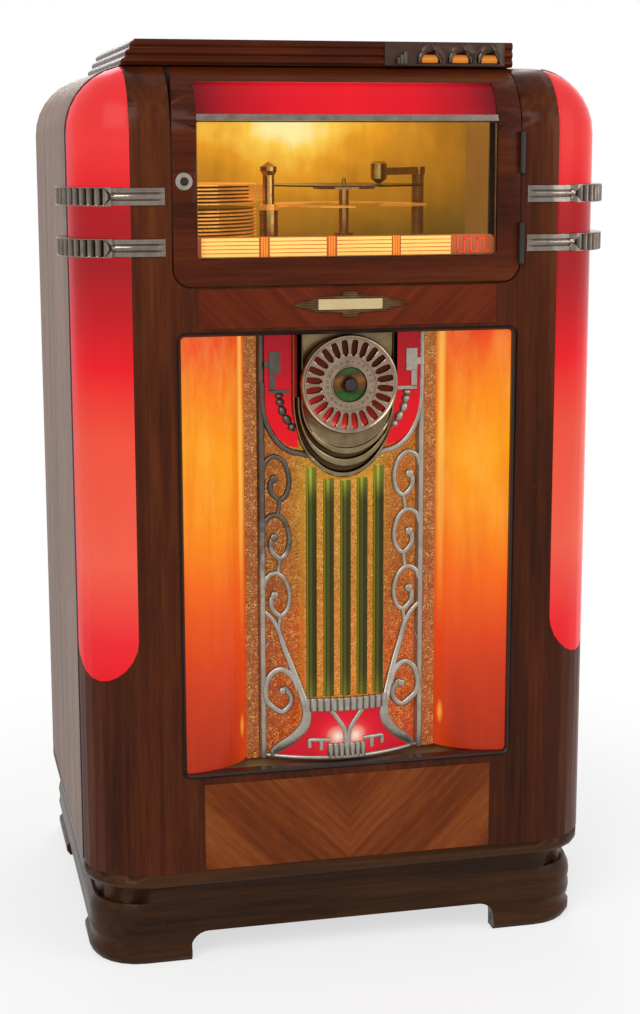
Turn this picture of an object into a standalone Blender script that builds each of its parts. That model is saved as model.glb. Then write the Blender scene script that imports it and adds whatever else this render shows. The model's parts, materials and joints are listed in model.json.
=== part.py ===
"""Floor-standing record console with a dial selector, a glazed swing door and lit corner pilasters."""

import math

import bmesh
import bpy
from mathutils import Matrix, Vector

# Cabinet body: a box whose front and top edges share one large round
BODY_HALF_WIDTH = 0.400
BODY_DEPTH = 0.640
BODY_TOP = 1.347
BODY_BOTTOM = 0.1523
BODY_HEIGHT = BODY_TOP - BODY_BOTTOM
CORNER_RADIUS = 0.097
CORNER_SEGMENTS = 8
WALL = 0.018
SEAM_DEPTH = 0.0895
CLEARANCE = 0.0003
OVERRUN = 0.020
MOVING_GAP = 0.002

# Lit corner plastics
PILASTER_FACE = 0.082
PILASTER_INNER_X = BODY_HALF_WIDTH - PILASTER_FACE
PILASTER_WALL = 0.0035
TONGUE_RISE = 0.2997
TONGUE_LOW = BODY_BOTTOM + TONGUE_RISE
TONGUE_HEIGHT = 0.066

# Front door with its rolled-back top
DOOR_SIDE_MARGIN = 0.1395
DOOR_HALF_WIDTH = BODY_HALF_WIDTH - DOOR_SIDE_MARGIN
DOOR_HEIGHT_SHARE = 0.262
DOOR_HEIGHT = BODY_HEIGHT * DOOR_HEIGHT_SHARE
DOOR_LOW = BODY_TOP - DOOR_HEIGHT
DOOR_CORNER = 0.028
DOOR_BACK_DEPTH = 0.085
DOOR_TAPER = 0.0125
WINDOW_SIDE_MARGIN = 0.0365
WINDOW_HALF_WIDTH = DOOR_HALF_WIDTH - WINDOW_SIDE_MARGIN
WINDOW_LOW_MARGIN = 0.0385
WINDOW_LOW = DOOR_LOW + WINDOW_LOW_MARGIN
WINDOW_TOP_MARGIN = 0.079
WINDOW_HEIGHT = DOOR_HEIGHT - WINDOW_LOW_MARGIN - WINDOW_TOP_MARGIN
WINDOW_HIGH = WINDOW_LOW + WINDOW_HEIGHT
WINDOW_CORNER = 0.008
GLASS_THICKNESS = 0.004
GLASS_DEPTH = 0.010
TITLE_BOARD_HEIGHT = 0.031
TITLE_BOARD_THICKNESS = 0.006
TOP_PANEL_SIDE_MARGIN = 0.001
TOP_PANEL_HALF_WIDTH = WINDOW_HALF_WIDTH - TOP_PANEL_SIDE_MARGIN
TRIM_HEIGHT = 0.0085
TOP_PANEL_LOW = WINDOW_HIGH + TRIM_HEIGHT
TOP_PANEL_HEIGHT = 0.0465
TOP_PANEL_HIGH = TOP_PANEL_LOW + TOP_PANEL_HEIGHT
TOP_PANEL_SINK = 0.004
TOP_PANEL_THICKNESS = 0.004
TRIM_PROUD = 0.002

# Door lock and hinges
LOCK_EDGE_DISTANCE = 0.019
LOCK_X = LOCK_EDGE_DISTANCE - DOOR_HALF_WIDTH
LOCK_RISE = 0.149
LOCK_Z = DOOR_LOW + LOCK_RISE
LOCK_RADIUS = 0.011
PLUG_RADIUS = 0.006
LOCK_PROUD = 0.002
LOCK_RIM_RADIUS = 0.0128
CAM_LENGTH = 0.028
CAM_WIDTH = 0.010
CAM_THICKNESS = 0.003
CAM_DEPTH = 0.0225
KNUCKLE_RADIUS = 0.0044
KNUCKLE_PROUD = 0.005
HINGE_LENGTH = 0.060
HINGE_RISES = (0.0565, 0.189)
HINGE_CENTRES = tuple(DOOR_LOW + rise for rise in HINGE_RISES)
LEAF_THICKNESS = 0.0012
LEAF_DEPTH = 0.015

# Veneer panels and the bare plate above the grille
VENEER_SIDE_MARGIN = 0.176
VENEER_HALF_WIDTH = BODY_HALF_WIDTH - VENEER_SIDE_MARGIN
VENEER_THICKNESS = 0.003
UPPER_VENEER_MARGIN = 0.0035
UPPER_VENEER_HEIGHT = 0.0575
UPPER_VENEER_HIGH = DOOR_LOW - UPPER_VENEER_MARGIN
UPPER_VENEER_LOW = UPPER_VENEER_HIGH - UPPER_VENEER_HEIGHT
LOWER_VENEER_MARGIN = 0.011
LOWER_VENEER_RISE = 0.0017
PLATE_HALF_LENGTH = 0.085
PLATE_HALF_HEIGHT = 0.018
PLATE_DROP = 0.0285
PLATE_Z = DOOR_LOW - PLATE_DROP
PLATE_THICKNESS = 0.003

# Grille opening and its surround
OPENING_SIDE_MARGIN = 0.144
OPENING_HALF_WIDTH = BODY_HALF_WIDTH - OPENING_SIDE_MARGIN
OPENING_LOW_SHARE = 0.1236
OPENING_LOW = BODY_BOTTOM + BODY_HEIGHT * OPENING_LOW_SHARE
OPENING_TOP_MARGIN = 0.0045
OPENING_HIGH = UPPER_VENEER_LOW - OPENING_TOP_MARGIN
OPENING_CORNER = 0.012
LOWER_VENEER_LOW = BODY_BOTTOM + LOWER_VENEER_RISE
LOWER_VENEER_HIGH = OPENING_LOW - LOWER_VENEER_MARGIN
SURROUND_WIDTH = 0.006
SURROUND_PROUD = 0.004
SURROUND_DEPTH = 0.0175

# Heights of the dial housing, which the pieces round it follow
HOUSING_TOP = OPENING_HIGH - SURROUND_WIDTH - CLEARANCE
HOUSING_STRAIGHT = 0.1022
HOUSING_SHOULDER = HOUSING_TOP - HOUSING_STRAIGHT
HOUSING_DROP = 0.1185

# Amber panels, curved back into the opening, and the sparkle strips
AMBER_OUTER_X = OPENING_HALF_WIDTH - SURROUND_WIDTH - CLEARANCE
AMBER_INNER_X = 0.1483
AMBER_FRONT_DEPTH = 0.006
AMBER_BACK_DEPTH = 0.062
AMBER_THICKNESS = 0.003
AMBER_SEGMENTS = 12
STRIP_OUTER_X = 0.148
STRIP_INNER_X = 0.130
STRIP_DEPTH = 0.055
STRIP_THICKNESS = 0.0125

# Sparkle backing and the half-round bars, over the emblem's header
HEADER_RISE = 0.084
HEADER_HEIGHT = 0.0205
HEADER_LOW = OPENING_LOW + HEADER_RISE
HEADER_HIGH = HEADER_LOW + HEADER_HEIGHT
BACKING_HALF_WIDTH = 0.149
BACKING_FRONT = 0.0658
BACKING_BACK = 0.0700
RAISED_HALF_WIDTH = 0.0625
RAISED_DEPTH = 0.0285
RAISED_BOW = 0.0074
RAISED_GAP = 0.001
RAISED_LOW = HEADER_HIGH + RAISED_GAP
RAISED_HIGH = HOUSING_SHOULDER - HOUSING_DROP - RAISED_GAP
BAR_COUNT = 5
BAR_PITCH = 0.026
BAR_RADIUS = 0.0083
BAR_LOW = RAISED_LOW + RAISED_GAP

# Grille casting, with the scrolls' levels and the swoosh's top as shares of the field
SCROLL_LEVEL_SHARES = (1.005, 0.740, 0.475)
SWOOSH_TOP_SHARE = 0.4195
RAIL_INNER_X = 0.1195
RAIL_OUTER_X = 0.1275
CAST_FRONT = 0.045
CAST_BACK = 0.0655
SCROLL_FRONT = 0.047
SCROLL_BACK = 0.0645
SCROLL_WIDTH = 0.0048
SCROLL_CENTRE_X = 0.0985
SCROLL_HALF_WIDTH = 0.0225
SCROLL_FIELD = RAISED_HIGH - HEADER_HIGH
SCROLL_HALF_HEIGHT = 0.0325
SCROLL_HEIGHTS = tuple(HEADER_HIGH + SCROLL_FIELD * share for share in SCROLL_LEVEL_SHARES)
SCROLL_STEPS = 19
VOLUTE_CENTRE_X = 0.0945
VOLUTE_RISE = 0.009
VOLUTE_CENTRE_Z = HEADER_HIGH + VOLUTE_RISE
VOLUTE_HALF_WIDTH = 0.0265
VOLUTE_HALF_HEIGHT = 0.036
EYE_RADIUS = 0.006
SWOOSH_SPAN = 0.054
SWOOSH_TOP_X = 0.1225
SWOOSH_END_MARGIN = 0.022
SWOOSH_TOP_Z = HEADER_HIGH + SCROLL_FIELD * SWOOSH_TOP_SHARE
SWOOSH_DROP = SWOOSH_TOP_Z - SWOOSH_END_MARGIN - OPENING_LOW
APRON_RISE = 0.010
APRON_TOP_Z = HOUSING_SHOULDER + APRON_RISE
APRON_CENTRE_X = 0.066
APRON_HALF_WIDTH = 0.0575
APRON_DROP = 0.097
CAST_RISE = 0.0055
CAST_LOW = OPENING_LOW + CAST_RISE
RIM_HEIGHT = 0.009
EMBLEM_FRONT = 0.012
HEADER_HALF_WIDTH = 0.066
HEADER_FLUTES = 13
SHIELD_TOP_HALF = 0.066
SHIELD_FOOT_HALF = 0.110
SHIELD_MIDDLE_DEPTH = 0.020
SHIELD_EDGE_DEPTH = 0.046
SHIELD_THICKNESS = 0.006
EMBLEM_FOOT_HALF = 0.031
EMBLEM_FOOT_RISE = 0.031
EMBLEM_FOOT_HIGH = OPENING_LOW + EMBLEM_FOOT_RISE
FOOT_FLUTES = 5
FLUTE_DEPTH = 0.004

# Upper red plastics beside the dial
CHEEK_INNER_X = 0.0795
CHEEK_OUTER_X = 0.1190
CHEEK_DROP = 0.070
CHEEK_LOW = HOUSING_SHOULDER - CHEEK_DROP
CHEEK_RISE = 0.003
CHEEK_SHOULDER = HOUSING_SHOULDER + CHEEK_RISE
CHEEK_CENTRE_X = 0.066
CHEEK_FRONT = 0.040

# Dial housing and selector
HOUSING_HALF_WIDTH = 0.078
HOUSING_FRONT = 0.012
HOUSING_MIDDLE_FRONT = 0.022
HOUSING_LOWER_FRONT = 0.034
HOUSING_FRONT_DROP = 0.075
HOUSING_MIDDLE_DROP = 0.096
HOUSING_SIDE_STEP = 0.0004
DIAL_DROP = 0.0752
DIAL_Z = HOUSING_TOP - DIAL_DROP
DIAL_RADIUS = 0.0735
DIAL_FRONT = -0.001
DIAL_BACK = 0.0087
DIAL_RIM_WIDTH = 0.0045
DIAL_RIM_PROUD = 0.003
DIAL_SLOTS = 24
SLOT_INNER = 0.0425
SLOT_OUTER = 0.0660
SLOT_HALF_WIDTH = 0.0042
DIAL_BORE = 0.0257
LENS_THICKNESS = 0.0027
WINDOW_RING_INNER = 0.0095
WINDOW_RING_PROUD = 0.002
BUTTON_RADIUS = 0.0092
BUTTON_FRONT = -0.012
BUTTON_BACK = 0.004

# Corner bands
BAND_RISES = (0.0565, 0.1285)
BAND_LEVELS = tuple(DOOR_LOW + rise for rise in BAND_RISES)
BAND_PROUD = 0.018
BAND_TIP_PROUD = 0.005
BAND_REACH = 0.1305
BAND_TIP_X = BODY_HALF_WIDTH - BAND_REACH
BAND_BAR_LENGTH = 0.0716
BAND_SIDE_DEPTH = 0.135
BAND_TIP_HALF = 0.0012
BAND_BAR_HALF = 0.0075
BAND_START_SHARE = 0.12
BAND_SWELL_SHARE = 0.80
BAND_HALF_HEIGHT = 0.0140

# Crown with its reeded front and coin fitting
CROWN_LEFT_MARGIN = 0.078
CROWN_RIGHT_MARGIN = 0.132
CROWN_BACK_MARGIN = 0.080
CROWN_LEFT_X = CROWN_LEFT_MARGIN - BODY_HALF_WIDTH
CROWN_RIGHT_X = BODY_HALF_WIDTH - CROWN_RIGHT_MARGIN
CROWN_FRONT_DEPTH = 0.075
CROWN_BACK_DEPTH = BODY_DEPTH - CROWN_BACK_MARGIN
CROWN_HEIGHT = 0.036
CROWN_REEDS = 3
CROWN_BACK_RADIUS = 0.034
REED_BULGE = 0.0055
COIN_RIGHT_MARGIN = 0.014
COIN_LENGTH = 0.185
COIN_RIGHT_X = CROWN_RIGHT_X - COIN_RIGHT_MARGIN
COIN_LEFT_X = COIN_RIGHT_X - COIN_LENGTH
COIN_THICKNESS = 0.011
COIN_SINK = 0.005
COIN_LOW_SHARE = 0.04
COIN_HIGH_SHARE = 0.97
COIN_WINDOW_OFFSETS = (0.117, 0.070, 0.025)
COIN_WINDOW_CENTRES = tuple(COIN_RIGHT_X - offset for offset in COIN_WINDOW_OFFSETS)
COIN_WINDOW_HALF = 0.0135
COIN_WINDOW_LOW_SHARE = 0.14
COIN_WINDOW_HIGH_SHARE = 0.60
HOOD_RADIUS = 0.0165
HOOD_PROUD = 0.006

# Bottom board, recess and plinth
BOTTOM_THICKNESS = 0.0230
BOTTOM_EDGE_ROUND = 0.008
RECESS_INSET = 0.020
PLINTH_TOP = 0.0960
PLINTH_SIDE_INSET = 0.008
PLINTH_HALF_WIDTH = BODY_HALF_WIDTH - PLINTH_SIDE_INSET
PLINTH_FRONT_DEPTH = 0.0215
PLINTH_CORNER = 0.080
PLINTH_WALL = 0.030
LOWER_BEAD_TOP = 0.0255
GROOVE_INSET = 0.006
MIDDLE_BEAD_TOP = 0.058
MIDDLE_INSET = 0.002
FRONT_FOOT_LENGTH = 0.1495
FOOT_HALF_GAP = PLINTH_HALF_WIDTH - FRONT_FOOT_LENGTH
FOOT_CUT_HEIGHT = 0.047
FOOT_CUT_RADIUS = 0.026
SIDE_FOOT_LENGTH = 0.150

# Inside: shelf, baffle, speaker, amplifier, cash box
SHELF_DROP = 0.049
SHELF_LOW = DOOR_LOW - SHELF_DROP
SHELF_THICKNESS = 0.018
SHELF_FRONT = 0.0960
SHELF_BACK_MARGIN = 0.040
SHELF_BACK = BODY_DEPTH - SHELF_BACK_MARGIN
BAFFLE_SIDE_MARGIN = 0.110
BAFFLE_HALF_WIDTH = BODY_HALF_WIDTH - BAFFLE_SIDE_MARGIN
BAFFLE_FRONT = BACKING_BACK + CLEARANCE
BAFFLE_THICKNESS = 0.015
SPEAKER_RISE = 0.260
SPEAKER_Z = OPENING_LOW + SPEAKER_RISE
SPEAKER_RADIUS = 0.150
SPEAKER_HOLE = 0.132
CONE_DEPTH = 0.070
CONE_THROAT = 0.024
CONE_WALL = 0.0015
BASKET_WALL = 0.004
MAGNET_RADIUS = 0.062
MAGNET_LENGTH = 0.055
AMPLIFIER_HALF_WIDTH = 0.190
AMPLIFIER_DEPTH = 0.200
AMPLIFIER_HEIGHT = 0.065
AMPLIFIER_REAR_MARGIN = 0.110
AMPLIFIER_FRONT = BODY_DEPTH - AMPLIFIER_REAR_MARGIN - AMPLIFIER_DEPTH
TUBE_RADIUS = 0.021
TUBE_HEIGHT = 0.095
TUBE_COUNT = 4
CASH_WIDTH = 0.090
CASH_DEPTH = 0.140
CASH_HEIGHT = 0.110

# Record mechanism
TRAY_RISE = 0.155
TRAY_LEVEL = SHELF_LOW + TRAY_RISE
MECH_PLATE_THICKNESS = 0.012
MECH_SIDE_MARGIN = 0.050
MECH_LEFT_X = MECH_SIDE_MARGIN - BODY_HALF_WIDTH
MECH_FRONT = 0.110
MECH_BACK = 0.480
POST_OFFSET = 0.273
POST_X = MECH_LEFT_X + POST_OFFSET
POST_DEPTH = 0.215
POST_RADIUS = 0.009
POST_TOP_RISE = 0.048
POST_TOP = TRAY_LEVEL + POST_TOP_RISE
POST_KNOB_RADIUS = 0.013
SWING_RADIUS = 0.156
STACK_ANGLE = math.radians(152.0)
PLAY_ANGLE = math.radians(28.0)
TRAY_RADIUS = 0.1325
TRAY_THICKNESS = 0.0020
TRAY_PITCH = 0.0056
TRAYS_ABOVE = 6
TRAYS_BELOW = 17
TRAY_SPINE_RADIUS = 0.022
TRAY_HOLE_RADIUS = 0.070
TRAY_GAP_HALF_ANGLE = math.radians(22.0)
TRAY_GAP_TURN = math.radians(12.0)
TRAY_ARM_HALF_WIDTH = 0.009
COLLAR_RADIUS = 0.0145
RECORD_RADIUS = 0.127
RECORD_THICKNESS = 0.0020
RECORD_RISE = 0.0312
RECORD_LEVEL = TRAY_LEVEL + RECORD_RISE
PLATTER_RADIUS = 0.050
PLATTER_THICKNESS = 0.005
SPINDLE_RADIUS = 0.0034
SPINDLE_HEIGHT = 0.012
SHAFT_RADIUS = 0.008
LIFT_TUBE_RADIUS = 0.015
LIFT_TUBE_DROP = 0.045
LIFT_TUBE_TOP = TRAY_LEVEL - LIFT_TUBE_DROP
LIFT_FOOT_RADIUS = 0.036
LIFT_TRAVEL = 0.028
LIFT_GUIDE_HEIGHT = 0.045
MOTOR_RADIUS = 0.050
MOTOR_HEIGHT = 0.062
MOTOR_OFFSET = 0.222
MOTOR_X = POST_X + MOTOR_OFFSET
MOTOR_DEPTH = 0.400
ARM_POST_OFFSET = 0.277
MECH_RIGHT_MARGIN = 0.015
ARM_POST_X = POST_X + ARM_POST_OFFSET
MECH_RIGHT_X = ARM_POST_X + MECH_RIGHT_MARGIN
ARM_POST_DEPTH = 0.345
ARM_POST_RADIUS = 0.010
ARM_POST_RISE = 0.046
ARM_POST_TOP = TRAY_LEVEL + ARM_POST_RISE
ARM_HALF_WIDTH = 0.007
ARM_THICKNESS = 0.012
ARM_REST_ANGLE = math.radians(225.0)
ARM_LENGTH = 0.128
PICKUP_RADIUS = 0.013

# Rear door and its furniture
REAR_PANEL_THICKNESS = 0.012
REAR_PANEL_SINK = 0.002
REAR_LOUVRES = 6
LOUVRE_HALF_LENGTH = 0.160
LOUVRE_HEIGHT = 0.010
LOUVRE_PITCH = 0.036
LOUVRE_DROP = 0.647
LOUVRE_FIRST = BODY_TOP - LOUVRE_DROP
REAR_HINGE_TOP_MARGIN = 0.177
REAR_HINGE_LOW_MARGIN = 0.1177
REAR_HINGE_LENGTH = BODY_TOP - REAR_HINGE_TOP_MARGIN - BODY_BOTTOM - REAR_HINGE_LOW_MARGIN
REAR_HINGE_Z = BODY_BOTTOM + REAR_HINGE_LOW_MARGIN + REAR_HINGE_LENGTH / 2
REAR_LATCH_RADIUS = 0.012
REAR_LATCH_MARGIN = 0.055
REAR_LATCH_X = REAR_LATCH_MARGIN - BODY_HALF_WIDTH
REAR_LATCH_DROP = 0.617
REAR_LATCH_Z = BODY_TOP - REAR_LATCH_DROP
REAR_LATCH_PROUD = 0.006
LATCH_WING_HALF = 0.009
LATCH_WING_PROUD = 0.0105

REAR_PROUD = KNUCKLE_PROUD + KNUCKLE_RADIUS
FRONT_Y = (-BUTTON_FRONT - BODY_DEPTH - REAR_PROUD) / 2

# Shares of a spiral's size, of a swoosh's span and drop, and of the plate's half length and height
SPIRAL_END_SHARE = 0.24
SPIRAL_TURNS = 1.35
SWOOSH_SHARES = (
    (0.0, 0.0),
    (0.23, 0.083),
    (0.435, 0.172),
    (0.574, 0.284),
    (0.76, 0.41),
    (0.935, 0.539),
    (1.0, 0.66),
)
PLATE_SHARES = ((1.0, 0.0), (0.62, 0.55), (0.30, 0.80), (0.0, 1.0), (-0.30, 0.80), (-0.62, 0.55))
LEAF_SHARES = ((0.0, 0.33), (0.08, 0.29), (0.157, 0.244))
SHIELD_SHARES = ((0.0, 1.0), (0.02, 0.81), (0.34, 0.54), (0.82, 0.30), (1.0, 0.12), (1.0, 0.0))
WINDOW_SHARES = (
    (0.47, 0.94),
    (0.22, 0.94),
    (0.11, 0.76),
    (0.05, 0.55),
    (0.07, 0.40),
    (0.28, 0.40),
    (0.93, 0.26),
)
AMBER_EASE_SHARE = 0.35
VOLUTE_EYE_SHARE = 1.3
SHIELD_STEPS = 8
DIAL_RIM_INNER_SHARE = 0.6
DIAL_RIM_OUTER_SHARE = 0.2
BUTTON_CROWN_SHARE = 0.75
HINGE_LEAF_INSET_SHARE = 1 / 60
TUBE_NECK_SHARE = 0.7
TUBE_TIP_SHARE = 0.6
TUBE_NECK_HEIGHT_SHARE = 0.25
TUBE_SHOULDER_HEIGHT_SHARE = 0.45
TUBE_TIP_HEIGHT_SHARE = 0.9
CASH_BACK_SHARE = 1.5
KNOB_HEIGHT_SHARE = 1.6
SPINDLE_SHOULDER_SHARE = 0.7
MOTOR_SHOULDER_SHARE = 0.85
MOTOR_TOP_SHARE = 0.8
ARM_FOOT_SHARE = 1.6
ARM_HUB_SHARE = 1.2
TRAY_STEPS = 28
ROUND_STEPS = 6


def depth(distance):
    """World y of a distance measured back from the cabinet's flat front."""
    return FRONT_Y + distance


def material(name, colour, roughness, metallic=0.0):
    made = bpy.data.materials.new(name)
    made.use_nodes = True
    shader = made.node_tree.nodes["Principled BSDF"]
    shader.inputs["Base Color"].default_value = (*colour, 1.0)
    shader.inputs["Roughness"].default_value = roughness
    shader.inputs["Metallic"].default_value = metallic
    return made


def add_object(name, mesh_edit, finish=None, origin=(0.0, 0.0, 0.0), angle=32.0):
    """Turns an edit mesh in world space into an object whose origin is the given point."""
    bmesh.ops.remove_doubles(mesh_edit, verts=mesh_edit.verts, dist=1e-6)
    bmesh.ops.recalc_face_normals(mesh_edit, faces=mesh_edit.faces)
    bmesh.ops.translate(mesh_edit, verts=mesh_edit.verts, vec=-Vector(origin))
    mesh = bpy.data.meshes.new(name)
    mesh_edit.to_mesh(mesh)
    mesh_edit.free()
    mesh.shade_smooth()
    mesh.set_sharp_from_angle(angle=math.radians(angle))
    made = bpy.data.objects.new(name, mesh)
    made.location = origin
    if finish is not None:
        mesh.materials.append(finish)
    bpy.context.scene.collection.objects.link(made)
    return made


def modify(target, tool, operation="DIFFERENCE"):
    """Adds an exact Boolean that uses a hidden tool."""
    tool.hide_render = True
    tool.display_type = "WIRE"
    step = target.modifiers.new(tool.name, "BOOLEAN")
    step.operation = operation
    step.solver = "EXACT"
    step.object = tool
    return target


def block_mesh(low, high):
    made = bmesh.new()
    bmesh.ops.create_cube(made, size=1.0)
    span = [b - a for a, b in zip(low, high)]
    middle = [(a + b) / 2 for a, b in zip(low, high)]
    bmesh.ops.scale(made, vec=span, verts=made.verts)
    bmesh.ops.translate(made, vec=middle, verts=made.verts)
    return made


def block(name, low, high, finish=None, origin=(0.0, 0.0, 0.0)):
    return add_object(name, block_mesh(low, high), finish, origin)


def place(first, second, along, axis):
    """A point from its two outline coordinates and its place along the extrusion axis."""
    if axis == "Y":
        return (first, along, second)
    if axis == "Z":
        return (first, second, along)
    return (along, first, second)


def prism_mesh(outline, low, high, axis):
    """Extrudes one closed outline between two places on an axis."""
    made = bmesh.new()
    ring = [made.verts.new(place(a, b, low, axis)) for a, b in outline]
    face = made.faces.new(ring)
    moved = bmesh.ops.extrude_face_region(made, geom=[face])["geom"]
    shift = Vector(place(0.0, 0.0, high - low, axis))
    points = [item for item in moved if isinstance(item, bmesh.types.BMVert)]
    bmesh.ops.translate(made, vec=shift, verts=points)
    return made


def prism(name, outline, low, high, axis, finish=None, origin=(0.0, 0.0, 0.0)):
    return add_object(name, prism_mesh(outline, low, high, axis), finish, origin)


def loft_mesh(rings, closed=False):
    """Bridges equal rings of points, either capped at both ends or joined into a closed loop."""
    made = bmesh.new()
    made_rings = [[made.verts.new(point) for point in ring] for ring in rings]
    pairs = list(zip(made_rings, made_rings[1:]))
    if closed:
        pairs.append((made_rings[-1], made_rings[0]))
    else:
        made.faces.new(made_rings[0])
        made.faces.new(made_rings[-1])
    for first, second in pairs:
        for index in range(len(first)):
            following = (index + 1) % len(first)
            made.faces.new((first[index], first[following], second[following], second[index]))
    return made


def lathe_mesh(profile, centre, segments, axis="Z"):
    """Turns a profile of radius and height about an axis; a zero radius makes a pole."""
    made = bmesh.new()
    rings = []
    for radius, height in profile:
        if radius == 0.0:
            offset = place(0.0, 0.0, height, axis)
            rings.append([made.verts.new([c + o for c, o in zip(centre, offset)])])
            continue
        ring = []
        for index in range(segments):
            turn = math.tau * index / segments
            offset = place(radius * math.cos(turn), radius * math.sin(turn), height, axis)
            ring.append(made.verts.new([c + o for c, o in zip(centre, offset)]))
        rings.append(ring)
    pairs = list(zip(rings, rings[1:]))
    if len(rings[0]) > 1 and len(rings[-1]) > 1:
        pairs.append((rings[-1], rings[0]))
    for first, second in pairs:
        for index in range(segments):
            following = (index + 1) % segments
            if len(first) == 1:
                made.faces.new((first[0], second[following], second[index]))
            elif len(second) == 1:
                made.faces.new((first[index], first[following], second[0]))
            else:
                made.faces.new((first[index], first[following], second[following], second[index]))
    return made


def lathe(name, profile, centre, segments, finish=None, axis="Z", origin=(0.0, 0.0, 0.0)):
    return add_object(name, lathe_mesh(profile, centre, segments, axis), finish, origin)


def ribbon_mesh(path, width, low, high):
    """A strip of constant width that follows a path in the front plane, between two depths."""
    rings = []
    for index, (x, z) in enumerate(path):
        before = Vector(path[max(index - 1, 0)])
        after = Vector(path[min(index + 1, len(path) - 1)])
        along = (after - before).normalized()
        side = Vector((-along.y, along.x)) * width / 2
        rings.append(
            [
                (x + side.x, depth(low), z + side.y),
                (x + side.x, depth(high), z + side.y),
                (x - side.x, depth(high), z - side.y),
                (x - side.x, depth(low), z - side.y),
            ]
        )
    return loft_mesh(rings)


def rounded_outline(half_width, low, high, radius, top=True):
    """A rectangle in the front plane with rounded bottom corners, and top ones too where asked."""
    corners = [(half_width - radius, low + radius, -90.0), (-half_width + radius, low + radius, 180.0)]
    if top:
        corners.insert(1, (half_width - radius, high - radius, 0.0))
        corners.insert(2, (-half_width + radius, high - radius, 90.0))
    points = []
    for place_index, (x, z, start) in enumerate(corners):
        for step in range(ROUND_STEPS + 1):
            turn = math.radians(start + 90.0 * step / ROUND_STEPS)
            points.append((x + radius * math.cos(turn), z + radius * math.sin(turn)))
        if not top and place_index == 0:
            points.append((half_width, high))
            points.append((-half_width, high))
    return points


def body_mesh(inset, overrun=0.0):
    """The cabinet's outer form, or the same form moved inward everywhere by the inset."""
    reach = BODY_HALF_WIDTH - inset
    low = (-reach, depth(inset), BODY_BOTTOM - overrun)
    high = (reach, depth(BODY_DEPTH) + overrun, BODY_TOP - inset)
    made = block_mesh(low, high)
    near = CORNER_RADIUS / 2
    edges = []
    for edge in made.edges:
        middle = (edge.verts[0].co + edge.verts[1].co) / 2
        at_side = abs(middle.x) > reach - near
        at_front = middle.y < low[1] + near
        at_top = middle.z > high[2] - near
        if at_side + at_front + at_top >= 2:
            edges.append(edge)
    bmesh.ops.bevel(
        made,
        geom=edges,
        offset=CORNER_RADIUS - inset,
        segments=CORNER_SEGMENTS,
        profile=0.5,
        affect="EDGES",
    )
    return made


def body_form(name, inset, overrun=0.0, finish=None, origin=(0.0, 0.0, 0.0)):
    return add_object(name, body_mesh(inset, overrun), finish, origin)


def corner_region(name, side, margin, y_high):
    """The volume of one lit corner: outboard of the stile, above the rounded tongue."""
    outer = BODY_HALF_WIDTH + OVERRUN
    inner = PILASTER_INNER_X + margin
    xs = sorted((side * inner, side * outer))
    region = block(
        name,
        (xs[0], depth(-OVERRUN), TONGUE_LOW - OVERRUN),
        (xs[1], y_high, BODY_TOP + OVERRUN),
    )
    centre = Vector((side * (BODY_HALF_WIDTH - CORNER_RADIUS), depth(CORNER_RADIUS)))
    across = Vector((side, 1.0)).normalized()
    outward = Vector((side, -1.0)).normalized()
    start = math.asin((PILASTER_INNER_X - BODY_HALF_WIDTH + CORNER_RADIUS) / CORNER_RADIUS) - math.pi / 4
    end = math.asin((SEAM_DEPTH - CORNER_RADIUS) / CORNER_RADIUS) + math.pi / 4
    left = CORNER_RADIUS * math.sin(start)
    right = CORNER_RADIUS * math.sin(end)
    middle = (left + right) / 2
    half = (right - left) / 2 - margin
    outline = []
    for step in range(2 * ROUND_STEPS + 1):
        turn = math.pi * (1.0 + step / (2 * ROUND_STEPS))
        outline.append(
            (
                middle + half * math.cos(turn),
                TONGUE_LOW + TONGUE_HEIGHT + (TONGUE_HEIGHT - margin) * math.sin(turn),
            )
        )
    wide = BODY_HALF_WIDTH
    step_z = TONGUE_LOW + TONGUE_HEIGHT
    lid_z = BODY_TOP + 2 * OVERRUN
    outline += [(wide, step_z), (wide, lid_z), (-wide, lid_z), (-wide, step_z)]
    rings = []
    for reach in (-CORNER_RADIUS, CORNER_RADIUS + 2 * OVERRUN):
        ring = []
        for q, z in outline:
            flat = centre + across * q + outward * reach
            ring.append((flat.x, flat.y, z))
        rings.append(ring)
    tongue = add_object(name + "_tongue", loft_mesh(rings))
    modify(region, tongue, "INTERSECT")
    return region


def plan_ring(half_width, front, back, radius, z):
    """A plan outline with two rounded front corners and square rear corners."""
    points = []
    for side, start in ((-1, 180.0), (1, 270.0)):
        x = side * (half_width - radius)
        for step in range(ROUND_STEPS + 1):
            turn = math.radians(start + 90.0 * step / ROUND_STEPS)
            points.append((x + radius * math.cos(turn), depth(front + radius) + radius * math.sin(turn), z))
    points.append((half_width, depth(back), z))
    points.append((-half_width, depth(back), z))
    return points


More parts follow.
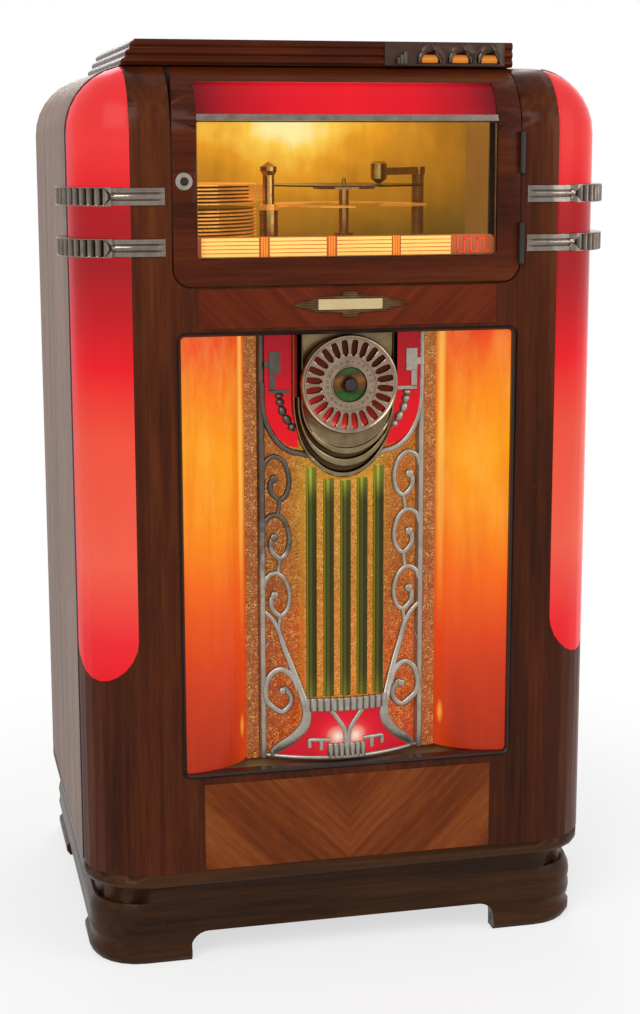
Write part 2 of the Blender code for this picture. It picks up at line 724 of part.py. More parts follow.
def build_base(finishes):
    bottom_top = BODY_BOTTOM - CLEARANCE
    bottom_low = bottom_top - BOTTOM_THICKNESS
    rings = [
        plan_ring(
            BODY_HALF_WIDTH - RECESS_INSET,
            PLINTH_FRONT_DEPTH + GROOVE_INSET,
            BODY_DEPTH - RECESS_INSET,
            CORNER_RADIUS - RECESS_INSET,
            z,
        )
        for z in (PLINTH_TOP + CLEARANCE, bottom_low)
    ]
    for inset, z in (
        (BOTTOM_EDGE_ROUND, bottom_low + CLEARANCE),
        (BOTTOM_EDGE_ROUND / 4, bottom_low + BOTTOM_EDGE_ROUND / 3),
        (0.0, bottom_low + BOTTOM_EDGE_ROUND),
        (0.0, bottom_top),
    ):
        rings.append(
            plan_ring(BODY_HALF_WIDTH - inset, inset, BODY_DEPTH - inset, CORNER_RADIUS - inset, z)
        )
    add_object("bottom_board", loft_mesh(rings), finishes["dark_wood"])

    profile = (
        (GROOVE_INSET, 0.0),
        (0.0, LOWER_BEAD_TOP / 3),
        (0.0, 2 * LOWER_BEAD_TOP / 3),
        (GROOVE_INSET, LOWER_BEAD_TOP),
        (MIDDLE_INSET, (2 * LOWER_BEAD_TOP + MIDDLE_BEAD_TOP) / 3),
        (0.0, (LOWER_BEAD_TOP + 2 * MIDDLE_BEAD_TOP) / 3),
        (MIDDLE_INSET, MIDDLE_BEAD_TOP),
        (0.0, (2 * MIDDLE_BEAD_TOP + PLINTH_TOP) / 3),
        (MIDDLE_INSET, (MIDDLE_BEAD_TOP + 2 * PLINTH_TOP) / 3),
        (GROOVE_INSET + MIDDLE_INSET, PLINTH_TOP),
    )
    outer = [
        plan_ring(
            PLINTH_HALF_WIDTH - inset,
            PLINTH_FRONT_DEPTH + inset,
            BODY_DEPTH - inset,
            PLINTH_CORNER - inset,
            z,
        )
        for inset, z in profile
    ]
    inner = [
        plan_ring(
            PLINTH_HALF_WIDTH - PLINTH_WALL,
            PLINTH_FRONT_DEPTH + PLINTH_WALL,
            BODY_DEPTH - PLINTH_WALL,
            PLINTH_CORNER - PLINTH_WALL,
            z,
        )
        for z in (PLINTH_TOP, 0.0)
    ]
    plinth = add_object("base_plinth", loft_mesh(outer + inner, closed=True), finishes["dark_wood"])
    front_cut = rounded_outline(FOOT_HALF_GAP, -FOOT_CUT_HEIGHT, FOOT_CUT_HEIGHT, FOOT_CUT_RADIUS)
    modify(
        plinth,
        prism("plinth_front_cut", front_cut, depth(-OVERRUN), depth(BODY_DEPTH + OVERRUN), "Y"),
    )
    side_half = (BODY_DEPTH - PLINTH_FRONT_DEPTH) / 2 - SIDE_FOOT_LENGTH
    side_middle = depth((BODY_DEPTH + PLINTH_FRONT_DEPTH) / 2)
    side_cut = [
        (side_middle + a, b)
        for a, b in rounded_outline(side_half, -FOOT_CUT_HEIGHT, FOOT_CUT_HEIGHT, FOOT_CUT_RADIUS)
    ]
    wide = PLINTH_HALF_WIDTH + OVERRUN
    modify(plinth, prism("plinth_side_cut", side_cut, -wide, wide, "X"))


def build_cabinet(finishes, forms):
    wide = BODY_HALF_WIDTH + OVERRUN
    shell = body_form("cabinet_shell", 0.0, finish=finishes["side_wood"])
    modify(shell, forms["inner"])
    behind = block(
        "behind_seam",
        (-wide, depth(SEAM_DEPTH), -OVERRUN),
        (wide, depth(BODY_DEPTH + OVERRUN), BODY_TOP + OVERRUN),
    )
    modify(shell, behind, "INTERSECT")

    frame = body_form("front_frame", 0.0, finish=finishes["wood"])
    modify(frame, forms["inner"])
    ahead = block(
        "ahead_of_seam",
        (-wide, depth(-OVERRUN), -OVERRUN),
        (wide, depth(SEAM_DEPTH - CLEARANCE), BODY_TOP + OVERRUN),
    )
    modify(frame, ahead, "INTERSECT")
    hole_low = DOOR_LOW - MOVING_GAP
    door_hole = rounded_outline(DOOR_HALF_WIDTH, hole_low, BODY_TOP + OVERRUN, DOOR_CORNER, False)
    modify(frame, prism("door_hole", door_hole, depth(-OVERRUN), depth(CORNER_RADIUS), "Y"))
    grille_hole = rounded_outline(OPENING_HALF_WIDTH, OPENING_LOW, OPENING_HIGH, OPENING_CORNER)
    modify(frame, prism("grille_hole", grille_hole, depth(-OVERRUN), depth(CORNER_RADIUS), "Y"))
    for side, label in ((-1, "left"), (1, "right")):
        modify(frame, corner_region(label + "_corner_hole", side, 0.0, depth(CORNER_RADIUS)))
    for label, low, high in (
        ("upper", UPPER_VENEER_LOW, UPPER_VENEER_HIGH),
        ("lower", LOWER_VENEER_LOW, LOWER_VENEER_HIGH),
    ):
        modify(
            frame,
            block(
                label + "_veneer_recess",
                (-VENEER_HALF_WIDTH, depth(-OVERRUN), low),
                (VENEER_HALF_WIDTH, depth(VENEER_THICKNESS), high),
            ),
        )
        block(
            label + "_veneer_panel",
            (-VENEER_HALF_WIDTH + CLEARANCE, depth(0.0), low + CLEARANCE),
            (VENEER_HALF_WIDTH - CLEARANCE, depth(VENEER_THICKNESS - CLEARANCE), high - CLEARANCE),
            finishes["veneer"],
        )

    for side, label in ((-1, "left"), (1, "right")):
        pilaster = body_form(label + "_pilaster", 0.0, finish=finishes["red_plastic"])
        modify(pilaster, forms["pilaster_inner"])
        limit = depth(SEAM_DEPTH - CLEARANCE)
        modify(pilaster, corner_region(label + "_pilaster_region", side, CLEARANCE, limit), "INTERSECT")


def build_bands(finishes):
    """Chrome bands that wrap the corners: a pointed bar on the front, a swelling lozenge round the corner."""
    centre_x = BODY_HALF_WIDTH - CORNER_RADIUS
    front_run = centre_x - BAND_TIP_X
    stations = []
    for step in range(4):
        share = step / 4
        stations.append((BAND_TIP_X + front_run * share, 0.0, (0.0, -1.0)))
    for step in range(9):
        turn = math.pi / 2 * step / 8
        normal = (math.sin(turn), -math.cos(turn))
        x = centre_x + CORNER_RADIUS * normal[0]
        y = CORNER_RADIUS + CORNER_RADIUS * normal[1]
        stations.append((x, y, normal))
    for step in range(1, 4):
        y = CORNER_RADIUS + (BAND_SIDE_DEPTH - CORNER_RADIUS) * step / 3
        stations.append((BODY_HALF_WIDTH, y, (1.0, 0.0)))
    lengths = [0.0]
    for first, second in zip(stations, stations[1:]):
        lengths.append(lengths[-1] + math.hypot(second[0] - first[0], second[1] - first[1]))
    total = lengths[-1]
    for side, label in ((-1, "left"), (1, "right")):
        for level, name in zip(BAND_LEVELS, ("lower", "upper")):
            rings = []
            for (x, y, normal), length in zip(stations, lengths):
                if length <= BAND_BAR_LENGTH:
                    share = length / BAND_BAR_LENGTH
                    half = BAND_TIP_HALF + (BAND_BAR_HALF - BAND_TIP_HALF) * share
                    proud = BAND_TIP_PROUD * (1.0 + share) / 2
                else:
                    share = (length - BAND_BAR_LENGTH) / (total - BAND_BAR_LENGTH)
                    swell = math.sin(math.pi * (BAND_START_SHARE + BAND_SWELL_SHARE * share))
                    half = BAND_BAR_HALF + (BAND_HALF_HEIGHT - BAND_BAR_HALF) * swell
                    proud = BAND_TIP_PROUD + (BAND_PROUD - BAND_TIP_PROUD) * swell
                ring = []
                edge = proud / 2
                section = ((-half, CLEARANCE), (-half, edge), (0.0, proud), (half, edge), (half, CLEARANCE))
                for lift, reach in section:
                    ring.append(
                        (side * (x + normal[0] * reach), depth(y + normal[1] * reach), level + lift)
                    )
                rings.append(ring)
            add_object(f"{label}_{name}_band", loft_mesh(rings), finishes["chrome"])


def build_door(finishes, forms):
    axis = (DOOR_HALF_WIDTH - MOVING_GAP / 2, depth(-KNUCKLE_PROUD), DOOR_LOW)
    wide = DOOR_HALF_WIDTH - MOVING_GAP
    door = body_form("door_frame", 0.0, finish=finishes["wood"], origin=axis)
    modify(door, forms["inner"])
    outline = rounded_outline(wide, DOOR_LOW, BODY_TOP + OVERRUN, DOOR_CORNER - MOVING_GAP, False)
    modify(door, prism("door_region", outline, depth(-OVERRUN), depth(DOOR_BACK_DEPTH), "Y"), "INTERSECT")
    window = rounded_outline(WINDOW_HALF_WIDTH, WINDOW_LOW, WINDOW_HIGH, WINDOW_CORNER)
    modify(door, prism("window_hole", window, depth(-OVERRUN), depth(WALL + OVERRUN), "Y"))
    modify(
        door,
        block(
            "top_panel_hole",
            (-TOP_PANEL_HALF_WIDTH, depth(-OVERRUN), TOP_PANEL_LOW),
            (TOP_PANEL_HALF_WIDTH, depth(DOOR_BACK_DEPTH - OVERRUN), TOP_PANEL_HIGH),
        ),
    )
    wedge = [
        (-wide - OVERRUN, depth(-OVERRUN)),
        (-wide, depth(-OVERRUN)),
        (-wide, depth(0.0)),
        (-wide + DOOR_TAPER, depth(CORNER_RADIUS)),
        (-wide - OVERRUN, depth(CORNER_RADIUS)),
    ]
    modify(door, prism("door_taper_cut", wedge, 0.0, BODY_TOP + OVERRUN, "Z"))
    bore = LOCK_RADIUS + CLEARANCE
    modify(
        door,
        lathe(
            "lock_bore",
            ((0.0, -OVERRUN), (bore, -OVERRUN), (bore, WALL + OVERRUN), (0.0, WALL + OVERRUN)),
            (LOCK_X, depth(0.0), LOCK_Z),
            24,
            axis="Y",
        ),
    )

    glass = rounded_outline(
        WINDOW_HALF_WIDTH - CLEARANCE, WINDOW_LOW + CLEARANCE, WINDOW_HIGH - CLEARANCE, WINDOW_CORNER
    )
    glass_back = GLASS_DEPTH + GLASS_THICKNESS
    prism("door_glass", glass, depth(GLASS_DEPTH), depth(glass_back), "Y", finishes["glass"], axis)
    board = rounded_outline(
        WINDOW_HALF_WIDTH - CLEARANCE,
        WINDOW_LOW + CLEARANCE,
        WINDOW_LOW + TITLE_BOARD_HEIGHT,
        WINDOW_CORNER,
    )
    board_front = glass_back + CLEARANCE
    prism(
        "title_board",
        board,
        depth(board_front),
        depth(board_front + TITLE_BOARD_THICKNESS),
        "Y",
        finishes["ivory"],
        axis,
    )
    top_panel = body_form("door_top_panel", TOP_PANEL_SINK, finish=finishes["red_plastic"], origin=axis)
    modify(top_panel, forms["top_panel_inner"])
    modify(
        top_panel,
        block(
            "top_panel_region",
            (-TOP_PANEL_HALF_WIDTH + CLEARANCE, depth(0.0), TOP_PANEL_LOW + CLEARANCE),
            (TOP_PANEL_HALF_WIDTH - CLEARANCE, depth(DOOR_BACK_DEPTH - OVERRUN), TOP_PANEL_HIGH - CLEARANCE),
        ),
        "INTERSECT",
    )
    trim = body_form("door_trim_strip", -TRIM_PROUD, finish=finishes["chrome"], origin=axis)
    modify(trim, forms["trim_inner"])
    modify(
        trim,
        block(
            "trim_region",
            (-TOP_PANEL_HALF_WIDTH, depth(-OVERRUN), WINDOW_HIGH - CLEARANCE),
            (TOP_PANEL_HALF_WIDTH, depth(OVERRUN), TOP_PANEL_LOW + CLEARANCE),
        ),
        "INTERSECT",
    )

    lock_centre = (LOCK_X, depth(0.0), LOCK_Z)
    bore = PLUG_RADIUS + CLEARANCE
    lathe(
        "lock_housing",
        (
            (bore, -LOCK_PROUD),
            (LOCK_RIM_RADIUS - LOCK_PROUD / 2, -LOCK_PROUD),
            (LOCK_RIM_RADIUS, -LOCK_PROUD / 2),
            (LOCK_RIM_RADIUS, -CLEARANCE),
            (LOCK_RADIUS, -CLEARANCE),
            (LOCK_RADIUS, WALL),
            (bore, WALL),
        ),
        lock_centre,
        16,
        finishes["chrome"],
        "Y",
        axis,
    )
    plug = lathe(
        "lock_plug",
        (
            (0.0, -LOCK_PROUD),
            (PLUG_RADIUS, -LOCK_PROUD),
            (PLUG_RADIUS, CAM_DEPTH + CAM_THICKNESS),
            (0.0, CAM_DEPTH + CAM_THICKNESS),
        ),
        lock_centre,
        16,
        finishes["chrome"],
        "Y",
        lock_centre,
    )
    cam_outline = [
        (LOCK_X - CAM_WIDTH / 2, LOCK_Z - CAM_WIDTH / 2),
        (LOCK_X + CAM_WIDTH / 2, LOCK_Z - CAM_WIDTH / 2),
        (LOCK_X + CAM_WIDTH / 2, LOCK_Z + CAM_LENGTH),
        (LOCK_X - CAM_WIDTH / 2, LOCK_Z + CAM_LENGTH),
    ]
    cam = prism(
        "lock_cam_shape",
        cam_outline,
        depth(CAM_DEPTH),
        depth(CAM_DEPTH + CAM_THICKNESS - CLEARANCE),
        "Y",
    )
    modify(plug, cam, "UNION")


def hinge(name, x, y, centre_z, length, leaf_side, leaf_reach, finish):
    """A knuckle standing in front of a seam, with its leaf reaching back into the seam."""
    low = centre_z - length / 2
    high = centre_z + length / 2
    knuckle = lathe(
        name,
        ((0.0, low), (KNUCKLE_RADIUS, low), (KNUCKLE_RADIUS, high), (0.0, high)),
        (x, y, 0.0),
        16,
        finish,
    )
    near = x + leaf_side * (MOVING_GAP / 2 - CLEARANCE)
    far = near - leaf_side * LEAF_THICKNESS
    inset = length * HINGE_LEAF_INSET_SHARE
    leaf = block(
        name + "_leaf",
        (min(near, far), min(y, y + leaf_reach), low + inset),
        (max(near, far), max(y, y + leaf_reach), high - inset),
    )
    return modify(knuckle, leaf, "UNION")


def build_front_fittings(finishes):
    x = DOOR_HALF_WIDTH - MOVING_GAP / 2
    for name, z in zip(("lower_door_hinge", "upper_door_hinge"), HINGE_CENTRES):
        hinge(name, x, depth(-KNUCKLE_PROUD), z, HINGE_LENGTH, 1, LEAF_DEPTH, finishes["black_iron"])

    outline = [(PLATE_HALF_LENGTH * a, PLATE_Z + PLATE_HALF_HEIGHT * b) for a, b in PLATE_SHARES]
    lower_shares = PLATE_SHARES[-1:0:-1]
    outline += [(PLATE_HALF_LENGTH * a, PLATE_Z - PLATE_HALF_HEIGHT * b) for a, b in lower_shares]
    outline.insert(len(PLATE_SHARES), (-PLATE_HALF_LENGTH, PLATE_Z))
    plate = prism(
        "centre_plate",
        outline,
        depth(-PLATE_THICKNESS - CLEARANCE),
        depth(-CLEARANCE),
        "Y",
        finishes["chrome"],
    )

    outer = rounded_outline(
        OPENING_HALF_WIDTH - CLEARANCE,
        OPENING_LOW + CLEARANCE,
        OPENING_HIGH - CLEARANCE,
        OPENING_CORNER - CLEARANCE,
    )
    inner = rounded_outline(
        OPENING_HALF_WIDTH - SURROUND_WIDTH,
        OPENING_LOW + SURROUND_WIDTH,
        OPENING_HIGH - SURROUND_WIDTH,
        OPENING_CORNER - SURROUND_WIDTH,
    )
    crest = rounded_outline(
        OPENING_HALF_WIDTH - SURROUND_WIDTH / 2,
        OPENING_LOW + SURROUND_WIDTH / 2,
        OPENING_HIGH - SURROUND_WIDTH / 2,
        OPENING_CORNER - SURROUND_WIDTH / 2,
    )
    rings = []
    for points, at in (
        (outer, SURROUND_DEPTH),
        (outer, 0.0),
        (crest, -SURROUND_PROUD),
        (inner, 0.0),
        (inner, SURROUND_DEPTH),
    ):
        rings.append([(a, depth(at), b) for a, b in points])
    add_object("grille_surround", loft_mesh(rings, closed=True), finishes["black"])


def amber_section(side):
    """Plan section of one amber panel: a quarter-ellipse sheet that falls back towards the middle."""
    front = []
    back = []
    run = AMBER_OUTER_X - AMBER_INNER_X
    fall = AMBER_BACK_DEPTH - AMBER_FRONT_DEPTH
    for step in range(AMBER_SEGMENTS + 1):
        share = step / AMBER_SEGMENTS
        turn = math.pi / 2 * share
        ease = AMBER_EASE_SHARE + (1.0 - AMBER_EASE_SHARE) * share
        x = AMBER_OUTER_X - run * math.sin(turn) * ease
        y = AMBER_FRONT_DEPTH + fall * (1.0 - math.cos(turn)) * ease
        front.append((side * x, depth(y)))
        back.append((side * x, depth(y + AMBER_THICKNESS)))
    return front + back[::-1]


def housing_half(z):
    """Half width of the dial housing's largest outline at a height below its shoulder."""
    share = (HOUSING_SHOULDER - z) / HOUSING_DROP
    return HOUSING_HALF_WIDTH * math.sqrt(1.0 - share * share)


def build_grille(finishes):
    low = OPENING_LOW + SURROUND_WIDTH + CLEARANCE
    high = OPENING_HIGH - SURROUND_WIDTH - CLEARANCE
    strips = []
    inset = SURROUND_WIDTH + CLEARANCE
    lit_outline = rounded_outline(
        OPENING_HALF_WIDTH - inset, OPENING_LOW + inset, OPENING_HIGH - inset, OPENING_CORNER - SURROUND_WIDTH
    )
    lit_area = prism("lit_area", lit_outline, depth(-OVERRUN), depth(CORNER_RADIUS), "Y")
    for side, label in ((-1, "left"), (1, "right")):
        amber = prism(label + "_amber_panel", amber_section(side), low, high, "Z", finishes["amber_plastic"])
        modify(amber, lit_area, "INTERSECT")
        xs = sorted((side * STRIP_INNER_X, side * STRIP_OUTER_X))
        strips.append(
            block(
                label + "_sparkle_strip",
                (xs[0], depth(STRIP_DEPTH), low + CLEARANCE),
                (xs[1], depth(STRIP_DEPTH + STRIP_THICKNESS), high - CLEARANCE),
            )
        )
        cheek = [(side * CHEEK_INNER_X, HOUSING_TOP), (side * CHEEK_OUTER_X, HOUSING_TOP)]
        reach = CHEEK_OUTER_X - CHEEK_CENTRE_X
        fall = CHEEK_SHOULDER - CHEEK_LOW
        for step in range(ROUND_STEPS + 1):
            turn = math.pi / 2 * step / ROUND_STEPS
            x = CHEEK_CENTRE_X + reach * math.cos(turn)
            cheek.append((side * x, CHEEK_SHOULDER - fall * math.sin(turn)))
        for step in range(ROUND_STEPS):
            z = CHEEK_LOW + (HOUSING_SHOULDER - CHEEK_LOW) * (step + 1) / ROUND_STEPS
            x = housing_half(z) + CHEEK_INNER_X - HOUSING_HALF_WIDTH
            cheek.append((side * x, z))
        prism(
            label + "_cheek_panel",
            cheek,
            depth(CHEEK_FRONT),
            depth(BACKING_FRONT - CLEARANCE),
            "Y",
            finishes["red_plastic"],
        )

    raised = []
    for step in range(ROUND_STEPS * 2 + 1):
        share = step / ROUND_STEPS - 1.0
        raised.append((RAISED_HALF_WIDTH * share, depth(RAISED_DEPTH + RAISED_BOW * share * share)))
    raised += [
        (RAISED_HALF_WIDTH, depth(BACKING_FRONT + CLEARANCE)),
        (-RAISED_HALF_WIDTH, depth(BACKING_FRONT + CLEARANCE)),
    ]
    backing = block(
        "sparkle_backing",
        (-BACKING_HALF_WIDTH, depth(BACKING_FRONT), low),
        (BACKING_HALF_WIDTH, depth(BACKING_BACK), high),
        finishes["gold_foil"],
    )
    modify(backing, prism("raised_backing", raised, RAISED_LOW, RAISED_HIGH, "Z"), "UNION")
    for strip in strips:
        modify(backing, strip, "UNION")

    for index in range(BAR_COUNT):
        x = BAR_PITCH * (index - (BAR_COUNT - 1) / 2)
        inner_edge = max(abs(x) - BAR_RADIUS, 0.0)
        seat = RAISED_DEPTH + RAISED_BOW * (inner_edge / RAISED_HALF_WIDTH) ** 2 - CLEARANCE
        section = []
        for step in range(9):
            turn = math.pi * (1.0 + step / 8)
            section.append((x + BAR_RADIUS * math.cos(turn), depth(seat) + BAR_RADIUS * math.sin(turn)))
        top = HOUSING_SHOULDER - HOUSING_DROP * math.sqrt(1.0 - (inner_edge / HOUSING_HALF_WIDTH) ** 2)
        prism(f"tone_bar_{index + 1}", section, BAR_LOW, top - MOVING_GAP, "Z", finishes["green_plastic"])


def spiral(centre_x, centre_z, half_width, half_height, side, start_degrees, turns):
    """A path that winds in from the edge of an ellipse towards its eye."""
    path = []
    for step in range(SCROLL_STEPS + 1):
        share = step / SCROLL_STEPS
        size = 1.0 - (1.0 - SPIRAL_END_SHARE) * share
        turn = math.radians(start_degrees) + math.tau * turns * share
        path.append(
            (
                side * (centre_x + half_width * size * math.cos(turn)),
                centre_z + half_height * size * math.sin(turn),
            )
        )
    return path


def fluted_outline(half_width, count, front, back):
    """Plan outline of a block whose front carries rounded flutes."""
    points = [(half_width, depth(back)), (-half_width, depth(back))]
    pitch = 2 * half_width / count
    for index in range(count):
        start = -half_width + pitch * index
        for step in range(4):
            share = step / 4
            dip = FLUTE_DEPTH * (1.0 - math.sin(math.pi * share))
            points.append((start + pitch * share, depth(front + dip)))
    points.append((half_width, depth(front + FLUTE_DEPTH)))
    return points


def swoosh_path(side, shares):
    """Points on a swoosh, from shares of its span inward and of its drop."""
    return [(side * (SWOOSH_TOP_X - SWOOSH_SPAN * a), SWOOSH_TOP_Z - SWOOSH_DROP * b) for a, b in shares]


def build_casting(finishes):
    """The open scroll casting in one piece: rails, six scrolls, two volutes, swooshes, emblem and rim."""
    top = OPENING_HIGH - SURROUND_WIDTH - CLEARANCE
    casting = block(
        "grille_casting",
        (-RAIL_OUTER_X, depth(CAST_FRONT), CAST_LOW + CLEARANCE + RIM_HEIGHT / 2),
        (-RAIL_INNER_X, depth(CAST_BACK), top),
        finishes["chrome"],
    )
    rail = block(
        "right_rail",
        (RAIL_INNER_X, depth(CAST_FRONT), CAST_LOW + CLEARANCE + RIM_HEIGHT / 2),
        (RAIL_OUTER_X, depth(CAST_BACK), top),
    )
    modify(casting, rail, "UNION")
    rim_low = OPENING_LOW + SURROUND_WIDTH + 2 * CLEARANCE
    rim = block(
        "casting_rim",
        (-RAIL_OUTER_X + CLEARANCE, depth(CAST_FRONT + CLEARANCE), rim_low),
        (RAIL_OUTER_X - CLEARANCE, depth(CAST_BACK - CLEARANCE), rim_low + RIM_HEIGHT),
    )
    modify(casting, rim, "UNION")
    volute_eye_radius = EYE_RADIUS * VOLUTE_EYE_SHARE
    for side, label in ((-1, "left"), (1, "right")):
        for index, z in enumerate(SCROLL_HEIGHTS):
            path = spiral(SCROLL_CENTRE_X, z, SCROLL_HALF_WIDTH, SCROLL_HALF_HEIGHT, side, 0.0, SPIRAL_TURNS)
            name = f"{label}_scroll_{index}"
            scroll = ribbon_mesh(path, SCROLL_WIDTH, SCROLL_FRONT, SCROLL_BACK)
            modify(casting, add_object(name, scroll), "UNION")
            eye_x = side * SCROLL_CENTRE_X
            eye = lathe(
                name + "_eye",
                (
                    (0.0, SCROLL_FRONT - CLEARANCE),
                    (EYE_RADIUS, SCROLL_FRONT + CLEARANCE),
                    (EYE_RADIUS, CAST_BACK - CLEARANCE),
                    (0.0, CAST_BACK - CLEARANCE),
                ),
                (eye_x, depth(0.0), z),
                12,
                axis="Y",
            )
            modify(casting, eye, "UNION")
        path = spiral(
            VOLUTE_CENTRE_X, VOLUTE_CENTRE_Z, VOLUTE_HALF_WIDTH, VOLUTE_HALF_HEIGHT, side, 0.0, SPIRAL_TURNS
        )
        volute_width = SCROLL_WIDTH + CLEARANCE
        volute = ribbon_mesh(path, volute_width, SCROLL_FRONT + CLEARANCE, SCROLL_BACK - CLEARANCE)
        modify(casting, add_object(label + "_volute", volute), "UNION")
        volute_eye = lathe(
            label + "_volute_eye",
            (
                (0.0, SCROLL_FRONT - CLEARANCE),
                (volute_eye_radius, SCROLL_FRONT),
                (volute_eye_radius, CAST_BACK - CLEARANCE),
                (0.0, CAST_BACK - CLEARANCE),
            ),
            (side * VOLUTE_CENTRE_X, depth(0.0), VOLUTE_CENTRE_Z),
            12,
            axis="Y",
        )
        modify(casting, volute_eye, "UNION")
        swoosh_back = SCROLL_BACK - 2 * CLEARANCE
        swoosh = swoosh_path(side, SWOOSH_SHARES)
        swoosh_mesh = ribbon_mesh(swoosh, SCROLL_WIDTH, SCROLL_FRONT - CLEARANCE, swoosh_back)
        modify(casting, add_object(label + "_swoosh", swoosh_mesh), "UNION")
        leaf = swoosh_path(side, LEAF_SHARES)
        leaf_mesh = ribbon_mesh(leaf, volute_width, SCROLL_FRONT + CLEARANCE, SCROLL_BACK - CLEARANCE)
        modify(casting, add_object(label + "_leaf_spur", leaf_mesh), "UNION")
        band = []
        for step in range(2 * ROUND_STEPS + 1):
            turn = math.pi / 2 * step / (2 * ROUND_STEPS)
            x = APRON_CENTRE_X + APRON_HALF_WIDTH * math.cos(turn)
            band.append((side * x, APRON_TOP_Z - APRON_DROP * math.sin(turn)))
        band_mesh = ribbon_mesh(band, SCROLL_WIDTH, SCROLL_FRONT - 2 * CLEARANCE, SCROLL_BACK)
        modify(casting, add_object(label + "_cheek_band", band_mesh), "UNION")

    header = prism(
        "emblem_header",
        fluted_outline(HEADER_HALF_WIDTH, HEADER_FLUTES, EMBLEM_FRONT, CAST_BACK - CLEARANCE),
        HEADER_LOW,
        HEADER_HIGH,
        "Z",
    )
    modify(casting, header, "UNION")
    foot_low = rim_low + CLEARANCE
    rise = HEADER_LOW + CLEARANCE - foot_low
    outline = []
    for side, shares in ((1, SHIELD_SHARES), (-1, SHIELD_SHARES[::-1])):
        for wide, high in shares:
            half = SHIELD_TOP_HALF + (SHIELD_FOOT_HALF - SHIELD_TOP_HALF) * wide
            outline.append((side * half, foot_low + rise * high))
    shield = prism("emblem_shield", shield_section(), foot_low, HEADER_LOW + CLEARANCE, "Z")
    outline_form = prism("shield_outline", outline, depth(0.0), depth(CAST_BACK - 2 * CLEARANCE), "Y")
    modify(shield, outline_form, "INTERSECT")
    for side, label in ((-1, "left"), (1, "right")):
        window = [(side * SHIELD_FOOT_HALF * wide, foot_low + rise * high) for wide, high in WINDOW_SHARES]
        modify(shield, prism(label + "_emblem_window", window, depth(-OVERRUN), depth(BACKING_BACK), "Y"))
    modify(casting, shield, "UNION")
    foot = prism(
        "emblem_foot",
        fluted_outline(EMBLEM_FOOT_HALF, FOOT_FLUTES, EMBLEM_FRONT, SHIELD_MIDDLE_DEPTH + FLUTE_DEPTH),
        rim_low + RIM_HEIGHT / 2,
        EMBLEM_FOOT_HIGH,
        "Z",
    )
    modify(casting, foot, "UNION")


def shield_section():
    """Plan section of the emblem's plate: forward at the middle, falling back as the square of X."""
    front = []
    back = []
    for step in range(2 * SHIELD_STEPS + 1):
        share = step / SHIELD_STEPS - 1.0
        at = SHIELD_MIDDLE_DEPTH + (SHIELD_EDGE_DEPTH - SHIELD_MIDDLE_DEPTH) * share * share
        x = (SHIELD_FOOT_HALF + CLEARANCE) * share
        front.append((x, depth(at)))
        back.append((x, depth(at + SHIELD_THICKNESS)))
    return front + back[::-1]


def housing_outline(fall, inset):
    """Front outline of one housing step: straight sides above half an ellipse."""
    half = HOUSING_HALF_WIDTH - inset
    points = [(-half, HOUSING_TOP - inset)]
    for step in range(4 * ROUND_STEPS + 1):
        turn = math.pi * (1.0 + step / (4 * ROUND_STEPS))
        points.append((half * math.cos(turn), HOUSING_SHOULDER + fall * math.sin(turn)))
    points.append((half, HOUSING_TOP - inset))
    return points


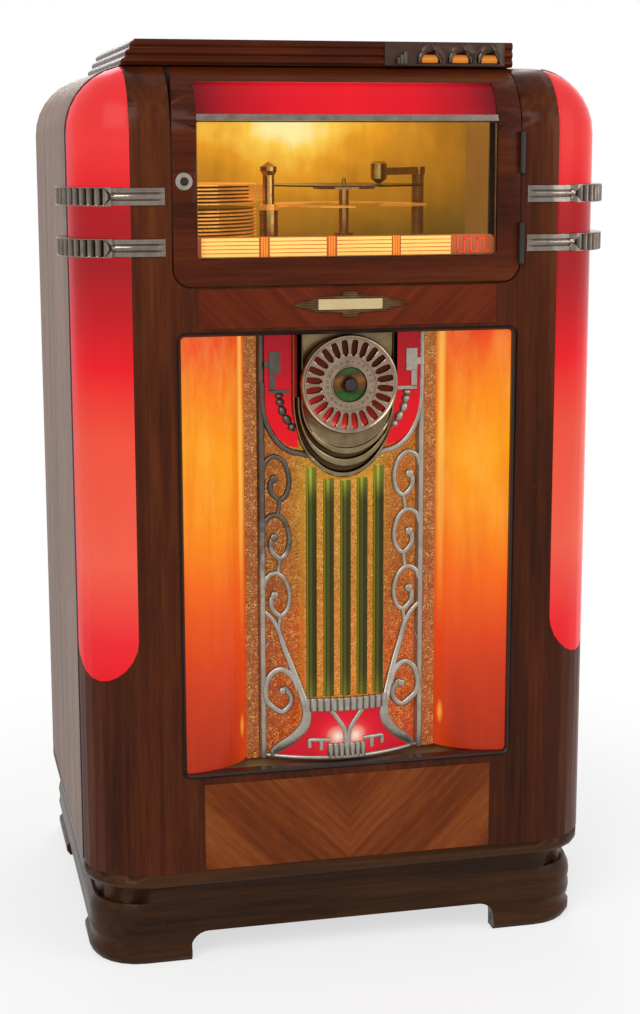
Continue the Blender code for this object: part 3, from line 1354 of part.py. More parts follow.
def build_selector(finishes):
    """The stepped housing, its lens, the pierced dial and the button at the dial's hub."""
    rings = []
    steps = (
        (HOUSING_DROP, 0.0, BACKING_FRONT - CLEARANCE),
        (HOUSING_DROP, 0.0, HOUSING_LOWER_FRONT),
        (HOUSING_MIDDLE_DROP, HOUSING_SIDE_STEP, HOUSING_LOWER_FRONT),
        (HOUSING_MIDDLE_DROP, HOUSING_SIDE_STEP, HOUSING_MIDDLE_FRONT),
        (HOUSING_FRONT_DROP, 2 * HOUSING_SIDE_STEP, HOUSING_MIDDLE_FRONT),
        (HOUSING_FRONT_DROP, 2 * HOUSING_SIDE_STEP, HOUSING_FRONT),
    )
    for fall, inset, at in steps:
        rings.append([(a, depth(at), b) for a, b in housing_outline(fall, inset)])
    housing = add_object("dial_housing", loft_mesh(rings), finishes["chrome"])
    notch = block(
        "bar_notch",
        (-RAISED_HALF_WIDTH - CLEARANCE, depth(RAISED_DEPTH - BAR_RADIUS - OVERRUN), 0.0),
        (RAISED_HALF_WIDTH + CLEARANCE, depth(BACKING_FRONT + CLEARANCE), RAISED_HIGH + CLEARANCE),
    )
    modify(housing, notch)

    centre = (0.0, depth(0.0), DIAL_Z)
    lens_front = DIAL_BACK + CLEARANCE
    lathe(
        "dial_lens",
        (
            (0.0, lens_front),
            (DIAL_RADIUS - CLEARANCE, lens_front),
            (DIAL_RADIUS - CLEARANCE, lens_front + LENS_THICKNESS),
            (0.0, lens_front + LENS_THICKNESS),
        ),
        centre,
        32,
        finishes["red_plastic"],
        "Y",
    )
    dial = lathe(
        "selector_dial",
        (
            (DIAL_BORE, DIAL_BACK),
            (DIAL_BORE, DIAL_FRONT),
            (DIAL_RADIUS - DIAL_RIM_WIDTH, DIAL_FRONT),
            (DIAL_RADIUS - DIAL_RIM_WIDTH * DIAL_RIM_INNER_SHARE, DIAL_FRONT - DIAL_RIM_PROUD),
            (DIAL_RADIUS - DIAL_RIM_WIDTH * DIAL_RIM_OUTER_SHARE, DIAL_FRONT - DIAL_RIM_PROUD),
            (DIAL_RADIUS, DIAL_FRONT),
            (DIAL_RADIUS, DIAL_BACK),
        ),
        centre,
        40,
        finishes["chrome"],
        "Y",
        centre,
    )
    cutter = bmesh.new()
    for index in range(DIAL_SLOTS):
        outline = []
        for step in range(5):
            turn = math.pi / 2 - math.pi * step / 4
            reach = SLOT_OUTER - SLOT_HALF_WIDTH + SLOT_HALF_WIDTH * math.cos(turn)
            outline.append((reach, SLOT_HALF_WIDTH * math.sin(turn)))
        for step in range(3):
            turn = -math.pi / 2 - math.pi * step / 2
            inner_half = SLOT_HALF_WIDTH * SLOT_INNER / SLOT_OUTER
            reach = SLOT_INNER + inner_half + inner_half * math.cos(turn)
            outline.append((reach, inner_half * math.sin(turn)))
        slot = prism_mesh(outline, depth(DIAL_FRONT - OVERRUN), depth(DIAL_BACK + OVERRUN), "Y")
        turn = Matrix.Rotation(math.tau * (index + 0.5) / DIAL_SLOTS, 4, "Y")
        bmesh.ops.transform(slot, matrix=Matrix.Translation((0.0, 0.0, DIAL_Z)) @ turn, verts=slot.verts)
        scratch = bpy.data.meshes.new("slot")
        slot.to_mesh(scratch)
        slot.free()
        cutter.from_mesh(scratch)
        bpy.data.meshes.remove(scratch)
    modify(dial, add_object("dial_slots", cutter))
    ring_outer = DIAL_BORE + CLEARANCE
    window_ring = lathe(
        "window_ring",
        (
            (WINDOW_RING_INNER, DIAL_BACK - CLEARANCE),
            (WINDOW_RING_INNER, DIAL_FRONT - WINDOW_RING_PROUD),
            (ring_outer - WINDOW_RING_PROUD, DIAL_FRONT - WINDOW_RING_PROUD),
            (ring_outer, DIAL_FRONT + CLEARANCE),
            (ring_outer, DIAL_BACK - CLEARANCE),
        ),
        centre,
        40,
        axis="Y",
    )
    modify(dial, window_ring, "UNION")
    lathe(
        "selector_button",
        (
            (0.0, BUTTON_BACK),
            (BUTTON_RADIUS, BUTTON_BACK),
            (BUTTON_RADIUS, BUTTON_FRONT + BUTTON_RADIUS / 3),
            (BUTTON_RADIUS * BUTTON_CROWN_SHARE, BUTTON_FRONT + BUTTON_RADIUS / 12),
            (0.0, BUTTON_FRONT),
        ),
        centre,
        20,
        finishes["black"],
        "Y",
        centre,
    )


def build_crown(finishes):
    """A reeded block on the cabinet top, with the coin fitting let into its right end."""
    base = BODY_TOP + CLEARANCE
    reed = CROWN_HEIGHT / CROWN_REEDS
    section = []
    for index in range(CROWN_REEDS):
        for step in range(5):
            turn = math.pi * (step / 5)
            section.append(
                (
                    depth(CROWN_FRONT_DEPTH - REED_BULGE * math.sin(turn)),
                    base + reed * index + reed * (1.0 - math.cos(turn)) / 2,
                )
            )
    section.append((depth(CROWN_FRONT_DEPTH), base + CROWN_HEIGHT))
    for step in range(7):
        turn = math.pi / 2 * (1.0 - step / 6)
        section.append(
            (
                depth(CROWN_BACK_DEPTH - CROWN_BACK_RADIUS + CROWN_BACK_RADIUS * math.cos(turn)),
                base + CROWN_HEIGHT - CROWN_BACK_RADIUS + CROWN_BACK_RADIUS * math.sin(turn),
            )
        )
    section.append((depth(CROWN_BACK_DEPTH), base))
    crown = prism("crown", section, CROWN_LEFT_X, CROWN_RIGHT_X, "X", finishes["wood"])
    recess = block(
        "coin_recess",
        (COIN_LEFT_X - CLEARANCE, depth(0.0), base - OVERRUN),
        (COIN_RIGHT_X + CLEARANCE, depth(CROWN_FRONT_DEPTH + COIN_SINK), base + CROWN_HEIGHT + OVERRUN),
    )
    modify(crown, recess)

    back = CROWN_FRONT_DEPTH + COIN_SINK - CLEARANCE
    front = back - COIN_THICKNESS
    low = base + CROWN_HEIGHT * COIN_LOW_SHARE
    high = base + CROWN_HEIGHT * COIN_HIGH_SHARE
    coin = block(
        "coin_escutcheon",
        (COIN_LEFT_X, depth(front), low),
        (COIN_RIGHT_X, depth(back), high),
        finishes["bronze"],
    )
    window_low = base + CROWN_HEIGHT * COIN_WINDOW_LOW_SHARE
    window_high = base + CROWN_HEIGHT * COIN_WINDOW_HIGH_SHARE
    for index, x in enumerate(COIN_WINDOW_CENTRES):
        arch = []
        hood = []
        for step in range(9):
            turn = math.pi * step / 8
            arch_z = window_low + (window_high - window_low) * math.sin(turn)
            hood_z = window_low + (high - window_low - CLEARANCE) * math.sin(turn)
            arch.append((x + COIN_WINDOW_HALF * math.cos(turn), arch_z))
            hood.append((x + HOOD_RADIUS * math.cos(turn), hood_z))
        hood_front = depth(front - HOOD_PROUD)
        hood_shape = prism(f"coin_hood_{index}", hood, hood_front, depth(back - CLEARANCE), "Y")
        modify(coin, hood_shape, "UNION")
        arch_front = depth(front - HOOD_PROUD - OVERRUN)
        arch_shape = prism(f"coin_window_{index}", arch, arch_front, depth(back - COIN_SINK / 2), "Y")
        modify(coin, arch_shape)


def build_inside(finishes):
    inner = BODY_HALF_WIDTH - WALL - CLEARANCE
    block(
        "mech_shelf",
        (-inner, depth(SHELF_FRONT), SHELF_LOW),
        (inner, depth(SHELF_BACK), SHELF_LOW + SHELF_THICKNESS),
        finishes["raw_wood"],
    )
    baffle_low = BODY_BOTTOM
    baffle = block(
        "speaker_baffle",
        (-BAFFLE_HALF_WIDTH, depth(BAFFLE_FRONT), baffle_low),
        (BAFFLE_HALF_WIDTH, depth(BAFFLE_FRONT + BAFFLE_THICKNESS), SHELF_LOW + SHELF_THICKNESS),
        finishes["raw_wood"],
    )
    centre = (0.0, depth(0.0), SPEAKER_Z)
    hole = lathe(
        "speaker_hole",
        (
            (0.0, BAFFLE_FRONT - OVERRUN),
            (SPEAKER_HOLE, BAFFLE_FRONT - OVERRUN),
            (SPEAKER_HOLE, BAFFLE_FRONT + BAFFLE_THICKNESS + OVERRUN),
            (0.0, BAFFLE_FRONT + BAFFLE_THICKNESS + OVERRUN),
        ),
        centre,
        32,
        axis="Y",
    )
    modify(baffle, hole)
    start = BAFFLE_FRONT + BAFFLE_THICKNESS + CLEARANCE
    end = start + CONE_DEPTH
    basket = lathe(
        "speaker_frame",
        (
            (SPEAKER_RADIUS, start),
            (SPEAKER_HOLE, start),
            (CONE_THROAT + 2 * BASKET_WALL, end),
            (CONE_THROAT + 3 * BASKET_WALL, end + BASKET_WALL),
            (SPEAKER_HOLE + BASKET_WALL, start + 2 * BASKET_WALL),
            (SPEAKER_RADIUS, start + BASKET_WALL),
        ),
        centre,
        24,
        finishes["dark_metal"],
        "Y",
    )
    lathe(
        "speaker_cone",
        (
            (0.0, end - BASKET_WALL),
            (CONE_THROAT, end - BASKET_WALL),
            (SPEAKER_HOLE - BASKET_WALL, start),
            (SPEAKER_HOLE - CLEARANCE, start),
            (CONE_THROAT + BASKET_WALL, end),
            (0.0, end),
        ),
        centre,
        24,
        finishes["paper_black"],
        "Y",
    )
    magnet_start = end + BASKET_WALL / 2
    magnet = lathe(
        "speaker_magnet",
        (
            (0.0, magnet_start),
            (MAGNET_RADIUS, magnet_start),
            (MAGNET_RADIUS, magnet_start + MAGNET_LENGTH),
            (0.0, magnet_start + MAGNET_LENGTH),
        ),
        centre,
        24,
        axis="Y",
    )
    modify(basket, magnet, "UNION")
    floor_z = BODY_BOTTOM
    amplifier = block(
        "amplifier",
        (-AMPLIFIER_HALF_WIDTH, depth(AMPLIFIER_FRONT), floor_z),
        (AMPLIFIER_HALF_WIDTH, depth(AMPLIFIER_FRONT + AMPLIFIER_DEPTH), floor_z + AMPLIFIER_HEIGHT),
        finishes["dark_metal"],
    )
    tube_pitch = 2 * AMPLIFIER_HALF_WIDTH / (TUBE_COUNT + 1)
    for index in range(TUBE_COUNT):
        x = -AMPLIFIER_HALF_WIDTH + tube_pitch * (index + 1)
        base = floor_z + AMPLIFIER_HEIGHT
        tube = lathe(
            f"amplifier_tube_{index}",
            (
                (0.0, base - CLEARANCE),
                (TUBE_RADIUS * TUBE_NECK_SHARE, base - CLEARANCE),
                (TUBE_RADIUS * TUBE_NECK_SHARE, base + TUBE_HEIGHT * TUBE_NECK_HEIGHT_SHARE),
                (TUBE_RADIUS, base + TUBE_HEIGHT * TUBE_SHOULDER_HEIGHT_SHARE),
                (TUBE_RADIUS * TUBE_TIP_SHARE, base + TUBE_HEIGHT * TUBE_TIP_HEIGHT_SHARE),
                (0.0, base + TUBE_HEIGHT),
            ),
            (x, depth(AMPLIFIER_FRONT + AMPLIFIER_DEPTH / 2), 0.0),
            12,
        )
        modify(amplifier, tube, "UNION")
    cash_right = inner
    cash_front = depth(SHELF_FRONT + CASH_DEPTH / 2)
    cash_back = depth(SHELF_FRONT + CASH_DEPTH * CASH_BACK_SHARE)
    cash = block(
        "cash_box",
        (cash_right - CASH_WIDTH, cash_front, floor_z),
        (cash_right, cash_back, floor_z + CASH_HEIGHT),
        finishes["dark_metal"],
    )
    wall = BASKET_WALL
    modify(
        cash,
        block(
            "cash_hollow",
            (cash_right - CASH_WIDTH + wall, cash_front + wall, floor_z + wall),
            (cash_right - wall, cash_back - wall, floor_z + CASH_HEIGHT + OVERRUN),
        ),
    )


def tray_centre(angle):
    x = POST_X + SWING_RADIUS * math.cos(angle)
    y = depth(POST_DEPTH + SWING_RADIUS * math.sin(angle))
    return x, y


def build_mechanism(finishes):
    plate_low = SHELF_LOW + SHELF_THICKNESS + CLEARANCE
    plate_top = plate_low + MECH_PLATE_THICKNESS
    bed = block(
        "mech_bed",
        (MECH_LEFT_X, depth(MECH_FRONT), plate_low),
        (MECH_RIGHT_X, depth(MECH_BACK), plate_top),
        finishes["grey_iron"],
    )
    floor_z = plate_top + CLEARANCE
    post_y = depth(POST_DEPTH)
    lathe(
        "tray_post",
        (
            (0.0, floor_z),
            (COLLAR_RADIUS, floor_z),
            (COLLAR_RADIUS, TRAY_LEVEL - TRAY_PITCH),
            (POST_RADIUS, TRAY_LEVEL - TRAY_PITCH),
            (POST_RADIUS, POST_TOP),
            (POST_KNOB_RADIUS, POST_TOP + POST_KNOB_RADIUS / 2),
            (POST_KNOB_RADIUS, POST_TOP + POST_KNOB_RADIUS),
            (0.0, POST_TOP + POST_KNOB_RADIUS * KNOB_HEIGHT_SHARE),
        ),
        (POST_X, post_y, 0.0),
        16,
        finishes["brushed"],
    )

    stack_x, stack_y = tray_centre(STACK_ANGLE)
    for name, first, count in (
        ("lower_tray_stack", -TRAYS_BELOW, TRAYS_BELOW),
        ("upper_tray_stack", 1, TRAYS_ABOVE),
    ):
        profile = []
        bottom = floor_z if first < 0 else TRAY_LEVEL + TRAY_PITCH * first - TRAY_THICKNESS
        profile.append((0.0, bottom))
        profile.append((TRAY_SPINE_RADIUS, bottom))
        for index in range(count):
            z = TRAY_LEVEL + TRAY_PITCH * (first + index)
            if z - TRAY_THICKNESS > bottom:
                profile.append((TRAY_SPINE_RADIUS, z - TRAY_THICKNESS / 2))
            profile.append((TRAY_RADIUS, z - TRAY_THICKNESS / 2))
            profile.append((TRAY_RADIUS, z + TRAY_THICKNESS / 2))
            profile.append((TRAY_SPINE_RADIUS, z + TRAY_THICKNESS / 2))
        profile.append((0.0, profile[-1][1]))
        stack = lathe(name, profile, (stack_x, stack_y, 0.0), 16, finishes["tray_metal"])
        if first > 0:
            stack_arm(stack, name, stack_x, stack_y, bottom, profile[-1][1])

    play_x, play_y = tray_centre(PLAY_ANGLE)
    swing_origin = (POST_X, post_y, TRAY_LEVEL)
    half = TRAY_THICKNESS / 2
    towards = Vector((play_x - POST_X, play_y - post_y)).normalized()
    sideways = Vector((-towards.y, towards.x))
    opening = math.atan2(-sideways.y, -sideways.x) - TRAY_GAP_TURN
    sweep = math.tau - 2 * TRAY_GAP_HALF_ANGLE
    ring = []
    for radius, order in ((TRAY_RADIUS, 1), (TRAY_HOLE_RADIUS, -1)):
        for step in range(TRAY_STEPS + 1)[::order]:
            turn = opening + TRAY_GAP_HALF_ANGLE + sweep * step / TRAY_STEPS
            ring.append((play_x + radius * math.cos(turn), play_y + radius * math.sin(turn)))
    tray = prism(
        "swing_tray", ring, TRAY_LEVEL - half, TRAY_LEVEL + half, "Z", finishes["tray_metal"], swing_origin
    )
    arm = []
    for along, across in (
        (0.0, -TRAY_ARM_HALF_WIDTH),
        (SWING_RADIUS - TRAY_RADIUS + TRAY_ARM_HALF_WIDTH, -TRAY_ARM_HALF_WIDTH),
        (SWING_RADIUS - TRAY_RADIUS + TRAY_ARM_HALF_WIDTH, TRAY_ARM_HALF_WIDTH),
        (0.0, TRAY_ARM_HALF_WIDTH),
    ):
        point = Vector((POST_X, post_y)) + towards * along + sideways * across
        arm.append((point.x, point.y))
    arm_low = TRAY_LEVEL - half - CLEARANCE
    modify(tray, prism("tray_arm", arm, arm_low, TRAY_LEVEL + half + CLEARANCE, "Z"), "UNION")
    collar_high = TRAY_LEVEL + TRAY_PITCH - TRAY_THICKNESS
    collar_low = TRAY_LEVEL - TRAY_PITCH + CLEARANCE
    collar = lathe(
        "tray_collar",
        ((0.0, collar_low), (COLLAR_RADIUS, collar_low), (COLLAR_RADIUS, collar_high), (0.0, collar_high)),
        (POST_X, post_y, 0.0),
        16,
    )
    modify(tray, collar, "UNION")
    bore = lathe(
        "tray_bore",
        (
            (0.0, collar_low - TRAY_PITCH),
            (POST_RADIUS + CLEARANCE, collar_low - TRAY_PITCH),
            (POST_RADIUS + CLEARANCE, collar_high + TRAY_PITCH),
            (0.0, collar_high + TRAY_PITCH),
        ),
        (POST_X, post_y, 0.0),
        16,
    )
    modify(tray, bore)
    centre = (play_x, play_y, 0.0)
    origin = (play_x, play_y, RECORD_LEVEL)
    record_low = RECORD_LEVEL - RECORD_THICKNESS / 2
    record_high = RECORD_LEVEL + RECORD_THICKNESS / 2
    hole = SPINDLE_RADIUS + CLEARANCE
    lathe(
        "record",
        ((hole, record_low), (RECORD_RADIUS, record_low), (RECORD_RADIUS, record_high), (hole, record_high)),
        centre,
        32,
        finishes["black_gloss"],
        origin=origin,
    )
    platter_top = record_low - CLEARANCE
    platter_low = platter_top - PLATTER_THICKNESS
    shaft_low = LIFT_TUBE_TOP - LIFT_TUBE_RADIUS * 2
    lathe(
        "turntable",
        (
            (0.0, shaft_low),
            (SHAFT_RADIUS, shaft_low),
            (SHAFT_RADIUS, platter_low),
            (PLATTER_RADIUS, platter_low),
            (PLATTER_RADIUS, platter_top),
            (SPINDLE_RADIUS, platter_top),
            (SPINDLE_RADIUS, record_high + SPINDLE_HEIGHT * SPINDLE_SHOULDER_SHARE),
            (0.0, record_high + SPINDLE_HEIGHT),
        ),
        centre,
        24,
        finishes["brushed"],
        origin=origin,
    )
    bore_radius = SHAFT_RADIUS + CLEARANCE
    sleeve_low = floor_z + LIFT_TRAVEL + MOVING_GAP
    lathe(
        "lift_sleeve",
        (
            (0.0, sleeve_low),
            (LIFT_TUBE_RADIUS, sleeve_low),
            (LIFT_TUBE_RADIUS, LIFT_TUBE_TOP),
            (bore_radius, LIFT_TUBE_TOP),
            (bore_radius, shaft_low - CLEARANCE),
            (0.0, shaft_low - CLEARANCE),
        ),
        centre,
        20,
        finishes["grey_iron"],
        origin=(play_x, play_y, LIFT_TUBE_TOP),
    )
    guide_bore = LIFT_TUBE_RADIUS + CLEARANCE
    guide_top = floor_z + LIFT_GUIDE_HEIGHT
    guide = lathe(
        "lift_guide",
        (
            (0.0, plate_low + CLEARANCE),
            (LIFT_FOOT_RADIUS, plate_low + CLEARANCE),
            (LIFT_FOOT_RADIUS, floor_z + LIFT_FOOT_RADIUS / 4),
            (LIFT_TUBE_RADIUS + BASKET_WALL, floor_z + LIFT_FOOT_RADIUS / 3),
            (LIFT_TUBE_RADIUS + BASKET_WALL, guide_top),
            (guide_bore, guide_top),
            (guide_bore, floor_z + CLEARANCE * 2),
            (0.0, floor_z + CLEARANCE * 2),
        ),
        centre,
        20,
    )
    modify(bed, guide, "UNION")
    lathe(
        "drive_motor",
        (
            (0.0, floor_z),
            (MOTOR_RADIUS, floor_z),
            (MOTOR_RADIUS, floor_z + MOTOR_HEIGHT * MOTOR_SHOULDER_SHARE),
            (MOTOR_RADIUS * MOTOR_TOP_SHARE, floor_z + MOTOR_HEIGHT),
            (0.0, floor_z + MOTOR_HEIGHT),
        ),
        (MOTOR_X, depth(MOTOR_DEPTH), 0.0),
        24,
        finishes["dark_metal"],
    )

    arm_centre = (ARM_POST_X, depth(ARM_POST_DEPTH), 0.0)
    arm_post = lathe(
        "arm_post",
        (
            (0.0, plate_low + CLEARANCE),
            (ARM_POST_RADIUS * ARM_FOOT_SHARE, plate_low + CLEARANCE),
            (ARM_POST_RADIUS, floor_z + ARM_POST_RADIUS),
            (ARM_POST_RADIUS, ARM_POST_TOP),
            (0.0, ARM_POST_TOP),
        ),
        arm_centre,
        16,
    )
    modify(bed, arm_post, "UNION")
    arm_low = ARM_POST_TOP + CLEARANCE
    arm_high = arm_low + ARM_THICKNESS
    arm_origin = (ARM_POST_X, depth(ARM_POST_DEPTH), arm_low)
    arm = lathe(
        "tone_arm",
        (
            (0.0, arm_low),
            (ARM_POST_RADIUS * ARM_HUB_SHARE, arm_low),
            (ARM_POST_RADIUS * ARM_HUB_SHARE, arm_high + CLEARANCE),
            (0.0, arm_high + CLEARANCE),
        ),
        arm_centre,
        16,
        finishes["brushed"],
        origin=arm_origin,
    )
    heading = Vector((math.cos(ARM_REST_ANGLE), math.sin(ARM_REST_ANGLE)))
    aside = Vector((-heading.y, heading.x))
    start = Vector(arm_centre[:2])
    beam = []
    for along, across in (
        (0.0, -ARM_HALF_WIDTH),
        (ARM_LENGTH, -ARM_HALF_WIDTH * 0.6),
        (ARM_LENGTH, ARM_HALF_WIDTH * 0.6),
        (0.0, ARM_HALF_WIDTH),
    ):
        point = start + heading * along + aside * across
        beam.append((point.x, point.y))
    modify(arm, prism("arm_beam", beam, arm_low + CLEARANCE, arm_high, "Z"), "UNION")
    tip = start + heading * ARM_LENGTH
    head_profile = (
        (0.0, record_high + CLEARANCE * 2),
        (PICKUP_RADIUS * 0.2, record_high + CLEARANCE * 4),
        (PICKUP_RADIUS, arm_low - PICKUP_RADIUS * 0.4),
        (PICKUP_RADIUS, arm_high + PICKUP_RADIUS * 0.5),
        (PICKUP_RADIUS * 0.7, arm_high + PICKUP_RADIUS * 0.8),
        (0.0, arm_high + PICKUP_RADIUS * 0.8),
    )
    modify(arm, lathe("pickup_can", head_profile, (tip.x, tip.y, 0.0), 16), "UNION")


def stack_arm(stack, name, stack_x, stack_y, low, high):
    """The bracket that carries the upper trays from the top of the post."""
    start = Vector((POST_X, depth(POST_DEPTH)))
    end = Vector((stack_x, stack_y))
    along = (end - start).normalized()
    aside = Vector((-along.y, along.x))
    bar = []
    for reach, across in (
        (POST_RADIUS + CLEARANCE, -TRAY_ARM_HALF_WIDTH),
        ((end - start).length, -TRAY_ARM_HALF_WIDTH),
        ((end - start).length, TRAY_ARM_HALF_WIDTH),
        (POST_RADIUS + CLEARANCE, TRAY_ARM_HALF_WIDTH),
    ):
        point = start + along * reach + aside * across
        bar.append((point.x, point.y))
    modify(stack, prism(name + "_bracket", bar, low + TRAY_PITCH, high - CLEARANCE, "Z"), "UNION")


def build_rear(finishes, forms):
    inner = BODY_HALF_WIDTH - WALL
    axis_x = inner - MOVING_GAP / 2
    axis_y = depth(BODY_DEPTH + KNUCKLE_PROUD)
    axis = (axis_x, axis_y, BODY_BOTTOM)
    panel = body_form("rear_door", WALL + MOVING_GAP, OVERRUN, finishes["raw_wood"], axis)
    back = BODY_DEPTH - REAR_PANEL_SINK
    region = block(
        "rear_panel_region",
        (-inner, depth(back - REAR_PANEL_THICKNESS), BODY_BOTTOM + MOVING_GAP),
        (inner, depth(back), BODY_TOP),
    )
    modify(panel, region, "INTERSECT")
    for index in range(REAR_LOUVRES):
        z = LOUVRE_FIRST + LOUVRE_PITCH * index
        slot = block(
            f"louvre_{index}",
            (-LOUVRE_HALF_LENGTH, depth(back - REAR_PANEL_THICKNESS - OVERRUN), z),
            (LOUVRE_HALF_LENGTH, depth(back + OVERRUN), z + LOUVRE_HEIGHT),
        )
        modify(panel, slot)
    latch_centre = (REAR_LATCH_X, depth(back), REAR_LATCH_Z)
    latch = lathe(
        "rear_latch",
        (
            (0.0, CLEARANCE),
            (REAR_LATCH_RADIUS, CLEARANCE),
            (REAR_LATCH_RADIUS, REAR_LATCH_PROUD * 0.7),
            (REAR_LATCH_RADIUS * 0.8, REAR_LATCH_PROUD),
            (0.0, REAR_LATCH_PROUD),
        ),
        latch_centre,
        20,
        finishes["brushed"],
        "Y",
        latch_centre,
    )
    wing_half = LATCH_WING_HALF / 4
    wing = block(
        "latch_wing",
        (REAR_LATCH_X - LATCH_WING_HALF, depth(back + REAR_LATCH_PROUD / 2), REAR_LATCH_Z - wing_half),
        (REAR_LATCH_X + LATCH_WING_HALF, depth(back + LATCH_WING_PROUD), REAR_LATCH_Z + wing_half),
    )
    modify(latch, wing, "UNION")
    hinge(
        "rear_hinge",
        axis_x,
        axis_y,
        REAR_HINGE_Z,
        REAR_HINGE_LENGTH,
        1,
        -KNUCKLE_PROUD - REAR_PANEL_SINK - REAR_PANEL_THICKNESS,
        finishes["black_iron"],
    )


def build_finishes():
    return {
        "wood": material("mahogany_front", (0.060, 0.018, 0.009), 0.25),
        "side_wood": material("walnut_side", (0.075, 0.040, 0.025), 0.35),
        "dark_wood": material("dark_base_wood", (0.034, 0.012, 0.008), 0.35),
        "raw_wood": material("plain_plywood", (0.30, 0.18, 0.09), 0.8),
        "veneer": material("figured_veneer", (0.155, 0.036, 0.012), 0.28),
        "red_plastic": material("red_plastic", (0.80, 0.020, 0.022), 0.3),
        "amber_plastic": material("amber_plastic", (0.85, 0.28, 0.03), 0.3),
        "green_plastic": material("green_plastic", (0.060, 0.110, 0.030), 0.25),
        "gold_foil": material("gold_foil", (0.60, 0.28, 0.05), 0.45, 0.8),
        "chrome": material("chrome", (0.72, 0.70, 0.66), 0.15, 1.0),
        "bronze": material("bronze_casting", (0.16, 0.10, 0.045), 0.4, 0.9),
        "brushed": material("brushed_metal", (0.50, 0.48, 0.45), 0.35, 1.0),
        "tray_metal": material("tray_metal", (0.30, 0.20, 0.12), 0.4, 0.8),
        "grey_iron": material("grey_iron", (0.12, 0.12, 0.12), 0.6, 0.6),
        "dark_metal": material("dark_metal", (0.04, 0.04, 0.045), 0.5, 0.6),
        "black_iron": material("black_iron", (0.015, 0.015, 0.016), 0.45, 0.5),
        "paper_black": material("cone_paper", (0.02, 0.02, 0.02), 0.95),
        "black": material("black_paint", (0.012, 0.009, 0.008), 0.4),
        "black_gloss": material("black_record", (0.008, 0.008, 0.009), 0.2),
        "ivory": material("ivory_board", (0.60, 0.50, 0.32), 0.6),
        "glass": material("window_glass", (0.80, 0.85, 0.85), 0.05),
    }


def build_forms():
    """Shared hidden forms: the cabinet's outline at the insets that several pieces need."""
    return {
        "inner": body_form("inner_form", WALL, OVERRUN),
        "pilaster_inner": body_form("pilaster_inner_form", PILASTER_WALL, OVERRUN),
        "top_panel_inner": body_form("top_panel_inner_form", TOP_PANEL_SINK + TOP_PANEL_THICKNESS, OVERRUN),
        "trim_inner": body_form("trim_inner_form", -CLEARANCE, OVERRUN),
    }


def main():
    for existing in list(bpy.data.objects):
        bpy.data.objects.remove(existing, do_unlink=True)
    finishes = build_finishes()
    forms = build_forms()
    build_base(finishes)
    build_cabinet(finishes, forms)
    build_bands(finishes)
    build_door(finishes, forms)
    build_front_fittings(finishes)
    build_grille(finishes)
    build_casting(finishes)
    build_selector(finishes)
    build_crown(finishes)
    build_inside(finishes)
    build_mechanism(finishes)
    build_rear(finishes, forms)


main()
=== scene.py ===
"""Visual model of a floor-standing jukebox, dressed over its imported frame."""

import json
import logging
import math
from dataclasses import dataclass
from enum import Enum
from functools import lru_cache
from typing import Any, Sequence

import bmesh
import bpy
import numpy as np
from mathutils import Matrix, Vector

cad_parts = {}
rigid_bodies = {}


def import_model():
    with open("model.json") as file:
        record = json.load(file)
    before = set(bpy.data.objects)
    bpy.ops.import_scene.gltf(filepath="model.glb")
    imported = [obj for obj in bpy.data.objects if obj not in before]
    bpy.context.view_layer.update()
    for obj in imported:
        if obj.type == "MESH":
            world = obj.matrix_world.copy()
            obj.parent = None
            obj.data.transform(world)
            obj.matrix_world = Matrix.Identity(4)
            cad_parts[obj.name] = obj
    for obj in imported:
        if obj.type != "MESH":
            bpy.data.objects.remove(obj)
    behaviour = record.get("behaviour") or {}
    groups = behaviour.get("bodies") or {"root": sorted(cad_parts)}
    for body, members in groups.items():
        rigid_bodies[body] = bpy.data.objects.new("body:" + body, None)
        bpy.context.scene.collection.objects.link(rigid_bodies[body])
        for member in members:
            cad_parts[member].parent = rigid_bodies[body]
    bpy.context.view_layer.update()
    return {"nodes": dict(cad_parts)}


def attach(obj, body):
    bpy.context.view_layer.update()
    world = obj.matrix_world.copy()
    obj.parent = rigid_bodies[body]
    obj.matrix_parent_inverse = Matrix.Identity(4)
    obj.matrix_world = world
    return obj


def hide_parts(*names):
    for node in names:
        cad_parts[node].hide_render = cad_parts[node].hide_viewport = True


LOG = logging.getLogger("jukebox")
FRONT_Y = -0.3187
MERGE_DISTANCE = 0.00001
SHARP_TURN = math.radians(38)
BEVEL_TURN = math.radians(40)
TINY = 1e-12

Colour = tuple[float, ...]
Stops = tuple[tuple[float, str], ...]
Points = tuple[tuple[float, float], ...]
Nodes = dict[str, bpy.types.Object]


def srgb(code: str) -> Colour:
    """Turn a six-figure colour code into linear red, green, blue and full alpha."""
    shares = [int(code[place : place + 2], 16) / 255 for place in (0, 2, 4)]
    return (*(s / 12.92 if s <= 0.04045 else ((s + 0.055) / 1.055) ** 2.4 for s in shares), 1.0)


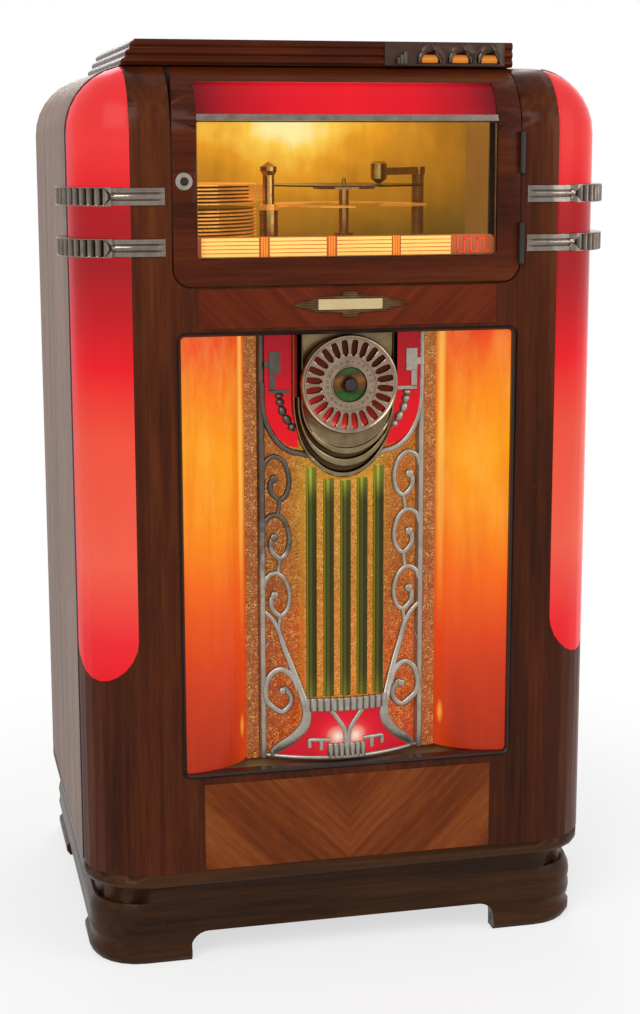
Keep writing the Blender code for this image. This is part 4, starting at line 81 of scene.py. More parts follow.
class Signal:
    """A shader value that plain arithmetic works on by adding Math nodes."""

    def __init__(self, graph: "Graph", socket: bpy.types.NodeSocket) -> None:
        """Wrap one output socket of a graph."""
        self.graph = graph
        self.socket = socket

    def __add__(self, other: "Signal | float") -> "Signal":
        """Add two values."""
        return self.graph.math("ADD", self, other)

    def __sub__(self, other: "Signal | float") -> "Signal":
        """Take another value from this one."""
        return self.graph.math("SUBTRACT", self, other)

    def __rsub__(self, other: float) -> "Signal":
        """Take this value from a number."""
        return self.graph.math("SUBTRACT", other, self)

    def __mul__(self, other: "Signal | float") -> "Signal":
        """Multiply two values."""
        return self.graph.math("MULTIPLY", self, other)

    def __truediv__(self, other: "Signal | float") -> "Signal":
        """Divide this value by another."""
        return self.graph.math("DIVIDE", self, other)

    def __pow__(self, other: float) -> "Signal":
        """Raise this value to a power."""
        return self.graph.math("POWER", self, other)

    def __abs__(self) -> "Signal":
        """Drop the sign."""
        return self.graph.math("ABSOLUTE", self)

    __radd__ = __add__
    __rmul__ = __mul__

    def sine(self) -> "Signal":
        """Take the sine."""
        return self.graph.math("SINE", self)

    def step(self, low: float, high: float) -> "Signal":
        """Rise smoothly from 0 at low to 1 at high."""
        sockets = {0: self, 1: low, 2: high, 3: 0.0, 4: 1.0}
        return self.graph.node("ShaderNodeMapRange", {"interpolation_type": "SMOOTHSTEP"}, sockets)


class Graph:
    """The node tree of one material, built through short calls."""

    def __init__(self, name: str) -> None:
        """Start an empty node material of the given name.

        Args:
            name: name of the material.
        """
        self.material = bpy.data.materials.new(name)
        self.material.use_nodes = True
        self.tree = self.material.node_tree
        self.tree.nodes.clear()
        self.position = self.node("ShaderNodeTexCoord", output=3)

    def node(
        self,
        kind: str,
        settings: dict[str, Any] | None = None,
        sockets: dict[int | str, Any] | None = None,
        output: int | str = 0,
    ) -> Signal:
        """Add one node.

        Args:
            kind: the node's type.
            settings: its properties, or stops for a colour ramp, set first.
            sockets: numbers, colours or signals for its inputs.
            output: which output is returned.

        Returns:
            The chosen output as a signal.
        """
        node = self.tree.nodes.new(kind)
        for name, value in (settings or {}).items():
            if name == "stops":
                self._set_stops(node.color_ramp, value)
            else:
                setattr(node, name, value)
        for key, value in (sockets or {}).items():
            if isinstance(value, Signal):
                self.tree.links.new(value.socket, node.inputs[key])
            else:
                node.inputs[key].default_value = value
        return Signal(self, node.outputs[output]) if len(node.outputs) else Signal(self, node.inputs[0])

    @staticmethod
    def _set_stops(ramp: bpy.types.ColorRamp, stops: Stops) -> None:
        """Give a colour ramp its places and colours."""
        while len(ramp.elements) < len(stops):
            ramp.elements.new(1.0)
        for element, (place, code) in zip(ramp.elements, stops):
            element.position = place
            element.color = srgb(code)

    def math(self, operation: str, *values: "Signal | float") -> Signal:
        """Add one Math node on one or two values."""
        return self.node("ShaderNodeMath", {"operation": operation}, dict(enumerate(values)))

    def axes(self) -> tuple[Signal, Signal, Signal]:
        """Split the object position into X, Y and Z.

        Returns:
            The three values.
        """
        split = self.node("ShaderNodeSeparateXYZ", sockets={0: self.position})
        outputs = split.socket.node.outputs
        return Signal(self, outputs[0]), Signal(self, outputs[1]), Signal(self, outputs[2])

    def place(self, x: "Signal | float", y: "Signal | float", z: "Signal | float") -> Signal:
        """Join three values into a position."""
        return self.node("ShaderNodeCombineXYZ", sockets={0: x, 1: y, 2: z})

    def stretched(self, stretch: Sequence[float]) -> Signal:
        """Scale the object position by a share along each axis."""
        sockets = {0: self.position, 1: tuple(stretch)}
        return self.node("ShaderNodeVectorMath", {"operation": "MULTIPLY"}, sockets)

    def noise(self, place: Signal, scale: float, detail: float = 3.0, rough: float = 0.55) -> Signal:
        """Read soft noise at a position."""
        sockets = {"Vector": place, "Scale": scale, "Detail": detail, "Roughness": rough}
        return self.node("ShaderNodeTexNoise", sockets=sockets)

    def ramp(self, value: Signal, stops: Stops) -> Signal:
        """Colour a value through given stops."""
        return self.node("ShaderNodeValToRGB", {"stops": stops}, {0: value})

    def blend(
        self, share: "Signal | float", low: "Signal | Colour", high: "Signal | Colour", way: str = "MIX"
    ) -> Signal:
        """Mix two colours by a share."""
        settings = {"data_type": "RGBA", "blend_type": way}
        return self.node("ShaderNodeMix", settings, {0: share, 6: low, 7: high}, output=2)

    def dimmed(self, colour: Signal, share: float) -> Signal:
        """Keep a share of a colour's brightness."""
        return self.blend(1.0, colour, (share, share, share, 1.0), "MULTIPLY")

    def bump(self, height: Signal, distance: float, strength: float = 1.0) -> Signal:
        """Turn a height into a normal."""
        sockets = {"Strength": strength, "Distance": distance, "Height": height}
        return self.node("ShaderNodeBump", sockets=sockets)

    def surface(self, **values: Any) -> None:
        """Finish with one Principled surface; spaces in socket names are written as underscores."""
        sockets = {name.replace("_", " "): value for name, value in values.items()}
        shader = self.node("ShaderNodeBsdfPrincipled", sockets=sockets)
        self.node("ShaderNodeOutputMaterial", sockets={0: shader})

    def lit(
        self, colour: Signal, body: float, glow: float, rough: Signal, normal: Signal, gloss: float
    ) -> None:
        """Finish with a surface that glows in its own colour.

        Args:
            colour: the colour of the glow.
            body: share of that colour's brightness that the unlit surface keeps.
            glow: strength of the glow.
            rough: the roughness.
            normal: the normal.
            gloss: level of the mirrored light.
        """
        self.surface(
            Base_Color=self.dimmed(colour, body),
            Emission_Color=colour,
            Emission_Strength=glow,
            Roughness=rough,
            Normal=normal,
            Specular_IOR_Level=gloss,
        )


def length(across: Signal, up: Signal) -> Signal:
    """Return the length of a span from its two square parts."""
    return (across * across + up * up) ** 0.5


@dataclass(frozen=True)
class Finish:
    """A named finish that any number of pieces can wear."""

    name: str

    def paint(self, graph: Graph) -> None:
        """Build the finish in an empty graph."""
        raise NotImplementedError

    def dress(self, *pieces: bpy.types.Object) -> None:
        """Put the finish in every material slot of the pieces."""
        for piece in pieces:
            if not piece.material_slots:
                piece.data.materials.append(None)
            for slot in piece.material_slots:
                slot.material = painted(self)


@lru_cache(maxsize=None)
def painted(finish: Finish) -> bpy.types.Material:
    """Make a finish's material once.

    Args:
        finish: the finish to build.

    Returns:
        The material, the same one for an equal finish.
    """
    graph = Graph(finish.name)
    finish.paint(graph)
    return graph.material


class Grain(Enum):
    """Which way wood fibres run, as the stretch of the pattern along X, Y and Z."""

    UPRIGHT = (1.0, 1.0, 0.045)
    ACROSS = (0.045, 1.0, 1.0)
    BOOK = (1.0, 1.0, 0.05)


@dataclass(frozen=True)
class Wood(Finish):
    """Lacquered wood with figure, fine pores and handling wear."""

    grain: Grain
    dark: str
    middle: str
    light: str
    rough: float = 0.34
    coat: float = 0.03
    figure: float = 14.0

    def _fibres(self, graph: Graph) -> Signal:
        """Return the position stretched along the fibres.

        Book-matched leaves are mirrored at the centre line: the fibres fall towards it at 45 degrees.

        Args:
            graph: the material's graph.

        Returns:
            The stretched position.
        """
        if self.grain is not Grain.BOOK:
            return graph.stretched(self.grain.value)
        x, y, z = graph.axes()
        side = abs(x)
        return graph.place((z - side) * 0.8, y, (z + side) * 0.05)

    def paint(self, graph: Graph) -> None:
        """Lay broad figure, fine pores and cloudy lacquer over three wood colours.

        Args:
            graph: the material's graph.
        """
        fibres = self._fibres(graph)
        waver = graph.noise(graph.position, 5.0, 2.0)
        figure = graph.noise(fibres, self.figure, 5.0, 0.6)
        streaks = graph.noise(fibres, self.figure * 9, 3.0, 0.6)
        pores = graph.noise(fibres, self.figure * 60, 2.0, 0.5)
        mix = figure * 0.50 + streaks * 0.28 + waver * 0.12 + pores * 0.10
        stops = ((0.36, self.dark), (0.50, self.middle), (0.66, self.light))
        colour = graph.ramp(mix, stops)
        wear = graph.noise(graph.position, 38.0, 4.0)
        graph.surface(
            Base_Color=graph.blend(wear.step(0.62, 0.80) * 0.22, colour, srgb(self.light)),
            Roughness=pores * 0.16 + wear * 0.12 + (self.rough - 0.14),
            Normal=graph.bump(pores * 0.6 + streaks * 0.4, 0.0006, 0.25),
            Coat_Weight=self.coat,
            Coat_Roughness=0.12,
            Specular_IOR_Level=0.07,
        )


class Along(Enum):
    """The measure that a lamp's brightness follows."""

    HEIGHT = 1
    OFFSET = 2


@dataclass(frozen=True)
class LitPlastic(Finish):
    """Translucent plastic lit by lamps behind it: its glow follows given stops."""

    along: Along
    low: float
    high: float
    stops: Stops
    edge: str = "A01818"
    edge_low: float = 1.0
    edge_high: float = 2.0
    cloud: float = 0.10
    glow: float = 0.86
    body: float = 0.10

    def paint(self, graph: Graph) -> None:
        """Colour the glow along one measure, redden it towards an edge and mottle it softly.

        Args:
            graph: the material's graph.
        """
        x, _, z = graph.axes()
        measure = z if self.along is Along.HEIGHT else abs(x)
        colour = graph.ramp((measure - self.low) / (self.high - self.low), self.stops)
        colour = graph.blend(abs(x).step(self.edge_low, self.edge_high), colour, srgb(self.edge))
        clouds = graph.noise(graph.stretched((1.0, 1.0, 0.35)), 13.0, 4.0)
        shade = clouds * (2 * self.cloud) + (1.0 - self.cloud)
        grey = graph.place(shade, shade, shade)
        glow = graph.blend(1.0, colour, grey, "MULTIPLY")
        rough = graph.noise(graph.position, 60.0, 3.0) * 0.14 + 0.16
        normal = graph.bump(graph.noise(graph.position, 30.0, 2.0), 0.0008, 0.2)
        graph.lit(glow, self.body, self.glow, rough, normal, 0.08)


@dataclass(frozen=True)
class GlowSpots(Finish):
    """Red plastic lit by two small lamps, pale over each of them."""

    spot_x: float
    spot_z: float
    reach: float = 0.048

    def paint(self, graph: Graph) -> None:
        """Let the glow fall off with the distance to the nearer lamp.

        Args:
            graph: the material's graph.
        """
        x, _, z = graph.axes()
        away = length(abs(x) - self.spot_x, z - self.spot_z)
        mottle = graph.noise(graph.position, 90.0, 3.0)
        colour = graph.ramp(
            away / self.reach + mottle * 0.06,
            ((0.08, "FBE0CE"), (0.22, "F2A090"), (0.42, "E8323C"), (0.62, "E2162A"), (1.0, "CC1226")),
        )
        rough = mottle * 0.1 + 0.15
        graph.lit(colour, 0.08, 0.86, rough, graph.bump(mottle, 0.0004, 0.2), 0.15)


@dataclass(frozen=True)
class Metal(Finish):
    """Plated, polished or painted metal with fine tarnish and scratches, painted shade in its recesses and on
    its upper left side, and an optional painted glow.
    """

    bright: str
    tarnish: str
    rough: float = 0.2
    metallic: float = 1.0
    cloud: float = 60.0
    brushed: tuple[float, float, float] = (1.0, 1.0, 1.0)
    grit: float = 0.0002
    # Colour of the painted shade in recesses and on the left side.
    shade_colour: str = "140D08"
    patch: float = 0.6
    # Strength of a painted glow: lamplight painted on as emission.
    glow: float = 0.0
    # Painted shade on the upper left side, a dark reflection painted on: its strength and its reach in X and Z.
    painted_left_shade: float = 0.0
    painted_left_shade_x: tuple[float, float] = (0.02, -0.09)
    painted_left_shade_z: tuple[float, float] = (0.55, 0.70)

    def paint(self, graph: Graph) -> None:
        """Blend bright and tarnished metal by noise, add painted shade on its left side and in its recesses,
        scratch it.

        Args:
            graph: the material's graph.
        """
        clouds = graph.noise(graph.position, self.cloud, 5.0, 0.6)
        fine = graph.noise(graph.stretched(self.brushed), 420.0, 3.0)
        # The mark read here is painted shade: it darkens flutes, channels and grooves towards the shade colour.
        hollow_shade = graph.node("ShaderNodeAttribute", {"attribute_name": "hollow_shade"}, output=2)
        skin = graph.blend(clouds.step(0.30, 0.75) * self.patch, srgb(self.bright), srgb(self.tarnish))
        x, _, z = graph.axes()
        # Painted shade: darken the upper left side towards the shade colour.
        left_shade = x.step(*self.painted_left_shade_x) * (z + clouds * 0.2 - 0.1).step(*self.painted_left_shade_z)
        skin = graph.blend(left_shade * self.painted_left_shade, skin, srgb(self.shade_colour))
        graph.surface(
            Base_Color=graph.blend(hollow_shade, skin, srgb(self.shade_colour)),
            Emission_Color=graph.blend(hollow_shade, skin, srgb(self.shade_colour)),
            Emission_Strength=self.glow,
            Metallic=self.metallic,
            Roughness=clouds * 0.10 + fine * 0.10 + hollow_shade * 0.2 + (self.rough - 0.10),
            Normal=graph.bump(fine, self.grit, 0.5),
        )


@dataclass(frozen=True)
class Sparkle(Finish):
    """Crinkled metallised foil lit from behind: small cells that each catch the light differently."""

    low_z: float
    high_z: float
    middle_x: tuple[float, float] = (0.066, 0.058)
    golden_x: tuple[float, float, float, float] = (0.092, 0.062, 0.050, 0.062)
    shaded_x: tuple[float, float] = (-0.06, -0.12)
    margin_x: tuple[float, float] = (0.126, 0.130)
    cell_scale: float = 780.0

    def paint(self, graph: Graph) -> None:
        """Give every small cell its own brightness over an orange glow that varies along the height.

        Args:
            graph: the material's graph.
        """
        x, _, z = graph.axes()
        sockets = {"Vector": graph.position, "Scale": self.cell_scale}
        cells = graph.node("ShaderNodeTexVoronoi", {"feature": "F1"}, sockets, output="Color")
        sparkle = graph.node("ShaderNodeSeparateColor", sockets={0: cells})
        height = (z - self.low_z) / (self.high_z - self.low_z)
        drift = graph.noise(graph.position, 14.0, 4.0)
        fine = graph.noise(graph.position, 90.0, 4.0, 0.7)
        outer = graph.ramp(
            height + (drift - 0.5) * 0.5,
            ((0.0, "D84A1C"), (0.22, "D65C1E"), (0.45, "B8601E"), (0.72, "CC7020"), (1.0, "E08A2C")),
        )
        middle = graph.ramp(height + (drift - 0.5) * 0.5, ((0.1, "F08A28"), (0.4, "D08020"), (0.7, "E0A030")))
        colour = graph.blend(abs(x).step(*self.middle_x), outer, middle)
        golden = abs(x).step(*self.golden_x[:2]) * abs(x).step(*self.golden_x[2:]) * height.step(0.25, 0.6)
        colour = graph.blend(golden * 0.6, colour, srgb("C8962C"))
        colour = graph.blend(x.step(*self.shaded_x) * 0.45, colour, srgb("7A3E14"))
        colour = graph.blend(abs(x).step(*self.margin_x) * 0.7, colour, srgb("A0521C"))
        bright = graph.blend(sparkle.step(0.60, 1.0) * fine.step(0.36, 0.62) * 0.85, colour, srgb("FFC870"))
        glow = graph.blend(sparkle.step(0.50, 0.0) * 0.62, bright, srgb("5E220A"))
        graph.surface(
            Base_Color=graph.dimmed(glow, 0.25),
            Emission_Color=glow,
            Emission_Strength=0.66,
            Metallic=0.35,
            Roughness=sparkle * 0.3 + 0.3,
            Normal=graph.bump(sparkle, 0.0008, 0.6),
        )


@dataclass(frozen=True)
class OliveBars(Finish):
    """Dark olive plastic rods: a painted highlight down their crests, a painted reflection of the gold foil
    along one edge, and yellow-green where lamps light their ends.
    """

    pitch: float
    low_z: float
    high_z: float
    low_reach: float = 0.045
    high_reach: tuple[float, float] = (-0.060, -0.012)

    def paint(self, graph: Graph) -> None:
        """Stripe each rod by its distance from its own middle and light its two ends.

        Args:
            graph: the material's graph.
        """
        x, _, z = graph.axes()
        share = x / self.pitch + 100.5
        across = share - graph.math("FLOOR", share) - 0.5
        # Painted highlight down each crest, and a painted reflection of the gold foil near one edge.
        crest = 1.0 - abs(across + 0.10).step(0.02, 0.12)
        foil_reflection_edge = 1.0 - abs(across + 0.27).step(0.01, 0.06)
        low_end = 1.0 - (z - self.low_z).step(0.0, self.low_reach)
        high_end = (z - self.high_z).step(*self.high_reach)
        grain = graph.noise(graph.stretched((1.0, 1.0, 0.1)), 60.0, 3.0)
        dark = graph.blend(grain, srgb("26240A"), srgb("3C3A10"))
        middle = graph.blend(crest * 0.45, dark, srgb("60601E"))
        edged = graph.blend(foil_reflection_edge * 0.45, middle, srgb("A89A28"))
        ended = graph.blend(low_end * (crest * 0.4 + 0.2), edged, srgb("7C7A24"))
        colour = graph.blend(high_end * (crest * 0.5 + 0.25), ended, srgb("B0B83C"))
        rough = grain * 0.1 + 0.12
        graph.lit(colour, 0.30, 0.72, rough, graph.bump(grain, 0.0004, 0.2), 0.15)


@dataclass(frozen=True)
class ChamberLining(Finish):
    """Painted lining of the lit chamber with the lamp's light painted on: a hot glow under the lamp that falls
    to olive brown below it.
    """

    lamp_x: float
    lamp_z: float
    reach: float
    back_y: float
    widen: float = 0.55
    wall_x: tuple[float, float] = (0.366, 0.372)
    near_y: tuple[float, float] = (-0.05, 0.16)

    def paint(self, graph: Graph) -> None:
        """Colour the glow by the distance to the lamp, wider across than down, with drift and streaks.

        Args:
            graph: the material's graph.
        """
        x, y, z = graph.axes()
        away = length((x - self.lamp_x) * self.widen, z - self.lamp_z) / self.reach
        drift = graph.noise(graph.position, 9.0, 4.0)
        streak = graph.noise(graph.stretched((1.0, 1.0, 0.25)), 40.0, 4.0)
        measure = away + (drift - 0.5) * 0.38 + (streak - 0.5) * 0.14
        colour = graph.ramp(
            measure,
            (
                (0.03, "FFF2A8"), (0.13, "FFD050"), (0.26, "E89E28"),
                (0.44, "B87A20"), (0.68, "7E581A"), (1.0, "4C3414"),
            ),
        )
        wall = abs(x).step(*self.wall_x)
        colour = graph.blend(wall * 0.75, colour, srgb("8A5A2A"))
        behind = y.step(self.back_y - 0.0015, self.back_y - 0.0005)
        near = 1.0 - y.step(*self.near_y)
        colour = graph.blend(near * wall * 0.5, colour, srgb("4A2C12"))
        # The emission paints the lamp's pool of light on the lining.
        graph.surface(
            Base_Color=graph.blend(behind, graph.dimmed(colour, 0.15), srgb("A07A50")),
            Emission_Color=graph.blend(behind, colour, (0.0, 0.0, 0.0, 1.0)),
            Emission_Strength=0.92,
            Roughness=drift * 0.2 + 0.5,
            Normal=graph.bump(graph.noise(graph.position, 240.0, 3.0), 0.0005, 0.4),
            Specular_IOR_Level=0.1,
        )


@dataclass(frozen=True)
class LampGlass(Finish):
    """Frosted lamp tube, hot along its middle."""

    half_length: float

    def paint(self, graph: Graph) -> None:
        """Cool the glow towards the ends of the tube.

        Args:
            graph: the material's graph.
        """
        x, _, _ = graph.axes()
        frost = graph.noise(graph.position, 300.0, 2.0)
        colour = graph.ramp(abs(x) / self.half_length, ((0.0, "FFF8D8"), (0.7, "FFEBA8"), (1.0, "E8A850")))
        graph.surface(
            Base_Color=srgb("F0E8D0"),
            Emission_Color=colour,
            Emission_Strength=3.0,
            Roughness=frost * 0.2 + 0.4,
            Normal=graph.bump(frost, 0.0003, 0.3),
        )


@dataclass(frozen=True)
class Card(Finish):
    """Blank printed card lit from below, yellowed and slightly fibrous."""

    pale: str
    aged: str
    glow: float = 0.45

    def paint(self, graph: Graph) -> None:
        """Blend pale and aged card through fibrous noise.

        Args:
            graph: the material's graph.
        """
        fibre = graph.noise(graph.position, 340.0, 3.0)
        stain = graph.noise(graph.position, 24.0, 4.0)
        colour = graph.blend(stain * 0.6 + fibre * 0.3, srgb(self.pale), srgb(self.aged))
        graph.surface(
            Base_Color=colour,
            Emission_Color=colour,
            Emission_Strength=self.glow,
            Roughness=fibre * 0.2 + 0.55,
            Normal=graph.bump(fibre, 0.0003, 0.4),
        )


@dataclass(frozen=True)
class Disc(Finish):
    """A pressed disc: fine grooves round a centre and a plain paper label."""

    centre_x: float
    centre_y: float
    label_radius: float
    label: str = "B8452A"

    def paint(self, graph: Graph) -> None:
        """Ring the surface with grooves by its distance from the centre.

        Args:
            graph: the material's graph.
        """
        x, y, _ = graph.axes()
        away = length(x - self.centre_x, y - self.centre_y)
        groove = (away * 5200.0).sine()
        band = (away * 330.0).sine().step(0.90, 1.0)
        on_label = 1.0 - away.step(self.label_radius - 0.0006, self.label_radius)
        dust = graph.noise(graph.position, 160.0, 4.0)
        shellac = graph.blend(band * 0.5 + dust * 0.2, srgb("0E0D0C"), srgb("3A342C"))
        paper = graph.blend(dust * 0.5, srgb(self.label), srgb("7A2A18"))
        graph.surface(
            Base_Color=graph.blend(on_label, shellac, paper),
            Roughness=dust * 0.15 + on_label * 0.35 + 0.18,
            Normal=graph.bump(groove * (1.0 - on_label), 0.0002, 0.5),
        )


@dataclass(frozen=True)
class Pane(Finish):
    """Clear window pane with faint dust and a few smears."""

    def paint(self, graph: Graph) -> None:
        """Raise the pane's slight haze where dust lies."""
        dust = graph.noise(graph.stretched((1.0, 1.0, 0.5)), 18.0, 5.0)
        graph.surface(
            Base_Color=srgb("A89A70"),
            Alpha=dust.step(0.45, 0.80) * 0.014 + 0.006,
            Roughness=dust * 0.12 + 0.02,
            Normal=graph.bump(dust, 0.0004, 0.1),
            Specular_IOR_Level=0.12,
        )


@dataclass(frozen=True)
class AmberPanel(Finish):
    """Amber sheet bent round lamps: brightest above its middle, redder at its inner return and foot."""

    low_z: float
    high_z: float
    stops: Stops
    bend_highlight_x: tuple[float, float, float, float] = (0.1500, 0.1545, 0.1560, 0.1620)
    inner_x: tuple[float, float] = (0.150, 0.180)
    spot_x: float = 0.157
    spot_rise: float = 0.055

    def paint(self, graph: Graph) -> None:
        """Colour by height, add soft clouds in the sheet and a painted highlight down its curve.

        Args:
            graph: the material's graph.
        """
        x, _, z = graph.axes()
        clouds = graph.noise(graph.stretched((1.0, 1.0, 0.45)), 7.0, 5.0, 0.6)
        height = (z - self.low_z) / (self.high_z - self.low_z) + (clouds - 0.5) * 0.22
        colour = graph.ramp(height, self.stops)
        colour = graph.blend(height.step(0.30, 0.02) * 0.45, colour, srgb("BC3014"))
        inner = 1.0 - abs(x).step(*self.inner_x)
        colour = graph.blend(inner * 0.45, colour, srgb("E2481A"))
        # Painted highlight: a pale line down the sheet's curve.
        bend_highlight = (abs(x).step(*self.bend_highlight_x[:2])) * (1.0 - abs(x).step(*self.bend_highlight_x[2:]))
        colour = graph.blend(bend_highlight * 0.65 * height.step(0.25, 0.75), colour, srgb("FFD060"))
        swirl = graph.noise(graph.stretched((1.0, 1.0, 0.3)), 26.0, 4.0, 0.65).step(0.40, 0.70)
        colour = graph.blend(swirl * 0.24 * height.step(0.3, 0.8), colour, srgb("FFC45A"))
        spot = 1.0 - length((abs(x) - self.spot_x) * 5.0, z - self.low_z - self.spot_rise).step(0.003, 0.024)
        colour = graph.blend(spot * 0.7, colour, srgb("FFAA3C"))
        streak = graph.noise(graph.stretched((1.0, 1.0, 0.08)), 55.0, 4.0, 0.6).step(0.45, 0.75)
        colour = graph.blend(streak * 0.22, colour, srgb("C8380F"))
        rough = clouds * 0.1 + 0.14
        graph.lit(colour, 0.12, 0.92, rough, graph.bump(clouds, 0.0010, 0.2), 0.12)


@dataclass(frozen=True)
class DialLens(Finish):
    """Deep red lens behind the dial's slots, lit only by a lamp below it."""

    centre_z: float
    radius: float = 0.0735

    def paint(self, graph: Graph) -> None:
        """Brighten the red towards the foot of the lens and make it pale at the very edge.

        Args:
            graph: the material's graph.
        """
        x, _, z = graph.axes()
        fall = (self.centre_z - z) / self.radius
        away = length(x, z - self.centre_z) / self.radius
        drift = graph.noise(graph.position, 120.0, 3.0)
        heat = fall * 0.55 + away * 0.45 + (drift - 0.5) * 0.12 + x * -3.0
        colour = graph.ramp(
            heat,
            (
                (0.0, "3A1408"), (0.40, "5A1A0C"), (0.66, "861A12"),
                (0.84, "C4261E"), (0.95, "F08070"), (1.04, "FFE8DC"),
            ),
        )
        rough = drift * 0.1 + 0.15
        graph.lit(colour, 0.10, 0.90, rough, graph.bump(drift, 0.0003, 0.2), 0.08)


@dataclass(frozen=True)
class WindowRing(Finish):
    """Dark green glass at the middle of the dial, brown where the works behind it show."""

    centre_z: float
    radius: float = 0.026

    def paint(self, graph: Graph) -> None:
        """Turn green below the middle and brown above it, dark at the hub.

        Args:
            graph: the material's graph.
        """
        x, _, z = graph.axes()
        height = (z - self.centre_z) / self.radius
        away = length(x, z - self.centre_z) / self.radius
        drift = graph.noise(graph.position, 90.0, 4.0)
        colour = graph.ramp(
            height * 0.5 + 0.5 + (drift - 0.5) * 0.3,
            (
                (0.05, "2E5A1E"), (0.30, "1E4014"), (0.46, "5A3416"),
                (0.62, "7A4C22"), (0.78, "3A2A14"), (0.95, "2A5220"),
            ),
        )
        # The weak emission is a painted glow of lamplight from behind the dial.
        graph.surface(
            Base_Color=graph.blend(1.0 - away.step(0.34, 0.60), colour, srgb("1A0C06")),
            Emission_Color=colour,
            Emission_Strength=0.12,
            Roughness=drift * 0.06 + 0.04,
            Normal=graph.bump(drift, 0.0004, 0.2),
            Specular_IOR_Level=0.2,
        )


class Shape:
    """Points, faces and painted-shade marks of a surface, kept as arrays until they become a mesh."""

    def __init__(
        self, points: np.ndarray, quads: np.ndarray, caps: list[np.ndarray] | None = None, hollow_shade: Any = None
    ) -> None:
        """Keep points, four-sided faces, many-sided end faces and how much painted shade each point gets in
        recesses.

        Args:
            points: corner positions.
            quads: corner numbers of the four-sided faces.
            caps: corner numbers of the end faces.
            hollow_shade: how much painted shade each corner gets in recesses, from 0 to 1.
        """
        self.points = np.asarray(points, float).reshape(-1, 3)
        self.quads = np.asarray(quads, int).reshape(-1, 4)
        self.caps = caps or []
        self.hollow_shade = np.zeros(len(self.points)) if hollow_shade is None else np.asarray(hollow_shade, float).reshape(-1)

    @classmethod
    def grid(
        cls,
        x: Any,
        y: Any,
        z: Any,
        wrap_rows: bool = False,
        wrap_columns: bool = False,
        capped: bool = False,
        hollow_shade: Any = 0.0,
    ) -> "Shape":
        """Join a grid of points, row by column, into four-sided faces.

        Args:
            x, y, z: arrays that broadcast to rows by columns.
            wrap_rows: whether the last row joins the first.
            wrap_columns: whether the last column joins the first.
            capped: whether the first and last rows are closed by a face.
            hollow_shade: how much painted shade each point gets in recesses, from 0 to 1.

        Returns:
            The surface.
        """
        points = np.stack(np.broadcast_arrays(x, y, z), axis=-1).astype(float)
        rows, columns = points.shape[:2]
        index = np.arange(rows * columns).reshape(rows, columns)
        caps = [index[0], index[-1]] if capped else []
        if wrap_rows:
            index = np.vstack([index, index[:1]])
        if wrap_columns:
            index = np.hstack([index, index[:, :1]])
        quads = np.stack([index[:-1, :-1], index[1:, :-1], index[1:, 1:], index[:-1, 1:]], axis=-1)
        return cls(points, quads, caps, np.broadcast_to(hollow_shade, (rows, columns)))

    def __add__(self, other: "Shape") -> "Shape":
        """Put two surfaces into one."""
        shift = len(self.points)
        return Shape(
            np.vstack([self.points, other.points]),
            np.vstack([self.quads, other.quads + shift]),
            self.caps + [cap + shift for cap in other.caps],
            np.concatenate([self.hollow_shade, other.hollow_shade]),
        )

    def mirrored(self) -> "Shape":
        """Return the surface reflected across the centre plane."""
        return Shape(self.points * (-1.0, 1.0, 1.0), self.quads, self.caps, self.hollow_shade)

    def both_sides(self) -> "Shape":
        """Return the surface with its reflection."""
        return self + self.mirrored()

    def make(
        self, name: str, finish: Finish, body: str, slot: str, stands_for: Sequence[str] = (), bevel: float = 0.0
    ) -> bpy.types.Object:
        """Turn the surface into a dressed piece that rides a body.

        Args:
            name: the piece's name.
            finish: the finish it wears.
            body: the body that carries it.
            slot: the record's material slot; not used.
            stands_for: the frame's nodes that it takes the place of.
            bevel: width of the softened edges, or zero for none.

        Returns:
            The new object.
        """
        mesh = bpy.data.meshes.new(name)
        faces = self.quads.tolist() + [cap.tolist() for cap in self.caps]
        mesh.from_pydata(self.points.tolist(), [], faces)
        mesh.attributes.new("hollow_shade", "FLOAT", "POINT").data.foreach_set("value", self.hollow_shade)
        work = bmesh.new()
        work.from_mesh(mesh)
        bmesh.ops.remove_doubles(work, verts=work.verts, dist=MERGE_DISTANCE)
        bmesh.ops.dissolve_degenerate(work, edges=work.edges, dist=MERGE_DISTANCE)
        bmesh.ops.recalc_face_normals(work, faces=work.faces)
        work.to_mesh(mesh)
        work.free()
        mesh.shade_smooth()
        mesh.set_sharp_from_angle(angle=SHARP_TURN)
        piece = bpy.data.objects.new(name, mesh)
        bpy.context.scene.collection.objects.link(piece)
        if bevel > 0:
            softener = piece.modifiers.new("soft_edges", "BEVEL")
            softener.width = bevel
            softener.segments = 2
            softener.limit_method = "ANGLE"
            softener.angle_limit = BEVEL_TURN
        finish.dress(piece)
        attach(piece, body)
        if stands_for:
            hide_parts(*stands_for)
        LOG.info("made %s with %d faces", name, len(mesh.polygons))
        return piece


